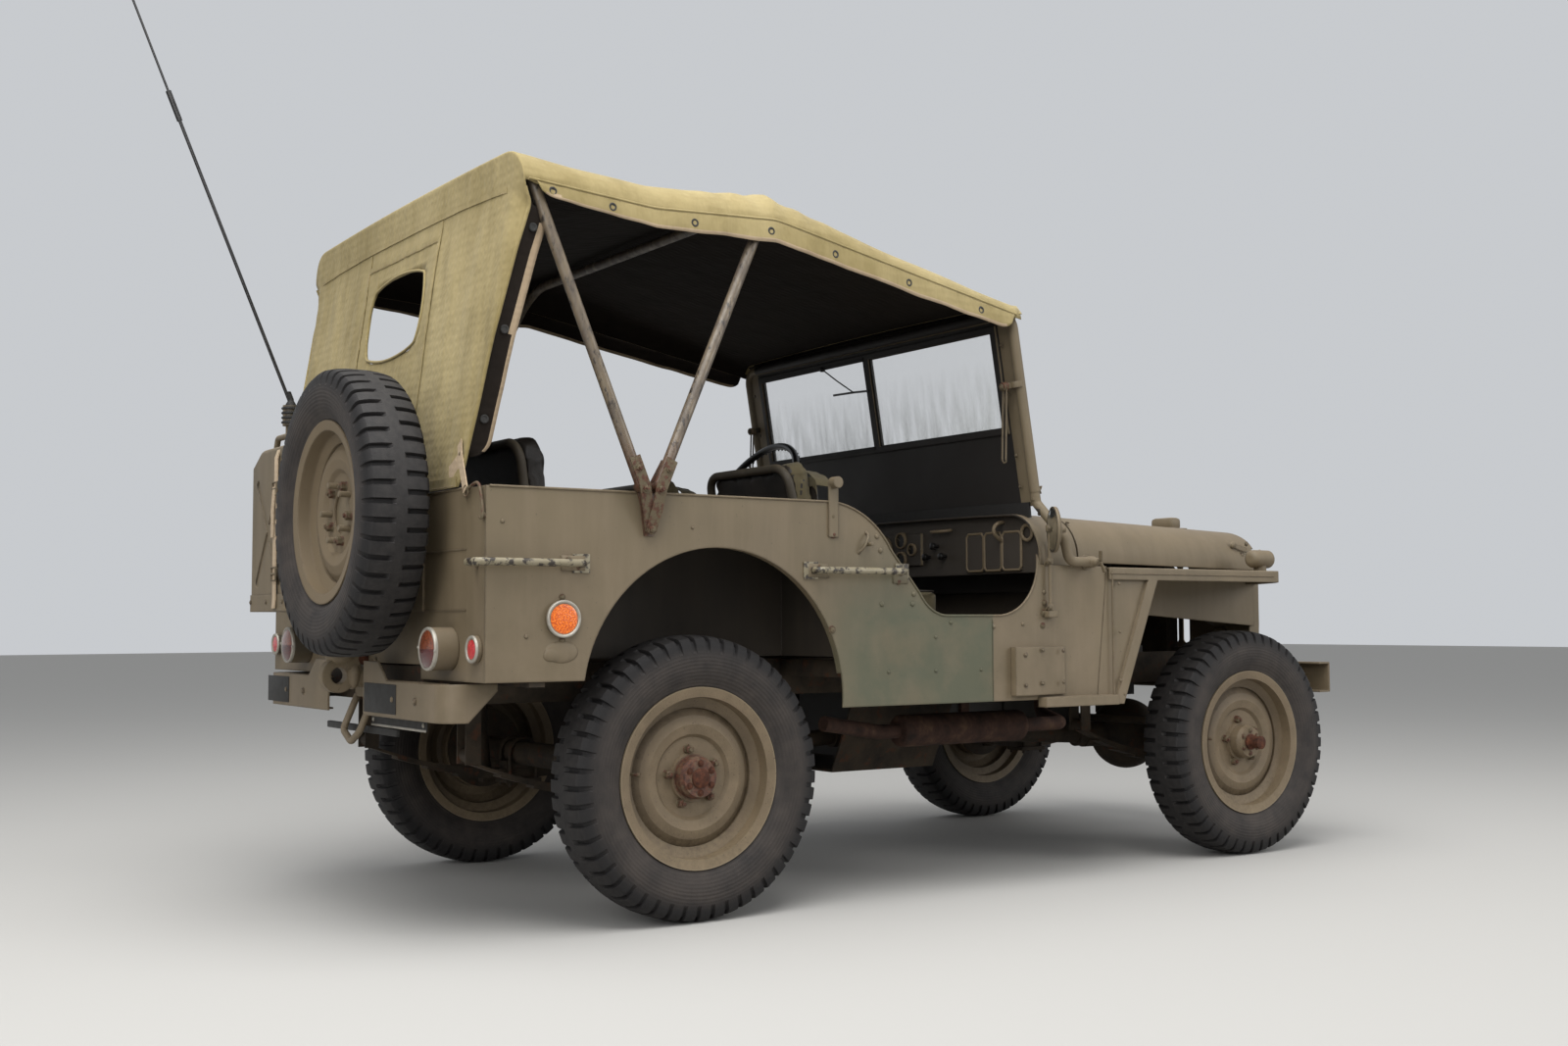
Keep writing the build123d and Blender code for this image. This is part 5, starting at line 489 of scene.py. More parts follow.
def dressed_wheel(name, axle_station, rusted):
    """Wheel enamel, darkened in the well by dirt and painted shade, with a painted highlight round the rim's lip, and
    rusted out to a radius at the hub, drawn round one axle line.
    """
    mat = Finish(name, 0.62, Specular_IOR_Level=0.4)
    axle = (0, -(REAR_AXLE + axle_station) / 1000, -HUB / 1000)
    centred = mat.node("Mapping", {0: mat.coords, "Location": axle})
    flat = mat.node("VectorMath", {0: centred, 1: (0, 1, 1)}, operation="MULTIPLY")
    radius = mat.node("VectorMath", {0: flat}, out="Value", operation="LENGTH")
    bright, dim, none = ((v, v, v, 1) for v in (1, 0.2, 0))
    stops = ((0.0, none), (0.45, bright), (0.75, dim), (1.0, none))
    well = mat.node("ValToRGB", {0: mat.node("MapRange", {0: radius, 1: 0.13, 2: 0.21})}, stops=stops)
    hub = mat.node("MapRange", {0: radius, 1: rusted, 2: rusted - 0.008})
    rust = mat.coat("#33201a", "#5f3a29", mat.patches(9, 0.5, 0.15))
    mat.paint(
        "#5c4f3c",
        ("#6d5e49", mat.patches(60, 0.5, 0.2)),
        # Dark ring round the disc's well: dirt and painted shade
        ("#33281b", well, mat.patches(30, 0.4, 0.2), 0.75),
        ("#7b6c53", mat.below(0.14, 0.30), mat.patches(12, 0.5, 0.15), 0.5),
        (rust, hub, mat.patches(22, 0.4, 0.12)),
        # Painted highlight along the rim's lip, out from 0.22 m round the axle
        ("#7d705a", mat.node("MapRange", {0: radius, 1: 0.2195, 2: 0.2215}), 0.6),
        ("#37281b", mat.patches(5, 0.68, 0.03, detail=2.0), 0.7),
    )
    mat.relief(mat.patches(6, 0.5, 0.4), 0.5)


def cast_and_bright():
    """Castings, plain bright metal, black enamels and the small dark plastics."""
    for name, dark, light, size, roughness, metallic in (
        (IRON, "#1d1b18", "#302c27", 22, 0.6, 0.0),
        (BLACK_ENAMEL, "#0c0b0a", "#1a1817", 40, 0.32, 0.0),
        (PLATE_PAINT, "#14130f", "#201e1b", 30, 0.6, 0.0),
        ("red plastic sleeve", "#7d1d16", "#94291f", 30, 0.4, 0.0),
        (MOULDING, "#121110", "#1e1c1a", 20, 0.7, 0.0),
        (ALUMINIUM, "#8f8a80", "#aca79c", 25, 0.45, 0.6),
    ):
        mat = Finish(name, roughness, metallic)
        cloudy = mat.patches(size, 0.5, 0.2)
        mat.paint(dark, (light, cloudy))
        mat.feed("Roughness", mat.node("MapRange", {0: cloudy, 3: roughness - 0.06, 4: roughness + 0.12}))
        mat.relief(mat.patches(2.5, 0.5, 0.4, detail=2.0), 0.12)


def clear_and_coloured_glass():
    """Window glass with dried rain streaks, silvered mirror, and ribbed lamp lenses; the reflectors get a faint
    painted glow.
    """
    mat = Finish(GLASS, 0.08, Specular_IOR_Level=0.5, Base_Color="#b9bcb4")
    runs = mat.patches(26, 0.52, 0.16, stretch=(1, 1, 0.07))
    dried = mat.product(runs, mat.below(1.24, 1.5), 0.4)
    mat.feed("Alpha", mat.node("Math", {0: dried, 1: 0.07}, operation="ADD"))
    mat.feed("Roughness", mat.node("MapRange", {0: runs, 3: 0.04, 4: 0.5}))
    # Columns: name, deep colour, bright colour, and the painted glow that the reflectors are given though they are no
    # lamps
    for name, deep, bright, glow in (
        ("amber reflector plastic", "#b04400", "#f58210", 0.08),
        ("red reflector plastic", "#8d0a10", "#d5202a", 0.10),
        ("faded orange lamp plastic", "#5e2f1c", "#8a4a30", 0.0),
        ("dark red lamp plastic", "#3f1210", "#5e1a17", 0.0),
        ("clear ribbed lamp glass", "#8f918c", "#c8cac4", 0.0),
    ):
        mat = Finish(name, 0.18, Coat_Weight=0.6, Coat_Roughness=0.08, Emission_Strength=glow)
        cells = mat.node("TexVoronoi", {"Vector": mat.coords, "Scale": 320.0}, out="Distance")
        colour = mat.paint(bright, (deep, mat.node("MapRange", {0: cells, 1: 0.1, 2: 0.7})))
        if glow:
            mat.feed("Emission Color", colour)
        mat.relief(cells, 0.6)
    mat = Finish("silvered mirror glass", 0.04, 1.0)
    haze = mat.patches(30, 0.6, 0.15)
    mat.paint("#c9ccca", ("#9a9d99", haze))
    mat.feed("Roughness", mat.node("MapRange", {0: haze, 3: 0.03, 4: 0.25}))


def facing(direction):
    """Turn that points +Z along a direction."""
    return Vector(direction).to_track_quat("Z", "Y").to_matrix().to_4x4()


def add_cone(bm, start, end, foot, tip, sides=16, caps=True):
    """A round or many-sided bar between two points, tapering from one radius to the other."""
    start, end = Vector(start), Vector(end)
    place = Matrix.Translation((start + end) / 2) @ facing(end - start)
    bmesh.ops.create_cone(
        bm, cap_ends=caps, segments=sides, radius1=foot, radius2=tip, depth=(end - start).length, matrix=place
    )


def add_bolt(bm, place, direction, size, rise=0.6, sides=6):
    """A hexagon or round head on its washer, standing on a surface."""
    place, out = Vector(place), Vector(direction).normalized()
    add_cone(bm, place - out * 0.5, place + out * 1.4, size * 1.45, size * 1.4, 14)
    add_cone(bm, place, place + out * size * rise, size, size * 0.93, sides)
    add_cone(bm, place + out * size * rise, place + out * size * (rise + 0.16), size * 0.8, size * 0.5, sides)


def add_ball(bm, place, half, turn=None, segments=(24, 14)):
    """A ball drawn out to three half sizes, turned before it is placed."""
    shape = Matrix.Translation(Vector(place)) @ (turn or Matrix()) @ Matrix.Diagonal((*half, 1.0))
    bmesh.ops.create_uvsphere(bm, u_segments=segments[0], v_segments=segments[1], radius=1.0, matrix=shape)


def add_rivet(bm, place, direction, size):
    """A low domed rivet head: a small ball, flattened."""
    add_ball(bm, place, (size, size, size / 2), facing(direction), (10, 6))


def ease(bm, verts, edge):
    """Round the edges between these corners."""
    if edge:
        edges = list({e for v in verts for e in v.link_edges})
        bmesh.ops.bevel(bm, geom=edges, offset=edge, affect="EDGES", segments=2, profile=0.5, material=-1)


def add_box(bm, low, high, edge=0.0):
    """A plate or block between two corners, its edges eased."""
    low, high = Vector(low), Vector(high)
    shape = Matrix.Translation((low + high) / 2) @ Matrix.Diagonal((*(high - low), 1.0))
    ease(bm, bmesh.ops.create_cube(bm, size=1.0, matrix=shape)["verts"], edge)


def add_plate(bm, outline, thickness, edge=0.0):
    """A flat plate cut to an outline of points, thickened along the vector."""
    corners = [bm.verts.new(Vector(p)) for p in outline]
    pushed = bmesh.ops.extrude_face_region(bm, geom=[bm.faces.new(corners)])["geom"]
    moved = [v for v in pushed if isinstance(v, bmesh.types.BMVert)]
    bmesh.ops.translate(bm, verts=moved, vec=Vector(thickness))
    faces = {f for v in corners + moved for f in v.link_faces}
    bmesh.ops.recalc_face_normals(bm, faces=list(faces))
    ease(bm, corners + moved, edge)


def turned(centre, axis, profile, count):
    """A new bmesh of (along, radius) points spun round an axis through a centre."""
    made = bmesh.new()
    chain = [made.verts.new((radius, 0, along)) for along, radius in profile]
    edges = [made.edges.new(pair) for pair in zip(chain, chain[1:])]
    bmesh.ops.spin(
        made, geom=chain + edges, cent=(0, 0, 0), axis=(0, 0, 1), angle=math.tau, steps=count, use_merge=True
    )
    bmesh.ops.remove_doubles(made, verts=made.verts, dist=0.01)
    bmesh.ops.recalc_face_normals(made, faces=made.faces)
    bmesh.ops.transform(made, matrix=Matrix.Translation(Vector(centre)) @ facing(axis), verts=made.verts)
    return made


def add_lathe(bm, centre, axis, profile, count=32):
    """A turned shape, poured into a piece."""
    pour(bm, turned(centre, axis, profile, count))


def pour(bm, made):
    """Copy one bmesh into another and drop it."""
    carrier = bpy.data.meshes.new("carrier")
    made.to_mesh(carrier)
    made.free()
    bm.from_mesh(carrier)
    bpy.data.meshes.remove(carrier)


def add_wire(bm, points, radius, smooth=True, closed=False, sides=3):
    """A bent round bar along points, as a bevelled curve turned into mesh."""
    curve = bpy.data.curves.new("wire", "CURVE")
    curve.dimensions = "3D"
    curve.bevel_depth, curve.bevel_resolution, curve.use_fill_caps = radius, sides, not closed
    spline = curve.splines.new("NURBS" if smooth else "POLY")
    spline.points.add(len(points) - 1)
    for point, place in zip(spline.points, points):
        point.co = (*place, 1.0)
    spline.use_cyclic_u = closed
    if smooth:
        spline.order_u, spline.use_endpoint_u, spline.resolution_u = 3, not closed, 6
    holder = bpy.data.objects.new("wire", curve)
    mesh = bpy.data.meshes.new_from_object(holder)
    bm.from_mesh(mesh)
    bpy.data.objects.remove(holder)
    bpy.data.curves.remove(curve)
    bpy.data.meshes.remove(mesh)


def add_ribbon(bm, points, across, width, thickness):
    """A flat strap along points: an edge laid across, drawn from point to point, then given its thickness."""
    made = bmesh.new()
    half = Vector(across).normalized() * width / 2
    ends = [made.verts.new(Vector(points[0]) - half), made.verts.new(Vector(points[0]) + half)]
    edge = made.edges.new(ends)
    here = Vector(points[0])
    for place in points[1:]:
        grown = bmesh.ops.extrude_edge_only(made, edges=[edge])["geom"]
        moved = [v for v in grown if isinstance(v, bmesh.types.BMVert)]
        edge = next(e for e in grown if isinstance(e, bmesh.types.BMEdge))
        bmesh.ops.translate(made, verts=moved, vec=Vector(place) - here)
        here = Vector(place)
    bmesh.ops.solidify(made, geom=made.faces[:], thickness=thickness)
    bmesh.ops.recalc_face_normals(made, faces=made.faces)
    pour(bm, made)


def steps(count):
    """Shares from 0 to 1 in this many equal steps."""
    return [k / count for k in range(count + 1)]


def oval(middle, first, second, count):
    """Points round an oval with the given half axes."""
    turns = [k * math.tau / count for k in range(count)]
    return [middle + Vector(first) * math.cos(a) + Vector(second) * math.sin(a) for a in turns]


def finish_piece(name, bm, finishes, slot, body="car", replaces=(), crease=35):
    """Turn a bmesh drawn in millimetres into a piece in metres that rides on a body."""
    bmesh.ops.scale(bm, vec=(0.001,) * 3, verts=bm.verts)
    bm.normal_update()
    for face in bm.faces:
        face.smooth = True
    for edge in bm.edges:
        edge.smooth = edge.calc_face_angle(0.0) < math.radians(crease)
    mesh = bpy.data.meshes.new(name)
    bm.to_mesh(mesh)
    bm.free()
    for finish in (finishes,) if isinstance(finishes, str) else finishes:
        mesh.materials.append(materials[finish])
    piece = bpy.data.objects.new(name, mesh)
    bpy.context.scene.collection.objects.link(piece)
    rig.ride(piece, body)
    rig.slot(piece, slot)
    if replaces:
        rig.replaces(piece, *replaces)
    return piece


def dress(finish, *nodes):
    """Give CAD nodes a finish."""
    for name in nodes:
        for slot in frame["nodes"][name].material_slots:
            slot.material = materials[finish]


# Columns: finish, CAD nodes that wear it
NODE_FINISHES = (
    (OLIVE, (
        "side_panel_right", "side_panel_left", "rear_panel", "hood", "grille", "front_fender_right",
        "front_fender_left", "front_bumper", "rear_bumperettes", "jerry_can", "can_carrier",
        "spare_carrier", "rear_lamps", "headlamps", "wing_lamps", "mirrors", "towing_gear", "aerial_base",
        "body_fittings")),
    (SCUTTLE, ("cowl", "windscreen_frame")),
    (UNDERBODY, ("floor_pan",)),
    (INSIDE, ("front_seat_frames", "rear_seat_frame", "fuel_tank")),
    (CHASSIS, (
        "frame", "front_axle", "rear_axle", "leaf_springs", "shock_absorbers", "knuckle_right",
        "knuckle_left", "tie_rod", "propeller_shafts", "radiator")),
    (IRON, ("engine_block", "gearbox")),
    (EXHAUST, ("exhaust",)),
    (TUBE, ("top_bows",)),
    (PRIMER, ("grab_handles",)),
    (BLACK_ENAMEL, ("steering_wheel", "aerial_rod", "driving_controls")),
    (PLATE_PAINT, ("number_plate",)),
    (GLASS, ("windscreen_glass",)),
)


class CarColours(bpy.types.PropertyGroup):
    """Colours of the paint and the canvas."""

    paint_shade: StringProperty(
        name="Paint", description="Olive drab where it kept its colour", default="#594e3b"
    )
    paint_faded: StringProperty(
        name="Faded paint", description="The same paint bleached by the sun", default="#695d48"
    )
    dust: StringProperty(name="Dust", description="Dry road dust on ledges and low panels", default="#796a56")
    canvas_shade: StringProperty(
        name="Canvas", description="Khaki canvas where it kept its colour", default="#786a42"
    )
    canvas_faded: StringProperty(
        name="Faded canvas", description="Khaki canvas bleached by the sun", default="#a5966d"
    )


class TyreSizes(bpy.types.PropertyGroup):
    """Sizes of the cross-country tread."""

    lugs: IntProperty(name="Lugs", description="Lugs round each shoulder", default=50, min=20, max=80)
    depth: FloatProperty(
        name="Tread depth", description="Depth of the slots between lugs", default=0.010, unit="LENGTH"
    )
    rib: FloatProperty(
        name="Rib", description="Half width of the plain rib round the middle", default=0.013, unit="LENGTH"
    )


class ClothSizes(bpy.types.PropertyGroup):
    """Sizes of the canvas top and the cushions."""

    valance: FloatProperty(
        name="Valance", description="Drop of the side flap with the eyelets", default=0.058, unit="LENGTH"
    )
    cloth: FloatProperty(
        name="Canvas thickness", description="Thickness of the doubled canvas", default=0.0028, unit="LENGTH"
    )
    ripple: FloatProperty(
        name="Ripple", description="Height of the folds in the roof", default=0.006, unit="LENGTH"
    )
    swell: FloatProperty(
        name="Cushion swell", description="How far a cushion's face may swell", default=0.012, unit="LENGTH"
    )


class StageSettings(bpy.types.PropertyGroup):
    """Floor, lights and camera."""

    floor: StringProperty(name="Floor", description="Colour of the plain floor", default="#aaa8a4")
    sky: FloatProperty(
        name="Sky", description="Strength of the even light from all round", default=0.62, min=0.0
    )
    lens: FloatProperty(
        name="Lens", description="Focal length on a 36 mm wide frame", default=37.707, unit="CAMERA"
    )


class ARMYCAR_OT_finishes(bpy.types.Operator):
    """Make every finish and dress the CAD nodes in them"""

    bl_idname = "armycar.finishes"
    bl_label = "Paint and Finishes"

    def execute(self, context):
        for make in (body_paint, screen_and_scuttle_paint, textiles):
            make(context.scene.car_colours)
        for make in (shaded_paint, chassis_coat, rusted_metals, handled_steel, tyre_rubber, cast_and_bright,
                     clear_and_coloured_glass):
            make()
        for (station, name), rusted in zip(AXLE_ENAMELS.items(), (0.060, 0.030)):
            dressed_wheel(name, station, rusted)
        for finish, nodes in NODE_FINISHES:
            dress(finish, *nodes)
        for name, side, station, cap in WHEELS:
            dress(AXLE_ENAMELS[station], "wheel_" + name)
        dress(WHEEL_ENAMEL, "spare_wheel")
        return {"FINISHED"}


# Half width and radius of the tyre's outline from the bead out to the crown, in millimetres
TYRE_WALL = (
    (56.0, 206.0), (58.5, 224.0), (68.0, 238.0), (75.5, 254.0), (79.5, 272.0), (80.8, 290.0), (79.5, 306.0),
    (77.0, 318.0), (75.0, 328.0), (71.0, 337.0), (64.0, 343.5), (52.0, 346.5), (42.0, 348.2), (32.0, 349.2),
    (22.0, 349.7), (13.0, 350.0), (0.0, 350.0),
)


class ARMYCAR_OT_tyres(bpy.types.Operator):
    """Cross-country tyres: slots run in from both shoulders, half a pitch apart, to a plain middle rib"""

    bl_idname = "armycar.tyres"
    bl_label = "Tyres"

    def execute(self, context):
        sizes = context.scene.tyre_sizes
        for name, side, station, cap in WHEELS:
            centre = at(side * HALF_TRACK, station, HUB)
            self.build("tread_" + name, sizes, centre, (side, 0, 0), "wheel_" + name, "tyre_" + name)
        self.build("tread_spare", sizes, SPARE, (0, 1, 0), "car", "spare_tyre")
        return {"FINISHED"}

    def build(self, name, sizes, centre, axis, body, node_name):
        """One pitch of tread is spun in uneven steps, its slots are sunk, and the pitch is repeated round."""
        bm = bmesh.new()
        outline = list(TYRE_WALL) + [(-x, r) for x, r in reversed(TYRE_WALL[:-1])]
        outline += [(-54.0, 203.6), (54.0, 203.6)]
        pitch = math.tau / sizes.lugs
        ring = [bm.verts.new((r, 0, x)) for x, r in outline]
        last = [bm.edges.new((ring[k - 1], ring[k])) for k in range(len(ring))] + ring
        # Columns of the pitch: slots of the near shoulder, then of the far one
        cuts = (0.0, 0.05, 0.27, 0.32, 0.5, 0.55, 0.77, 0.82, 1.0)
        columns = [ring]
        for start, end in zip(cuts, cuts[1:]):
            angle = (end - start) * pitch
            swept = bmesh.ops.spin(bm, geom=last, cent=(0, 0, 0), axis=(0, 0, 1), angle=angle, steps=1)
            last = swept["geom_last"]
            columns.append([v for v in last if isinstance(v, bmesh.types.BMVert)])
        rib = sizes.rib * 1000
        for slot_side, sunk in ((1, (1, 2)), (-1, (5, 6))):
            for k in sunk:
                for vert in columns[k]:
                    reach = vert.co.z * slot_side
                    radius = math.hypot(vert.co.x, vert.co.y)
                    if reach > rib and radius > 312:
                        depth = sizes.depth * 1000 * min(1.0, (radius - 308) / 22)
                        vert.co.x *= (radius - depth) / radius
                        vert.co.y *= (radius - depth) / radius
                        if radius < 340:
                            vert.co.z -= slot_side * 3.5
        bmesh.ops.spin(bm, geom=bm.verts[:] + bm.edges[:] + bm.faces[:], cent=(0, 0, 0), axis=(0, 0, 1),
                       angle=math.tau - pitch, steps=sizes.lugs - 1, use_duplicate=True)
        bmesh.ops.remove_doubles(bm, verts=bm.verts, dist=0.05)
        bmesh.ops.recalc_face_normals(bm, faces=bm.faces)
        layer = bm.verts.layers.float.new("from_axle")
        for vert in bm.verts:
            vert[layer] = math.hypot(vert.co.x, vert.co.y) / 1000
        bmesh.ops.transform(bm, matrix=Matrix.Translation(centre) @ facing(axis), verts=bm.verts)
        finish_piece(name, bm, RUBBER, "tyre_rubber", body, (node_name,), crease=28)


class ARMYCAR_OT_wheel_fittings(bpy.types.Operator):
    """Wheel nuts on their studs, hub flange bolts, hub cap and tyre valve of each road wheel and the spare"""

    bl_idname = "armycar.wheel_fittings"
    bl_label = "Wheel Fittings"

    def execute(self, context):
        for name, side, station, cap in WHEELS:
            centre, out = at(side * HALF_TRACK, station, HUB), Vector((side, 0, 0))
            nuts, hub = bmesh.new(), bmesh.new()
            self.nuts_and_valve(nuts, centre, out)
            flange = centre + out * HUB_FACE
            for k in range(6):
                add_bolt(nuts if cap else hub, flange + around(out, 36.0, k / 6 + 0.04), out, 6.2)
            profile = ((0, 25), (5, 24), (9, 17), (10, 0))
            if cap:
                profile = (
                    (0, 24), (6, 24), (9, 18.5), (cap - 9, 18.5), (cap - 7, 20.5), (cap, 20.5),
                    (cap + 3, 15), (cap + 3, 0),
                )
            add_lathe(hub, flange, out, profile, 24)
            finish_piece("wheel_nuts_" + name, nuts, RUSTING, "olive_paint", "wheel_" + name)
            finish_piece("hub_bolts_" + name, hub, RUST, "cast_iron", "wheel_" + name)
        spare = bmesh.new()
        self.nuts_and_valve(spare, SPARE, Vector((0, 1, 0)))
        finish_piece("spare_wheel_nuts", spare, RUSTING, "olive_paint")
        return {"FINISHED"}

    def nuts_and_valve(self, bm, centre, out):
        """The five nuts of a wheel, and its tyre valve leaning out of the rim well."""
        for k in range(5):
            self.nut(bm, centre + out * DISC_FACE + around(out, BOLT_CIRCLE, k / 5), out)
        foot = centre + around(out, 186, 0.61) + out * 20
        tip = centre + around(out, 168, 0.61) + out * 42
        add_cone(bm, foot, tip, 4.0, 3.6, 10)
        add_cone(bm, tip, tip + (tip - foot).normalized() * 9, 5.0, 4.4, 10)

    def nut(self, bm, place, out):
        """A cone-seated wheel nut with its stud's end standing out."""
        add_cone(bm, place - out, place + out * 3, 13, 10.5, 18)
        add_cone(bm, place + out * 3, place + out * 15, 11.2, 11.2, 6)
        add_cone(bm, place + out * 15, place + out * 17, 10.2, 7.5, 6)
        add_cone(bm, place + out * 15, place + out * 21, 5.6, 5.0, 10)


# Columns: station, half width, top height, shoulder radius of the canvas roof
ROOF = (
    (-1060.0, 706.0, 1634.0, 44.0), (-205.0, 722.0, 1836.0, 88.0), (150.0, 718.0, 1817.0, 88.0),
    (505.0, 722.0, 1840.0, 88.0),
)
# Columns: height up from the hem's corner, half width there, and how far forward the slanted edge wraps
CURTAIN_EDGE = (
    (1046.0, 596.0, 0.0), (1087.0, 612.0, 0.0), (1400.0, 672.0, 2.0), (1600.0, 703.0, 16.0),
    (1700.0, 714.0, 30.0), (1752.0, 721.0, 4.0),
)
# Columns: station, share of the full drop that the roof's flap hangs down there
FLAP_DROP = ((-1060.0, 0.72), (-800.0, 0.84), (-205.0, 0.9), (150.0, 0.7), (505.0, 0.42))
RIDGE = 505.0
HEM = 1046.0
# Heights where the curtain begins to slope and where its edge meets the ridge's arch
SLOPE = 1740.0
ARCH = 1752.0
# Rear window: middle x and z, half width, half height, corner radius
WINDOW = (-10.0, 1540.0, 190.0, 110.0, 70.0)
# How far the seams round the window stand off it
SEAM_GAP = 56
SHEET_FINISHES = (CANVAS, LINING)


def between(table, place):
    """Row of values at a place along a table, straight between its rows."""
    for low, high in zip(table, table[1:]):
        if place <= high[0]:
            break
    share = (place - low[0]) / (high[0] - low[0])
    return [a + (b - a) * share for a, b in zip(low[1:], high[1:])]


def cloud(x, y, seed=0.0):
    """Smooth wandering number between about -1 and 1."""
    return noise.noise(Vector((x, y, seed)))


def roof_point(station, across, ripple=0.0):
    """Point of the canvas roof; across runs from -1 at the right eave to 1 at the left one."""
    half, top, corner = between(ROOF, station)
    flat = half - corner
    reach = abs(across) * (flat + corner * math.pi / 2)
    side = math.copysign(1, across)
    if reach <= flat:
        place = Vector((side * reach, 0, top + 8 * (1 - (reach / flat) ** 2)))
        out = Vector((0, 0, 1))
    else:
        turn = min((reach - flat) / corner, math.pi / 2)
        out = Vector((side * math.sin(turn), 0, math.cos(turn)))
        place = Vector((side * flat, 0, top - corner)) + out * corner
    # Between the bows the cloth hangs in a little, and short folds run off the front bow's corners
    span = min(abs(station - bow) for bow in (-1060.0, -205.0, 505.0))
    slack = min(1.0, span / 160)
    drop = slack * (0.9 + 0.7 * cloud(across * 2.2, station / 240)) * (0.5 + 0.5 * min(1.0, reach / flat))
    folds = math.exp(-(((station + 205) / 170) ** 2)) * math.exp(-(((abs(across) - 0.86) / 0.13) ** 2))
    folds *= math.sin((abs(station + 205) + 240 * abs(across)) / 15)
    place -= out * ripple * (drop - 0.55 * folds)
    place.y = REAR_AXLE + station
    return place


def curtain_station(x, z):
    """Station of the rear curtain's face at a place seen from behind."""
    half, wrap = between(CURTAIN_EDGE, min(max(z, HEM), ARCH))
    station = RIDGE + 98 * max(0.0, SLOPE - z) / (SLOPE - HEM)
    round_edge = max(0.0, abs(x) - (half - 60)) / 60
    return station - wrap * min(1.0, round_edge) ** 2


def curtain_relief(x, z):
    """How far the hanging cloth stands out: broad waves, and tight puckers beside the window's seams."""
    low = min(1.0, max(0.0, (1820 - z) / 120))
    waves = 3.2 * cloud(x / 85, z / 420, 3.0) + 2.0 * cloud(x / 40, z / 190, 5.0)
    wx, wz, half, rise, corner = WINDOW
    ring = math.hypot(max(0.0, abs(x - wx) - half), max(0.0, abs(z - wz) - rise))
    pucker = math.exp(-(((ring - 55) / 16) ** 2)) * (1.6 + 1.8 * cloud(x / 14, z / 14, 7.0))
    patch = 1.1 * math.exp(-(((x + 385) / 17) ** 4)) * (1 if 1230 < z < 1590 else 0)
    corners = math.exp(-(((z - SLOPE) / 70) ** 2)) * math.exp(-(((abs(x) - 690) / 60) ** 2))
    corners *= 3.0 * math.sin((z + 0.6 * abs(x)) / 9)
    return low * waves + pucker + patch + corners


def curtain_point(share, across):
    """Point of the rear curtain; share runs from 0 at the ridge's arch to 1 at the hem."""
    top = roof_point(RIDGE, across)
    edge_z = ARCH + (HEM - ARCH) * share
    z = top.z + (HEM - top.z) * share
    half = between(CURTAIN_EDGE, edge_z)[0]
    arch = top.x / 722
    blend_in = min(1.0, share * 1.6)
    x = (arch + (across - arch) * blend_in) * half
    place = Vector((x, REAR_AXLE + curtain_station(x, z), z))
    place.y += curtain_relief(x, z) * min(1.0, share * 9)
    return place


def on_curtain(x, z, lift=0.0):
    """Point on the curtain's outside at a place seen from behind."""
    return Vector((x, REAR_AXLE + curtain_station(x, z) + curtain_relief(x, z) + lift, z))


def curtain_edge(z):
    """Half width and station of the curtain's slanted edge at a height."""
    half = between(CURTAIN_EDGE, z)[0]
    return half, curtain_station(half, z)


def rounded_end(place, first, last, radius):
    """Share of a strip's full width at a place: it runs out in a quarter round at either end."""
    end = min(1.0, min(place - first, last - place) / radius)
    return math.sqrt(max(0.0, 1 - (1 - end) ** 2))


def flap_wave(station, side):
    """How far the roof's loose flap waves outwards."""
    return 5.0 * cloud(station / 120, 2.0 + side, 9.0) + 2.4 * cloud(station / 45, side, 4.0)


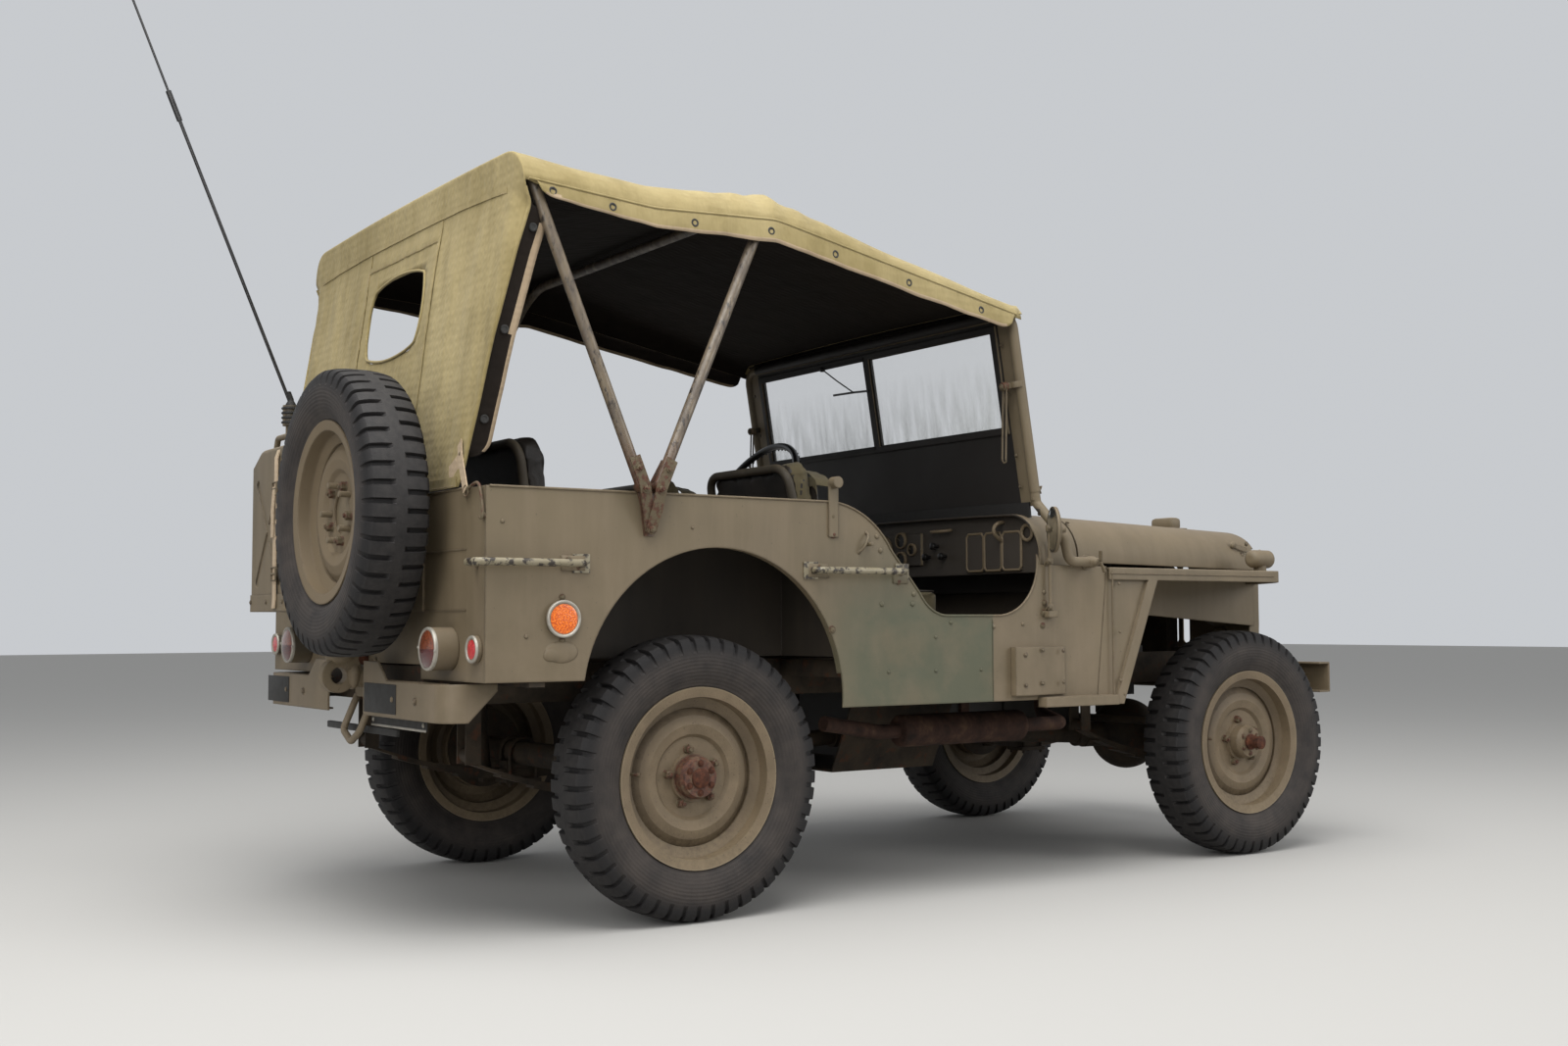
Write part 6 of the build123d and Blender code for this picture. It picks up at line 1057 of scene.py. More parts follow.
class ARMYCAR_OT_canvas_top(bpy.types.Operator):
    """Canvas roof and rear curtain in one sheet, with its window, flaps, hems, seams and eyelets"""

    bl_idname = "armycar.canvas_top"
    bl_label = "Canvas Top"

    def execute(self, context):
        sizes = context.scene.cloth_sizes
        top = self.main_sheet(sizes)
        pieces = [self.roof_flap(sizes, side) for side in SIDES]
        pieces += [self.curtain_flap(sizes, side) for side in SIDES]
        pieces += [self.front_hem(sizes), self.seams(), self.stitches(), self.eyelets(), self.corner_straps()]
        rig.sheet(
            top, flat=(1.56, 2.40), held="stretched", rests_on=["top_bows", "windscreen_frame"], area=3.30,
            with_pieces=pieces,
        )
        return {"FINISHED"}

    def main_sheet(self, sizes):
        """A grid laid over the roof, folded down at the ridge and drawn in to the curtain's hem."""
        rows = [("roof", -1060 + 1549 * k / 76) for k in range(77)]
        rows += [("roof", 495.0), ("roof", 501.0), ("curtain", 0.0), ("curtain", 0.006), ("curtain", 0.014)]
        rows += [("curtain", 0.03 + 0.97 * k / 44) for k in range(45)]
        bm = bmesh.new()
        bmesh.ops.create_grid(bm, x_segments=84, y_segments=len(rows) - 1, size=1.0)
        for vert in bm.verts:
            kind, place = rows[round((vert.co.y + 1) / 2 * (len(rows) - 1))]
            if kind == "roof":
                vert.co = roof_point(place, vert.co.x, sizes.ripple * 1000)
            else:
                vert.co = curtain_point(place, vert.co.x)
        near_ridge = [v for v in bm.verts if v.co.y > REAR_AXLE + 480 and v.co.z > 1730]
        for k in range(2):
            bmesh.ops.smooth_vert(bm, verts=near_ridge, factor=0.4, use_axis_y=True, use_axis_z=True)
        self.cut_window(bm)
        return self.canvas_piece("canvas_sheet", bm, sizes, (0, 0, 1), SHEET_FINISHES, ("canvas_top",))

    def canvas_piece(self, name, bm, sizes, outward, finishes, replaces=()):
        """Face a sheet outwards, finish it and give it its thickness."""
        bmesh.ops.recalc_face_normals(bm, faces=bm.faces)
        bm.normal_update()
        if sum(f.normal.dot(outward) for f in bm.faces) < 0:
            bmesh.ops.reverse_faces(bm, faces=bm.faces)
        piece = finish_piece(name, bm, finishes, "top_canvas", replaces=replaces, crease=80)
        doubled = piece.modifiers.new("Solidify", "SOLIDIFY")
        # The inner face takes the next finish: for the canvas, its inside in painted shade
        doubled.thickness, doubled.offset, doubled.material_offset = sizes.cloth, -1.0, 1
        return piece

    def cut_window(self, bm):
        """Drop the faces inside the window and draw its edge to a rounded outline."""
        wx, wz, half, rise, corner = WINDOW
        inside = []
        for face in bm.faces:
            centre = face.calc_center_median()
            if centre.y < REAR_AXLE + RIDGE:
                continue
            dx = max(0.0, abs(centre.x - wx) - (half - corner))
            dz = max(0.0, abs(centre.z - wz) - (rise - corner))
            if math.hypot(dx, dz) < corner:
                inside.append(face)
        rim = {v for f in inside for v in f.verts}
        bmesh.ops.delete(bm, geom=inside, context="FACES")
        for vert in rim:
            if not vert.is_valid:
                continue
            near_x = min(max(vert.co.x, wx - half + corner), wx + half - corner)
            near_z = min(max(vert.co.z, wz - rise + corner), wz + rise - corner)
            away = Vector((vert.co.x - near_x, 0, vert.co.z - near_z))
            if away.length > 0.1:
                away = away.normalized() * corner
                vert.co.x, vert.co.z = near_x + away.x, near_z + away.z

    def roof_flap(self, sizes, side):
        """The loose strip below the roof's eave, rounded at both ends, with a pale hem."""
        first, last = -1028.0, 468.0
        bm = bmesh.new()
        bmesh.ops.create_grid(bm, x_segments=150, y_segments=6, size=1.0)
        for vert in bm.verts:
            station = first + (last - first) * (vert.co.x + 1) / 2
            down = (1 - vert.co.y) / 2
            drop = sizes.valance * 1000 * between(FLAP_DROP, station)[0]
            depth = drop * rounded_end(station, first, last, 52) + 6
            out = 2.6 + down * (4.5 + flap_wave(station, side)) + 1.5 * math.sin(down * math.pi)
            rise = 6 - depth * down + down * 2.5 * cloud(station / 90, side, 6.0)
            vert.co = roof_point(station, side) + Vector((side * out, 0, rise))
        for face in bm.faces:
            centre = face.calc_center_median()
            station = centre.y - REAR_AXLE
            hem = roof_point(station, side).z - sizes.valance * 1000 * between(FLAP_DROP, station)[0] + 9
            face.material_index = 2 if centre.z < hem else 0
        return self.flap_piece("roof_flap_", bm, sizes, side)

    def front_hem(self, sizes):
        """The roof's front edge turned down over the windscreen's top rail."""
        bm = bmesh.new()
        bmesh.ops.create_grid(bm, x_segments=60, y_segments=4, size=1.0)
        for vert in bm.verts:
            down = (1 - vert.co.y) / 2
            wave = cloud(vert.co.x * 6, down, 8.0)
            turned_in = Vector((0, -3 * math.sin(down * math.pi) - wave * down, -46 * down))
            vert.co = roof_point(-1060, vert.co.x * 0.93) + turned_in
        return self.canvas_piece("roof_front_hem", bm, sizes, (0, -1, 0), SHEET_FINISHES)

    def flap_piece(self, name, bm, sizes, side):
        """A strip with the canvas's two sides and its pale hem."""
        name += "right" if side < 0 else "left"
        return self.canvas_piece(name, bm, sizes, (side, 0, 0), (*SHEET_FINISHES, WEBBING))

    def curtain_flap(self, sizes, side):
        """The strip along the curtain's slanted edge, turned forwards, in painted shade with a pale far hem."""
        high, low = 1712.0, 1120.0
        bm = bmesh.new()
        bmesh.ops.create_grid(bm, x_segments=70, y_segments=6, size=1.0)
        for vert in bm.verts:
            z = high + (low - high) * (vert.co.x + 1) / 2
            forward = (1 - vert.co.y) / 2
            width = 54 * rounded_end(z, low, high, 45) + 3
            half, station = curtain_edge(z)
            bow_out = 6 * math.sin(forward * math.pi) + 2.5 * cloud(z / 60, forward, 2.0 + side)
            x = side * (half - 4 - 10 * forward - bow_out * 0.5)
            vert.co = at(x, station - 2 - forward * width, z - 8 * forward)
        for face in bm.faces:
            centre = face.calc_center_median()
            edge = REAR_AXLE + curtain_edge(min(centre.z, SLOPE))[1]
            # Painted shade over the strip, but for its pale far hem
            face.material_index = 2 if edge - centre.y > 46 else 1
        return self.flap_piece("curtain_flap_", bm, sizes, side)

    def seams(self):
        """Doubled seams and hems on the cloth: below the ridge, round the window and along the edges."""
        bm = bmesh.new()
        run = steps(40)
        wx, wz, half, rise, corner = WINDOW
        reach = half + SEAM_GAP
        lines = [[on_curtain(-640 + 1280 * s, 1762 - 16 * abs(2 * s - 1) ** 3, 1.2) for s in run]]
        lines += [[on_curtain(wx + way * reach, 1180 + 570 * s, 1.2) for s in run] for way in SIDES]
        lines.append([on_curtain(wx - reach + 2 * reach * s, wz + rise + SEAM_GAP, 1.2) for s in run])
        for line in lines:
            flat = line[-1] - line[0]
            add_ribbon(bm, line, (-flat.z, 0, flat.x), 15, 1.6)
        add_ribbon(bm, [on_curtain(-588 + 1176 * s, HEM + 12, 0.8) for s in run], (0, 0, 1), 24, 2.0)
        front = [roof_point(-1052, -0.98 + 1.96 * s) + Vector((0, 0, 1.0)) for s in run]
        add_ribbon(bm, front, (0, 1, 0), 26, 2.0)
        outline = []
        for way in oval(Vector(), (1, 0, 0), (0, 0, 1), 40):
            # Corners of the window, and the round about each of them
            near_x = min(max(way.x * (half - corner) * 1.42, corner - half), half - corner)
            near_z = min(max(way.z * (rise - corner) * 1.42, corner - rise), rise - corner)
            away = way * (corner + 5)
            outline.append(on_curtain(wx + near_x + away.x, wz + near_z + away.z, 1.0))
        add_wire(bm, outline, 4.0, closed=True, sides=2)
        for side in SIDES:
            rim = []
            for s in run:
                z = SLOPE - 650 * (1 - s)
                half_there, station = curtain_edge(z)
                rim.append(at(side * half_there, station + curtain_relief(side * half_there, z) * 0.6, z))
            add_wire(bm, rim, 4.6, sides=2)
            eave = [roof_point(-1040 + 1530 * s, side) + Vector((side * 2.0, 0, 8)) for s in run]
            add_wire(bm, eave, 3.4, sides=2)
        return finish_piece("canvas_seams", bm, CANVAS, "top_canvas", crease=60)

    def stitches(self):
        """Rows of thread along the seams and hems, 9 mm a stitch."""
        bm = bmesh.new()
        wx, wz, half, rise, corner = WINDOW
        rows = []
        for offset in (-5, 5):
            ridge = [(9 * k - 636, 1762 + offset - 16 * abs(9 * k / 636 - 1) ** 3) for k in range(142)]
            rows += [
                [on_curtain(x, z, 2.2) for x, z in ridge],
                [on_curtain(-580 + 9 * k, HEM + 12 + offset * 1.6, 2.4) for k in range(130)],
                [on_curtain(wx - half - SEAM_GAP + offset, 1184 + 9 * k, 2.2) for k in range(62)],
                [on_curtain(wx + half + SEAM_GAP + offset, 1184 + 9 * k, 2.2) for k in range(62)],
                [on_curtain(wx - half - 52 + 9 * k, wz + rise + SEAM_GAP + offset, 2.2) for k in range(54)],
            ]
        for row in rows:
            for start, end in zip(row, row[1:]):
                add_cone(bm, start.lerp(end, 0.12), start.lerp(end, 0.78), 0.55, 0.55, 4, caps=False)
        return finish_piece("canvas_stitches", bm, WEBBING, "top_canvas")

    def eyelets(self):
        """Blackened brass eyelets down the roof flaps and the curtain's flaps."""
        bm = bmesh.new()
        ring = ((-1.0, 6.2), (1.0, 5.4), (2.2, 7.0), (2.0, 9.6), (0.2, 11.0), (-1.0, 11.0))
        for side in SIDES:
            for station in (-900, -640, -390, -185, 40, 270, 430):
                drop = 29 * between(FLAP_DROP, station)[0]
                out = 5.4 + 0.5 * flap_wave(station, side)
                place = roof_point(station, side) + Vector((side * out, 0, 2 - drop))
                add_lathe(bm, place, (side, 0, 0), ring, 16)
                add_cone(bm, place - Vector((side * 0.6, 0, 0)), place + Vector((side * 0.6, 0, 0)), 6, 6, 12)
            for share in (0.13, 0.5, 0.82):
                z = 1735 + (1087 - 1735) * share
                half, station = curtain_edge(z)
                place = at(side * (half - 7), station - 27, z)
                add_lathe(bm, place, (side, 0.1, 0), ring, 16)
                add_cone(bm, place, place + Vector((side * 1.0, 0, 0)), 6, 6, 12)
        return finish_piece("canvas_eyelets", bm, PLATE_PAINT, "black_plastic")

    def corner_straps(self):
        """Webbing strap, ring and long hook that draw each bottom corner of the curtain to the body."""
        straps, hooks = bmesh.new(), bmesh.new()
        for side in SIDES:
            top, ring = on_curtain(side * 598, 1112, 3), at(side * 652, 608, 1034)
            tail = [on_curtain(side * 584, 1150, 3), top, top.lerp(ring, 0.55), ring]
            add_ribbon(straps, tail, (0.8, 0, 0.6 * side), 26, 2.6)
            patch = [on_curtain(side * 540, 1074, 2.6), on_curtain(side * 600, 1108, 2.6)]
            add_ribbon(straps, patch, (0, 0, 1), 46, 1.8)
            ring = ring - Vector((0, 0, 2))
            add_wire(hooks, oval(ring, (side * 13, 0, 0), (0, 0, 13), 10), 2.6, closed=True, sides=2)
            hook = [ring + Vector((side * 10, 0, 4))]
            for x, station, z in (
                (700, 607, 1050), (724, 607, 1044), (738, 608, 1012), (746, 608, 975), (742, 610, 962),
                (734, 610, 968),
            ):
                hook.append(at(side * x, station, z))
            add_wire(hooks, hook, 3.6, sides=2)
            add_rivet(hooks, at(side * 738, 602, 972), (0, 1, 0), 8)
            add_bolt(hooks, on_curtain(side * 594, 1122, 4), (0, 1, 0), 4, sides=10)
        finish_piece("curtain_hooks", hooks, RUSTING, "rusty_pipe")
        return finish_piece("curtain_straps", straps, WEBBING, "top_canvas")


def applied(piece):
    """A copy of the piece's mesh as its modifiers leave it; they are removed."""
    shape = bpy.data.meshes.new_from_object(piece.evaluated_get(bpy.context.evaluated_depsgraph_get()))
    piece.modifiers.clear()
    return shape


def swell(piece, limit, behind):
    """Blow a closed cushion up as its stuffing does, each point moved by no more than the limit in metres;
    faces that look aft take the finish named as behind."""
    remesh = piece.modifiers.new("Remesh", "REMESH")
    remesh.mode, remesh.voxel_size = "VOXEL", 0.0063
    scene = bpy.context.scene
    finish = piece.data.materials[0]
    shape = piece.data = applied(piece)
    rest = [v.co.copy() for v in shape.vertices]
    grown = rest
    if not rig.quick():
        cloth_sim = piece.modifiers.new("Cloth", "CLOTH")
        settings = cloth_sim.settings
        settings.use_pressure, settings.uniform_pressure_force = True, 4.0
        settings.effector_weights.gravity = 0.0
        settings.quality = 4
        cloth_sim.collision_settings.use_collision = False
        cloth_sim.point_cache.frame_start, cloth_sim.point_cache.frame_end = 1, 20
        for tick in range(1, 21):
            scene.frame_set(tick)
        grown = [v.co.copy() for v in applied(piece).vertices]
        scene.frame_set(1)
    for vert, before, after in zip(shape.vertices, rest, grown):
        move = after - before
        if move.length > limit:
            move *= limit / move.length
        vert.co = before + move
    shape.materials.clear()
    shape.materials.append(finish)
    shape.materials.append(materials[behind])
    for face in shape.polygons:
        face.use_smooth = True
        face.material_index = int(face.normal.y > 0.4)
    softened = piece.modifiers.new("Subdivision", "SUBSURF")
    softened.levels = softened.render_levels = 1


class ARMYCAR_OT_cushions(bpy.types.Operator):
    """Stuffed seat cushions blown up from their own shape, with piping, back boards and their covers"""

    bl_idname = "armycar.cushions"
    bl_label = "Cushions"

    def execute(self, context):
        limit = context.scene.cloth_sizes.swell
        piping = bmesh.new()
        for node_name in ("front_seat_cushions", "rear_seat_cushions"):
            self.from_node(node_name, limit, piping)
        finish_piece("cushion_piping", piping, SEAT_CLOTH, "seat_canvas")
        self.boards()
        return {"FINISHED"}

    def from_node(self, node_name, limit, piping):
        """One piece for each loose cushion of the CAD node, a little smaller before it swells."""
        source = bmesh.new()
        source.from_mesh(frame["nodes"][node_name].data)
        bmesh.ops.remove_doubles(source, verts=source.verts, dist=0.00001)
        left = set(source.verts)
        while left:
            island, edge_of = set(), [next(iter(left))]
            while edge_of:
                vert = edge_of.pop()
                if vert not in island:
                    island.add(vert)
                    edge_of += [e.other_vert(vert) for e in vert.link_edges]
            left -= island
            self.one(node_name, source, island, limit, piping)
        source.free()

    def one(self, node_name, source, island, limit, piping):
        bm = source.copy()
        bm.verts.ensure_lookup_table()
        places = {v.index for v in island}
        bmesh.ops.delete(bm, geom=[v for v in bm.verts if v.index not in places], context="VERTS")
        low = Vector([min(v.co[k] for v in bm.verts) for k in range(3)])
        high = Vector([max(v.co[k] for v in bm.verts) for k in range(3)])
        middle = (low + high) / 2
        # 6 mm off every side leaves room to swell in
        shares = [max(0.0, 1 - 0.006 / max(1e-6, half)) for half in (high - low) / 2]
        for vert in bm.verts:
            vert.co = middle + Vector([a * share for a, share in zip(vert.co - middle, shares)])
        mesh = bpy.data.meshes.new("cushion")
        bm.to_mesh(mesh)
        bm.free()
        upright = (high - low).z > 0.2
        front = node_name.startswith("front")
        finish = SEAT_CANVAS if front else SEAT_CLOTH
        mesh.materials.clear()
        mesh.materials.append(materials[finish])
        kind, side = "back" if upright else "pad", "right" if middle.x < 0 else "left"
        piece = bpy.data.objects.new(f"front_seat_{kind}_{side}" if front else f"bench_{kind}", mesh)
        bpy.context.scene.collection.objects.link(piece)
        swell(piece, limit, SEAT_CLOTH if upright else finish)
        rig.ride(piece, "car")
        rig.slot(piece, "seat_canvas")
        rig.replaces(piece, node_name)
        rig.padded(piece, fill=0.75)
        if not upright:
            half = (high - low) * 500
            corners = []
            for way in oval(Vector(), (1.25, 0, 0), (0, 1.25, 0), 48):
                x, y = (max(-1.0, min(1.0, share)) * (reach - 8) for share, reach in zip(way.xy, half.xy))
                corners.append(middle * 1000 + Vector((x, y, half.z + 1)))
            add_wire(piping, corners, 3.2, closed=True, sides=2)

    def arch(self, top, rise, drop, half, count):
        """Points over the top of a seat's back, from its left shoulder to its right one."""
        turns = [math.pi * share for share in steps(count)]
        return [top + rise * (drop + 60 * math.sin(a)) + Vector((math.cos(a) * half, 0, 0)) for a in turns]

    def boards(self):
        """Black board behind each front back, with the canvas cover's edge folded over it."""
        board, cover = bmesh.new(), bmesh.new()
        for side in SIDES:
            low, high = at(side * 340, -490, 800), at(side * 340, -462, 1152)
            rise = (high - low).normalized()
            outline = self.arch(high, rise, -60, 204, 12) + [low + Vector((x, 0, 0)) for x in (-204, 204)]
            add_plate(board, [p + Vector((0, 8, 0)) for p in outline], (0, 5, 0), 1.2)
            path = self.arch(high, rise, -58, 209, 30)
            strip = [p + Vector((0, -10, 3.5 + 1.2 * math.sin(k * 2.1))) for k, p in enumerate(path)]
            add_ribbon(cover, strip, (0, 1, 0.08), 54, 2.4)
            edge = []
            for k, place in enumerate(path):
                edge.append(place + Vector((0, 16.5 + 0.8 * math.sin(k * 1.7), -14 if 4 < k < 26 else -6)))
            add_ribbon(cover, edge, rise, 26, 2.0)
        finish_piece("seat_back_boards", board, SEAT_CLOTH, "seat_canvas")
        finish_piece("seat_back_covers", cover, SEAT_CANVAS, "seat_canvas", crease=70)


# Bolts and rivets of the body's side: station, height, size, sides of the head
SIDE_FASTENERS = (
    (-357, 711, 6, 6), (-359, 1001, 6, 6), (-362, 955, 6, 6), (-504, 954, 6, 0), (-515, 917, 6, 0),
    (-626, 804, 6, 0), (-621, 778, 6, 0), (-519, 777, 6, 0), (-754, 729, 5, 0), (-908, 717, 5, 0),
    (-1015, 724, 5, 0), (-317, 871, 6, 6), (-345, 849, 4, 0), (-581, 858, 6, 6), (-575, 836, 5, 6),
    (397, 877, 6, 6), (370, 858, 5, 6), (410, 790, 4, 10), (410, 691, 4, 10), (-1097, 813, 5, 0),
    (-1097, 783, 5, 6), (-1092, 754, 6, 6), (-1090, 719, 5, 6), (500, 700, 4, 0), (560, 960, 4, 0),
    (60, 960, 3, 0), (-700, 690, 4, 0), (-860, 600, 4, 0), (-700, 600, 4, 0), (-540, 600, 4, 0),
)
BOX_BOLTS = ((-1003, 638), (-1003, 555), (-1068, 651), (-1067, 559), (-1146, 649), (-1146, 561))
# Each bow's foot and the direction of its tube upwards, as (station, height)
BOW_FEET = (((212.0, 1052.0), (0.337, 0.942)), ((166.0, 1052.0), (-0.438, 0.899)))
BOW_ROOT = (183.0, 952.0)


def arc(start, through, end):
    """Places along the circle through three (station, height) points."""
    a, b, c = (Vector((*p, 0.0)) for p in (start, through, end))
    u, v = b - a, c - a
    normal = u.cross(v)
    away = v.length_squared * normal.cross(u) + u.length_squared * v.cross(normal)
    centre = a + away / (2 * normal.length_squared)
    turn = (a - centre).angle(b - centre) + (b - centre).angle(c - centre)
    spins = [Matrix.Rotation(turn * share, 3, normal) for share in steps(10)]
    return [tuple((centre + spin @ (a - centre)).xy) for spin in spins]


class ARMYCAR_OT_body_fittings(bpy.types.Operator):
    """Bolts, rivets, seams, hooks, handle feet, blisters and bracket plates of the body's sides"""

    bl_idname = "armycar.body_fittings"
    bl_label = "Body Fittings"

    def execute(self, context):
        bolts, painted, rusty = bmesh.new(), bmesh.new(), bmesh.new()
        for side in SIDES:
            out = Vector((side, 0, 0))
            for station, z, size, sides in SIDE_FASTENERS:
                place = at(side * BODY_SIDE, station, z)
                if sides:
                    add_bolt(bolts, place, out, size + 1.5, sides=sides)
                else:
                    add_rivet(painted, place, out, size + 1.5)
            for station, z in BOX_BOLTS:
                add_bolt(painted, at(side * (BODY_SIDE + 23), station, z), out, 4.5)
            self.handle_feet(painted, side)
            self.small_hook(painted, side)
            self.blister(painted, side)
            self.door_edge(painted, side)
            self.bow_cheeks(rusty, side)
            # Body seam behind the cowl, and its cover strip
            seam = [at(side * (BODY_SIDE + 0.4), -903, z) for z in (735, 640, 560, 514)]
            add_ribbon(painted, seam, (0, 1, 0), 3.0, 0.8)
        finish_piece("body_bolts", bolts, RUSTING, "olive_paint")
        finish_piece("body_small_fittings", painted, OLIVE, "olive_paint")
        finish_piece("bow_bracket_hardware", rusty, RUSTING, "rusty_pipe")
        return {"FINISHED"}

    def handle_feet(self, bm, side):
        """Flat feet that the grab handles are bolted through."""
        for station, z, long, tall in ((-313, 862, 62, 36), (-580, 848, 50, 34), (383, 868, 62, 36)):
            middle = at(side * (BODY_SIDE + 1.6), station, z)
            reach = Vector((1.6, long / 2, tall / 2))
            add_box(bm, middle - reach, middle + reach, 1.2)

    def small_hook(self, bm, side):
        """Slanted wire hook above the front handle."""
        face = side * BODY_SIDE
        shape = ((0, -470, 962), (16, -468, 958), (16, -448, 916), (0, -445, 911))
        points = [at(face + side * proud, station, z) for proud, station, z in shape]
        add_wire(bm, points, 3.2, sides=2)
        for foot in (points[0], points[-1]):
            add_rivet(bm, foot, (side, 0, 0), 6)

    def blister(self, bm, side):
        """Shallow pressed blister below the side reflector."""
        for station, z, wide, tall in ((411, 664, 44, 26), (438, 656, 20, 14)):
            add_ball(bm, at(side * (BODY_SIDE - 1), station, z), (5.0, wide, tall))

    def door_edge(self, bm, side):
        """Rolled edge along the body's top and round the doorway's cut-out."""
        edge = [(592.0, 1040.0)]
        for start, through, end in (
            ((-361, 1040), (-470, 1003), (-552, 918)),
            ((-648, 806), (-682, 768), (-735, 748)),
            ((-935, 748), (-1032, 795), (-1072, 900)),
        ):
            edge += arc(start, through, end)
        add_wire(bm, [at(side * BODY_SIDE, s, z - 1) for s, z in edge], 3.2, False, sides=2)

    def bow_cheeks(self, bm, side):
        """Flat cheeks clamped over each bow's foot and drawn in to one root bolt on the body's side."""
        root = at(side * (BODY_SIDE + 8), *BOW_ROOT)
        out = Vector((side, 0, 0))
        for order, (foot, (aft, rise)) in enumerate(BOW_FEET):
            low = at(side * (BODY_SIDE + 34), *foot)
            high = low + Vector((-side * 7, aft * 74, rise * 74))
            step = Vector((side * 5 * order, 0, 0))
            add_ribbon(bm, [high, low, low.lerp(root, 0.5) + step, root + step], (0, rise, -aft), 29, 4.5)
            for place in (low + (high - low) * 0.62, low - Vector((0, aft * 6, rise * 6))):
                add_bolt(bm, place + out * 2, out, 8.5, rise=0.7)
                add_cone(bm, place + out * 2, place + out * 15, 4.5, 4.2, 10)
        add_bolt(bm, root + out * 8, out, 9.5, rise=0.8)
        add_cone(bm, root - out * 8, root + out * 18, 5.5, 5.0, 10)
        add_bolt(bm, at(side * (BODY_SIDE + 4.5), 186, 990), out, 7)


def lens_ring(rings, lenses, centre, out, radius, depth, dome, split=False):
    """A lamp's or reflector's glass in its rolled ring; a split glass's lower half has a second finish."""
    ring = ((0, 0), (depth, 0), (depth + 2.5, -1.5), (depth + 3, -4), (depth + 0.5, -7.5), (depth - 2, -8))
    add_lathe(rings, centre, out, [(along, radius + step) for along, step in ring], 40)
    rounds = [share * math.pi / 2 for share in steps(8)]
    profile = [(depth - 1 + dome * math.cos(a), (radius - 6) * math.sin(a)) for a in rounds]
    made = turned(centre, out, profile, 40)
    if split:
        whole = made.verts[:] + made.edges[:] + made.faces[:]
        bmesh.ops.bisect_plane(made, geom=whole, plane_co=centre, plane_no=(0, 0, 1))
        for face in made.faces:
            face.material_index = 1 if face.calc_center_median().z < centre.z else 0
    pour(lenses, made)


class ARMYCAR_OT_lamps(bpy.types.Operator):
    """Glasses, rolled rings and screws of the tail lamps, reflectors, headlamps, markers and wing lamps"""

    bl_idname = "armycar.lamps"
    bl_label = "Lamps and Reflectors"

    def execute(self, context):
        rings, tail, red, amber, clear = (bmesh.new() for k in range(5))
        back, front = Vector((0, 1, 0)), Vector((0, -1, 0))
        for x in (-556, 452):
            lens_ring(rings, tail, at(x, 652.3, 672), back, 50.5, 6, 9, split=True)
            add_rivet(rings, at(x - 49, 661, 668), back, 4)
            add_rivet(rings, at(x + 49, 661, 676), back, 4)
        for side in SIDES:
            lens_ring(rings, red, at(side * 703, 611, 672), back, 31.5, 3, 2.5)
            for angle in (0.9, 3.6):
                place = at(side * 703, 613, 672) + Vector((math.cos(angle) * 29, 0, math.sin(angle) * 29))
                add_rivet(rings, place, back, 3.4)
            out = Vector((side, 0, 0))
            lens_ring(rings, amber, at(side * (BODY_SIDE + 8), 410, 740), out, 43.5, 3, 2.5)
            lens_ring(rings, clear, at(side * 358, -2292, 806), front, 91, 4, 16)
            lens_ring(rings, amber, at(side * 358, -2293, 674), front, 31, 3, 6)
            lens_ring(rings, clear, at(side * 640, -2188, 929), front, 27, 2, 7)
            add_rivet(rings, at(side * 640, -2150, 959), (0, 0, 1), 4)
        finish_piece("lamp_rings", rings, ALUMINIUM, "lamp_housing", crease=50)
        halves = ("faded orange lamp plastic", "dark red lamp plastic")
        finish_piece("tail_lamp_glasses", tail, halves, "lamp_housing")
        finish_piece("red_reflectors", red, "red reflector plastic", "lamp_housing")
        finish_piece("amber_reflectors", amber, "amber reflector plastic", "lamp_housing")
        finish_piece("clear_lamp_glasses", clear, "clear ribbed lamp glass", "screen_glass")
        return {"FINISHED"}


SCREEN_FOOT = (0.0, -1133.0, 1062.0)
SCREEN_LEAN = math.radians(9.5)
# Middle of a mirror's face, and how far it is turned inwards
MIRROR = (790, -1090, 987)
MIRROR_TURN = math.radians(30)


def on_screen(x, up, lift=0.0):
    """Point on the leaning windscreen; lift is towards the seats."""
    station = SCREEN_FOOT[1] + up * math.sin(SCREEN_LEAN) + lift * math.cos(SCREEN_LEAN)
    return at(x, station, SCREEN_FOOT[2] + up * math.cos(SCREEN_LEAN) - lift * math.sin(SCREEN_LEAN))


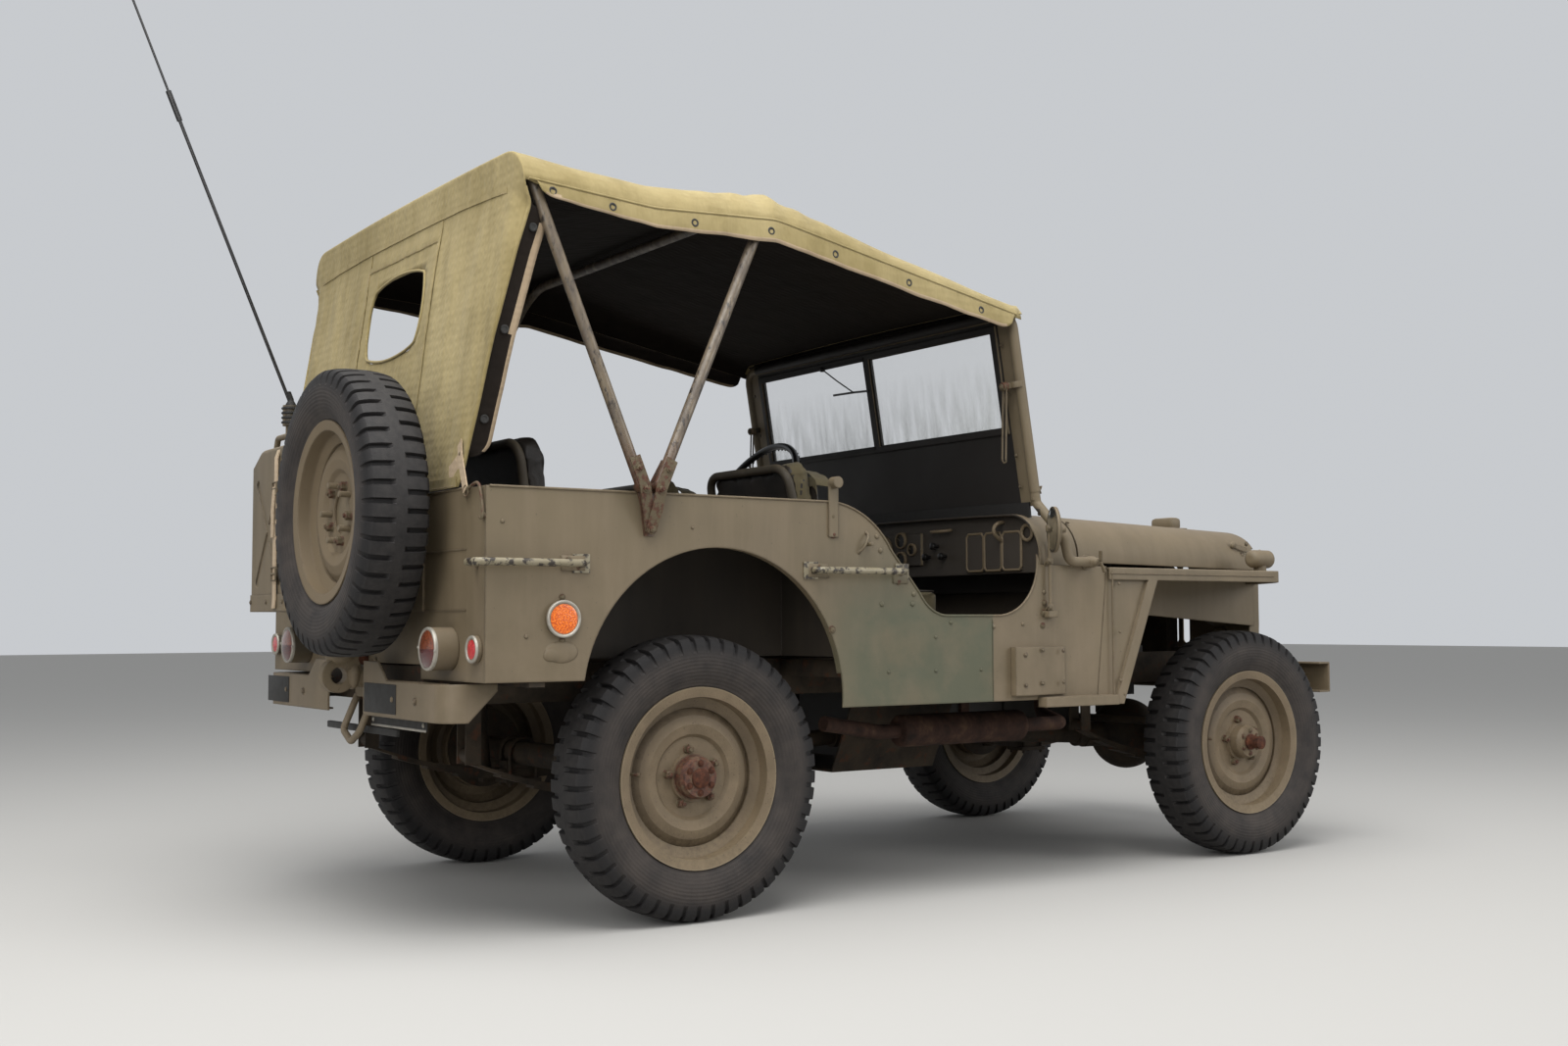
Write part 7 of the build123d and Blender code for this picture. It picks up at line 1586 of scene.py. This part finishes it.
class ARMYCAR_OT_windscreen(bpy.types.Operator):
    """Slotted arms, knobs, wiper, rubber bars, clamps and wing nuts of the windscreen, and the mirrors"""

    bl_idname = "armycar.windscreen"
    bl_label = "Windscreen Hardware"

    def execute(self, context):
        rubber, steel, black, worn, glass = (bmesh.new() for k in range(5))
        inward = on_screen(0, 100, 1) - on_screen(0, 100, 0)
        upward = on_screen(0, 1) - on_screen(0, 0)
        add_ribbon(rubber, [on_screen(0, up, 5) for up in (226, 300, 400, 516)], (1, 0, 0), 26, 10)
        for side in SIDES:
            for up in (229, 515):
                add_ribbon(rubber, [on_screen(side * x, up, 4) for x in (12, 300, 594)], upward, 12, 8)
            for x in (16, 592):
                add_ribbon(rubber, [on_screen(side * x, up, 4) for up in (228, 370, 516)], (1, 0, 0), 10, 8)
            self.slotted_arm(steel, worn, side, inward)
            for up in (60, 150, 330, 470):
                add_bolt(steel, on_screen(side * 640, up, 15), inward, 4, sides=10)
            self.clamp(steel, side)
            self.mirror(steel, glass, side)
        self.wiper(black, 230, inward, upward)
        # Rubber skirt that closes the gap between the screen's foot and the scuttle
        skirt = [at(x, -1131, 1056 - 0.00001 * x * x) for x in range(-660, 661, 60)]
        add_ribbon(rubber, skirt, (0, 0.1, 1), 44, 7)
        finish_piece("screen_rubber", rubber, MOULDING, "black_plastic")
        finish_piece("screen_hardware", steel, OLIVE, "olive_paint")
        finish_piece("screen_worn_parts", worn, RUSTING, "olive_paint")
        finish_piece("wipers", black, BLACK_ENAMEL, "black_plastic")
        finish_piece("mirror_glasses", glass, "silvered mirror glass", "screen_glass")
        return {"FINISHED"}

    def slotted_arm(self, steel, worn, side, inward):
        """Arm that holds the outer frame open: a long slotted strap hanging from its knob on the post."""
        knob = on_screen(side * 655, 350, 34)
        foot = knob + Vector((0, 6, -212))
        for offset in (-7.5, 7.5):
            shift = Vector((side * offset, 0, 0))
            add_ribbon(steel, [knob + shift, foot + shift], (1, 0, 0), 4.5, 3.5)
        turns = [math.pi * (1 + share) for share in steps(8)]
        bend = [foot + Vector((math.cos(a), 0, math.sin(a))) * 7.5 for a in turns]
        add_wire(steel, bend, 2.3, False, sides=2)
        profile = ((0, 0), (0, 13), (5, 14), (9, 11), (14, 13), (19, 12), (21, 0))
        add_lathe(worn, knob - inward * 6, inward, profile, 20)
        post = on_screen(side * 676, 352, 10)
        add_ribbon(steel, [post, knob], (0, 0, 1), 17, 6)
        add_lathe(steel, post + Vector((0, -4, -9)), (0, 0.16, 1), ((0, 15), (0, 20), (18, 20), (18, 15)), 20)
        add_bolt(steel, knob + inward * 15, inward, 6)

    def clamp(self, bm, side):
        """Pivot arm's clamp, its wing nut and the screen's lower catch."""
        pivot = at(side * 765, -1262, 900)
        out = Vector((side, 0, 0))
        profile = ((0, 0), (0, 17), (22, 17), (26, 13), (40, 11), (44, 8), (44, 0))
        add_lathe(bm, pivot - out * 12, out, profile, 24)
        foot = on_screen(side * 682, 40, 4)
        tip = foot + Vector((0, -22, 8))
        for lean in SIDES:
            bends = ((0, 0, 0), (side * 6, 6 * lean, 16 * lean), (side * 9, 9 * lean, 30 * lean))
            add_ribbon(bm, [pivot + out * 38 + Vector(bend) for bend in bends], (1, 0, 0), 11, 3.5)
            add_ribbon(bm, [tip, tip + Vector((0, -5, 11 * lean))], (1, 0, 0), 8, 3)
        add_box(bm, foot - Vector((7, 9, 26)), foot + Vector((7, 9, 26)), 2.5)
        add_cone(bm, tip, foot + Vector((0, 10, 8)), 4.2, 4.2, 10)

    def wiper(self, bm, x, inward, upward):
        """A thin wiper arm with its blade, parked under the frame's top bar."""
        pin = on_screen(x, 512, 12)
        tip = on_screen(x - 150, 418, 12)
        add_wire(bm, [pin, pin.lerp(tip, 0.5) + inward * 3, tip], 2.4, False, sides=2)
        blade = [on_screen(x - reach, up, 9) for reach, up in ((226, 414), (150, 418), (40, 421))]
        add_ribbon(bm, blade, upward, 7, 3)
        add_lathe(bm, pin - inward * 6, inward, ((0, 0), (0, 9), (12, 8), (14, 5), (15, 0)), 16)

    def mirror(self, bm, glass, side):
        """Glass, back shell, ball clamp and rod brackets of one mirror."""
        out = Vector((side * math.sin(MIRROR_TURN), -math.cos(MIRROR_TURN), 0))
        centre = at(side * MIRROR[0], *MIRROR[1:])
        add_lathe(glass, centre - out * 0.6, -out, ((0, 58.5), (0.5, 58), (0.5, 0)), 40)
        quarter = [share * math.pi / 2 for share in steps(6)]
        shell = [(9, 62)] + [(9 + 9 * math.sin(a), 60 * math.cos(a)) for a in quarter]
        add_lathe(bm, centre, out, shell, 36)
        add_lathe(bm, centre - out * 1.2, out, ((0, 59), (0, 64.5), (9, 64.5), (9.5, 62)), 40)
        add_lathe(bm, centre + out * 16, out, ((0, 0), (0, 13), (8, 13), (12, 9), (20, 9), (20, 0)), 18)
        for z, radius in ((992, 11), (900, 9.5), (770, 9)):
            sleeve = ((0, 5), (0, radius), (18, radius), (18, 5))
            add_lathe(bm, at(side * 759, -1108, z - 9), (0, 0, 1), sleeve, 18)
            add_bolt(bm, at(side * 767, -1100, z), (side, 0.4, 0), 4.5)
        for z in (900, 770):
            bracket = [at(side * x, -1108, z - low) for x, low in ((BODY_SIDE, 14), (752, 6), (759, 0))]
            add_ribbon(bm, bracket, (0, 1, 0), 20, 4)


class ARMYCAR_OT_hood_and_wings(bpy.types.Operator):
    """Hood hinge, rest blocks, catches, rivets, wing welts, bolts and the seam behind the hood"""

    bl_idname = "armycar.hood_and_wings"
    bl_label = "Hood and Wings"

    def execute(self, context):
        lid, hardware = bmesh.new(), bmesh.new()
        # Rest blocks that the folded windscreen lies on, each on its foot plate
        hood = frame["nodes"]["hood"]
        for side in SIDES:
            above = at(side * 265, -2125, 1300)
            z = hood.ray_cast(above / 1000, Vector((0, 0, -1)))[1].z * 1000
            add_box(lid, at(side * 265 - 62, -2163, z - 6), at(side * 265 + 62, -2087, z + 6), 2.5)
            add_box(lid, at(side * 265 - 48, -2150, z), at(side * 265 + 48, -2100, z + 42), 12.0)
        for side in SIDES:
            # Nose catch: strap, spring and its two bolts on the hood's side
            base = at(side * 519, -2200, 968)
            strap = [base + Vector(p) for p in ((side * 2, 40, 14), (side * 5, 10, 4), (side * 6, -26, -4))]
            add_ribbon(lid, strap, (0, 0, 1), 16, 4)
            add_lathe(lid, base + Vector((0, 38, 12)), (side, 0, 0), ((0, 12), (5, 11), (9, 6), (10, 0)), 16)
            for aft, rise in ((-30, 18), (-6, -20)):
                add_bolt(lid, base + Vector((side, aft, rise)), (side, 0, 0), 6)
            for x, station in ((536, -2010), (548, -1850)):
                add_rivet(lid, at(side * x, station, 940), (side, 0, 0.1), 5)
        finish_piece("hood_fittings", lid, OLIVE, "olive_paint", "hood")
        for side in SIDES:
            for station in (-1420, -1640, -1860, -2060):
                add_bolt(hardware, at(side * 575, station, 888.5), (0, 0, 1), 5)
            for station, z in ((-1384, 560), (-1384, 700), (-1384, 840), (-1400, 520)):
                add_rivet(hardware, at(side * 757, station, z), (side, 0, 0), 5)
            welt = [at(side * 757.5, -1350 - 80 * k, 869) for k in range(10)]
            add_wire(hardware, welt, 2.2, False, sides=2)
            seam = [at(side * 756.5, -1357, 880 - 40 * k) for k in range(10)]
            add_wire(hardware, seam, 3.0, False, sides=2)
            for k in range(5):
                place = at(side * (150 + 110 * k), -1343, 1048 - 6 * k)
                add_bolt(hardware, place, (0, -0.2, 1), 4.5, sides=10)
        knuckle = ((0, 0), (0, 6), (48, 6), (48, 0))
        for x in range(-500, 501, 200):
            add_lathe(hardware, at(x - 24, -1336, 1070 - 0.00005 * x * x), (1, 0, 0), knuckle, 12)
        finish_piece("wing_and_cowl_fittings", hardware, OLIVE, "olive_paint")
        return {"FINISHED"}


GRILLE_FACE = -2297
BUMPER_FACE = -2519
# Bolts of the tail panel: x and height
TAIL_BOLTS = (
    (-620, 560), (-500, 545), (-80, 640), (80, 640), (620, 560), (520, 545), (0, 720), (-120, 735),
)


class ARMYCAR_OT_nose_and_tail(bpy.types.Operator):
    """Bolts of grille and bumpers, radiator fins, blank plates, pintle hook's details and the tail's welts"""

    bl_idname = "armycar.nose_and_tail"
    bl_label = "Nose and Tail"

    def execute(self, context):
        fins, steel, black, rusty, pale = (bmesh.new() for k in range(5))
        for k in range(44):
            add_ribbon(fins, [at(x, -2217, 590 + 7.4 * k) for x in (-224, 0, 224)], (0, 0, 1), 2.2, 1.0)
        for k in range(15):
            x = -210 + 30 * k
            add_box(fins, at(x - 1.2, -2219, 575), at(x + 1.2, -2216.5, 920))
        finish_piece("radiator_fins", fins, CHASSIS, "chassis_paint")
        for side in SIDES:
            for x, z in ((480, 890), (480, 700), (250, 660), (440, 910)):
                add_bolt(steel, at(side * x, GRILLE_FACE, z), (0, -1, 0), 5)
            for x in (345, 420, 560):
                for z in (515, 568):
                    add_bolt(steel, at(side * x, BUMPER_FACE, z), (0, -1, 0), 7, sides=10)
            for x in (330, 470):
                add_bolt(steel, at(side * x, 652.3, 548), (0, 1, 0), 7, sides=10)
        for low, high in ((-352, -140), (450, 634)):
            add_box(black, at(low, 651.5, 512), at(high, 654, 584), 1.0)
        self.pintle(rusty, steel)
        # Blank plate: pale painted edge at its foot, and its four bolts
        add_box(pale, at(-430, 606.5, 472), at(-74, 609, 478), 1.0)
        for x in (-416, -88):
            for z in (488, 528):
                add_bolt(pale, at(x, 608.5, z), (0, 1, 0), 4, sides=10)
        add_box(black, at(-250, 600, 452), at(250, 612, 470), 3.0)
        for x, z in TAIL_BOLTS:
            add_bolt(steel, at(x, 600.5, z), (0, 1, 0), 5)
        self.tail_seams(steel)
        finish_piece("nose_and_tail_bolts", steel, OLIVE, "olive_paint")
        finish_piece("blank_black_plates", black, PLATE_PAINT, "black_plastic")
        finish_piece("pintle_details", rusty, RUST, "cast_iron")
        finish_piece("plate_edge", pale, ALUMINIUM, "lamp_housing")
        return {"FINISHED"}

    def pintle(self, rusty, steel):
        """Pintle's domed latch over the jaw, its ears, pin with its chain and mounting bolts."""
        add_ball(steel, at(0, 664, 646), (33, 40, 22), segments=(28, 16))
        add_ball(steel, at(0, 634, 600), (34, 20, 38), segments=(28, 16))
        ear = ((0, 0), (0, 15), (6, 14), (8, 8), (8, 0))
        for side in SIDES:
            add_lathe(rusty, at(side * 19, 612, 640), (side, 0, 0), ear, 20)
            for z in (562, 634):
                add_bolt(steel, at(side * 52, 596, z), (0, 1, 0), 8)
        add_cone(rusty, at(-32, 640, 652), at(32, 640, 652), 4.5, 4.5, 12)
        links = [at(34 + 5 * math.sin(k * 0.9), 640 - 2 * k, 648 - 13 * k + 0.6 * k * k) for k in range(9)]
        for k, (start, end) in enumerate(zip(links, links[1:])):
            middle, along = (start + end) / 2, (end - start).normalized()
            across = Vector((1, 0, 0)) if k % 2 else Vector((0, 1, 0)).cross(along).normalized()
            add_wire(rusty, oval(middle, along * 8, across * 4, 8), 1.5, closed=True, sides=1)

    def tail_seams(self, bm):
        """Raised welts of the tail panel and its rolled top edge."""
        for z in (760, 900):
            add_ribbon(bm, [at(-640 + 320 * k, 600.6, z) for k in range(5)], (0, 0, 1), 4, 1.2)
        add_wire(bm, [at(-660 + 165 * k, 598, 1040) for k in range(9)], 4.0, False, sides=2)


# Dials of the dash: x, height, radius
DIALS = (
    (0, 955, 50), (-96, 985, 26), (96, 985, 26), (-96, 925, 26), (96, 925, 26), (150, 955, 20),
    (-150, 955, 20),
)


class ARMYCAR_OT_controls(bpy.types.Operator):
    """Dials, switches, glove box rim and grab loops of the dash, and the steering wheel's hub and grips"""

    bl_idname = "armycar.controls"
    bl_label = "Dash and Controls"

    def execute(self, context):
        rims, dials, knobs = bmesh.new(), bmesh.new(), bmesh.new()
        back = Vector((0, 1, -0.05)).normalized()
        dash = -1114.0
        for x, z, radius in DIALS:
            bezel = ((-10, radius), (3, radius), (5, radius - 3), (3, radius - 6))
            add_lathe(rims, at(x, dash + 12, z), back, bezel, 32)
            add_lathe(dials, at(x, dash + 12, z), back, ((-2, radius - 5), (-1.5, 0)), 32)
            needle = at(x, dash + 15, z)
            add_ribbon(rims, [needle, needle + Vector((radius * 0.5, 0, radius * 0.35))], (0, 0, 1), 1.8, 0.8)
            for k in range(9):
                turn = math.radians(-30 + 30 * k)
                tick = Vector((math.cos(turn), 0, math.sin(turn)))
                ends = [at(x, dash + 13, z) + tick * (radius - inset) for inset in (12, 8)]
                add_ribbon(rims, ends, (tick.z, 0, -tick.x), 1.4, 0.6)
        profile = ((0, 0), (0, 6), (14, 5), (16, 11), (24, 11), (27, 7), (28, 0))
        for x, z in ((-262, 962), (-300, 930), (-224, 930), (262, 940), (200, 990)):
            add_lathe(knobs, at(x, dash, z), back, profile, 18)
        # Rim round the box in the right of the dash, split in three by its bars
        foot, top = 880, 990
        for left, right in ((-640, -562), (-556, -484), (-478, -404)):
            outline = []
            for x, z in (
                (left + 8, foot), (right - 8, foot), (right, foot + 9), (right, top - 9), (right - 8, top),
                (left + 8, top), (left, top - 9), (left, foot + 9),
            ):
                outline.append(at(x, dash + 4, z))
            add_wire(rims, outline, 4.5, False, closed=True, sides=2)
            add_box(dials, at(left + 3, dash + 2.5, foot + 3), at(right - 3, dash + 4, top - 3))
        loop = [at(-560, dash + out, z) for out, z in ((0, 1020), (34, 1016), (40, 980), (4, 966))]
        add_wire(rims, loop, 6.0, sides=2)
        add_lathe(rims, at(-668, dash + 6, 985), back, ((0, 26), (4, 26), (6, 22), (4, 17), (0, 17)), 30)
        bends = ((-330, 2, 1008), (-330, 30, 1004), (-250, 30, 1004), (-250, 2, 1008))
        add_wire(rims, [at(x, dash + out, z) for x, out, z in bends], 5.0)
        finish_piece("dash_rims", rims, WHEEL_ENAMEL, "black_plastic")
        finish_piece("dial_faces", dials, BLACK_ENAMEL, "black_plastic")
        finish_piece("dash_knobs", knobs, BLACK_ENAMEL, "black_plastic")
        self.wheel()
        return {"FINISHED"}

    def wheel(self):
        """Horn button, hub ring, spoke roots and finger grips of the steering wheel."""
        bm = bmesh.new()
        axis, across = STEERING_AXIS, Vector((1, 0, 0))
        centre, up = at(330, -815, 1130), axis.cross(across)
        add_lathe(bm, centre, axis, ((8, 30), (14, 28), (18, 20), (19, 0)), 28)
        add_lathe(bm, centre + axis * 18, axis, ((0, 16), (5, 15), (8, 9), (9, 0)), 24)
        for out in oval(Vector(), across, up, 60):
            grip = centre + out * 212 - axis * 10
            add_wire(bm, [grip - out * 10, grip - axis * 2.6, grip + out * 10], 2.6, sides=1)
        finish_piece("steering_wheel_details", bm, BLACK_ENAMEL, "black_plastic", "steering_wheel")


class ARMYCAR_OT_tail_load(bpy.types.Operator):
    """Can's strap, buckles, cap and seams, the carrier's bolts, and the aerial's sleeve and insulator"""

    bl_idname = "armycar.tail_load"
    bl_label = "Can and Aerial"

    def execute(self, context):
        strap, steel, red, dark = (bmesh.new() for k in range(4))
        rear = 770.0
        x, z = 206.0, 1088.0
        run = []
        for aside, station, height in (
            (0, 614, 1196), (0, 628, 1208), (0, 744, 1208), (0, 764, 1196), (0, 772, 1172), (-2, 773, z),
            (0, 774, 960), (1, 773, 860), (0, 773, 800), (0, 775, 772),
        ):
            run.append(at(x + aside, station, height))
        add_ribbon(strap, run, (1, 0, 0), 24, 3)
        end = [at(x, rear + 7, z + 6), at(x + 3, rear + 10, z - 60), at(x + 8, rear + 8, z - 128)]
        add_ribbon(strap, end, (1, 0, 0), 22, 2.6)
        for low in (z - 16, 846):
            corners = ((-17, 0), (17, 0), (17, 34), (-17, 34))
            buckle = [at(x + aside, rear + 7, low + rise) for aside, rise in corners]
            add_wire(steel, buckle, 3.0, False, closed=True, sides=2)
            add_cone(steel, at(x - 17, rear + 8, low + 17), at(x + 17, rear + 8, low + 17), 2.6, 2.6, 10)
        for seam in (
            ((120, 780), (113, 810), (113, 1160), (136, 1202)),
            ((452, 780), (459, 810), (459, 1140)),
        ):
            add_wire(steel, [at(x, 690, z) for x, z in seam], 3.6, sides=2)
        cap = at(398, 690, 1169)
        lean = Vector((0.46, 0, 0.89))
        profile = ((0, 24), (10, 24), (13, 21), (14, 12), (22, 10), (23, 0))
        add_lathe(steel, cap + lean * 18, lean, profile, 28)
        ends = [cap + lean * 36 + Vector((0, aft, 0)) for aft in (-26, 26)]
        add_wire(steel, [ends[0], cap + lean * 44, ends[1]], 3.4, sides=2)
        for x in (150, 286, 422):
            add_bolt(steel, at(x, rear + 1, 790), (0, 1, 0), 5)
        for k in range(3):
            place = SPARE + around((0, 1, 0), 150, k / 3)
            add_bolt(steel, at(place.x, 607, max(770, place.z - 130)), (0, 1, 0), 8)
        finish_piece("can_strap", strap, WEBBING, "top_canvas")
        finish_piece("can_details", steel, OLIVE, "olive_paint")
        foot, sleeve, tip = at(684, 584, 1378), at(738, 922, 2238), at(784, 1268, 3118)
        along = (sleeve - foot).normalized()
        for k in range(4):
            add_lathe(dark, at(684, 584, 1322 + 14 * k), (0, 0, 1), ((0, 21), (3, 27), (7, 27), (10, 21)), 28)
        add_lathe(dark, at(684, 584, 1376), (0, 0, 1), ((0, 16), (6, 15), (16, 9), (22, 8), (22, 0)), 24)
        spring = []
        for k in range(90):
            coil = Vector((8 * math.cos(k * 0.7), 8 * math.sin(k * 0.7), 0))
            spring.append(at(684, 584, 1396) + along * (0.28 * k) + coil)
        add_wire(dark, spring, 1.5, sides=1)
        finish_piece("aerial_insulator", dark, MOULDING, "black_plastic")
        add_cone(red, sleeve - along * 34, sleeve + along * 16, 6.2, 6.2, 18)
        add_cone(red, sleeve + along * 16, sleeve + along * 26, 6.2, 4.0, 18)
        finish_piece("aerial_sleeve", red, "red plastic sleeve", "black_plastic")
        tip_ball = bmesh.new()
        add_ball(tip_ball, tip - Vector((0, 3, 6)), (4.5, 4.5, 4.5), segments=(14, 8))
        finish_piece("aerial_tip", tip_ball, BLACK_ENAMEL, "black_plastic")
        return {"FINISHED"}


class ARMYCAR_OT_stage(bpy.types.Operator):
    """Pale floor, soft studio light and the camera at the photograph's angle"""

    bl_idname = "armycar.stage"
    bl_label = "Stage"

    def execute(self, context):
        settings = context.scene.car_stage
        Finish("plain matt studio floor", 0.9, Specular_IOR_Level=0.15, Base_Color=settings.floor)
        bm = bmesh.new()
        bmesh.ops.create_grid(bm, x_segments=2, y_segments=2, size=40.0)
        mesh = bpy.data.meshes.new("floor")
        bm.to_mesh(mesh)
        bm.free()
        mesh.materials.append(materials["plain matt studio floor"])
        floor = bpy.data.objects.new("floor", mesh)
        context.scene.collection.objects.link(floor)
        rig.stage(floor)
        world = bpy.data.worlds.new("studio")
        context.scene.world = world
        world.use_nodes = True
        world.node_tree.nodes["Background"].inputs["Color"].default_value = (0.93, 0.96, 1.0, 1.0)
        world.node_tree.nodes["Background"].inputs["Strength"].default_value = settings.sky
        # Columns: name, place, what it looks at, size, watts
        for name, place, aim, size, power in (
            ("overhead softbox", (-1.5, 1.5, 5.5), (0, 0, 0.8), 5.0, 460.0),
            ("tail softbox", (-4.5, 6.0, 3.2), (0, 0.3, 0.8), 3.5, 185.0),
            ("nose softbox", (-5.5, -4.5, 3.0), (0, -0.6, 0.7), 3.0, 150.0),
        ):
            light = bpy.data.lights.new(name, "AREA")
            light.size, light.energy = size, power
            lamp = bpy.data.objects.new(name, light)
            lamp.location = place
            lamp.rotation_euler = (Vector(aim) - Vector(place)).to_track_quat("-Z", "Y").to_euler()
            context.scene.collection.objects.link(lamp)
        camera = bpy.data.objects.new("camera", bpy.data.cameras.new("camera"))
        context.scene.collection.objects.link(camera)
        camera.data.sensor_width, camera.data.lens = 36.0, settings.lens
        look = Vector((0.82187361, -0.56643832, 0.06059204))
        up = Vector((-0.05186416, 0.03152074, 0.99815658))
        turn = Matrix((look.cross(up).normalized(), up, -look)).transposed()
        camera.rotation_mode = "QUATERNION"
        camera.rotation_quaternion = turn.to_quaternion()
        camera.location = (-4.13969, 2.75563, 0.72952)
        context.scene.camera = camera
        context.scene.view_settings.view_transform = "Standard"
        return {"FINISHED"}


class ARMYCAR_PT_panel(bpy.types.Panel):
    """Every piece's operator and the sizes that they use"""

    bl_label = "Army 4x4 Car"
    bl_idname = "ARMYCAR_PT_panel"
    bl_space_type = "VIEW_3D"
    bl_region_type = "UI"
    bl_category = "Army Car"

    def draw(self, context):
        for operator in OPERATORS:
            self.layout.operator(operator.bl_idname)
        for name, group in SETTINGS:
            box = self.layout.box()
            for prop in group.__annotations__:
                box.prop(getattr(context.scene, name), prop)


SETTINGS = (
    ("car_colours", CarColours),
    ("tyre_sizes", TyreSizes),
    ("cloth_sizes", ClothSizes),
    ("car_stage", StageSettings),
)
OPERATORS = tuple(
    kind for kind in list(globals().values())
    if isinstance(kind, type) and issubclass(kind, bpy.types.Operator)
)


def register():
    for name, group in SETTINGS:
        bpy.utils.register_class(group)
        setattr(bpy.types.Scene, name, PointerProperty(type=group))
    for kind in (*OPERATORS, ARMYCAR_PT_panel):
        bpy.utils.register_class(kind)


def unregister():
    for kind in (ARMYCAR_PT_panel, *reversed(OPERATORS)):
        bpy.utils.unregister_class(kind)
    for name, group in SETTINGS:
        delattr(bpy.types.Scene, name)
        bpy.utils.unregister_class(group)


def main():
    register()
    for operator in OPERATORS:
        family, name = operator.bl_idname.split(".")
        getattr(getattr(bpy.ops, family), name)()
    seen_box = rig.bounds()
    with open("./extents.json", "w") as file:
        json.dump({"cad": [list(v) for v in cad_box], "visual": [list(v) for v in seen_box]}, file)


if __name__ == "__main__":
    main()
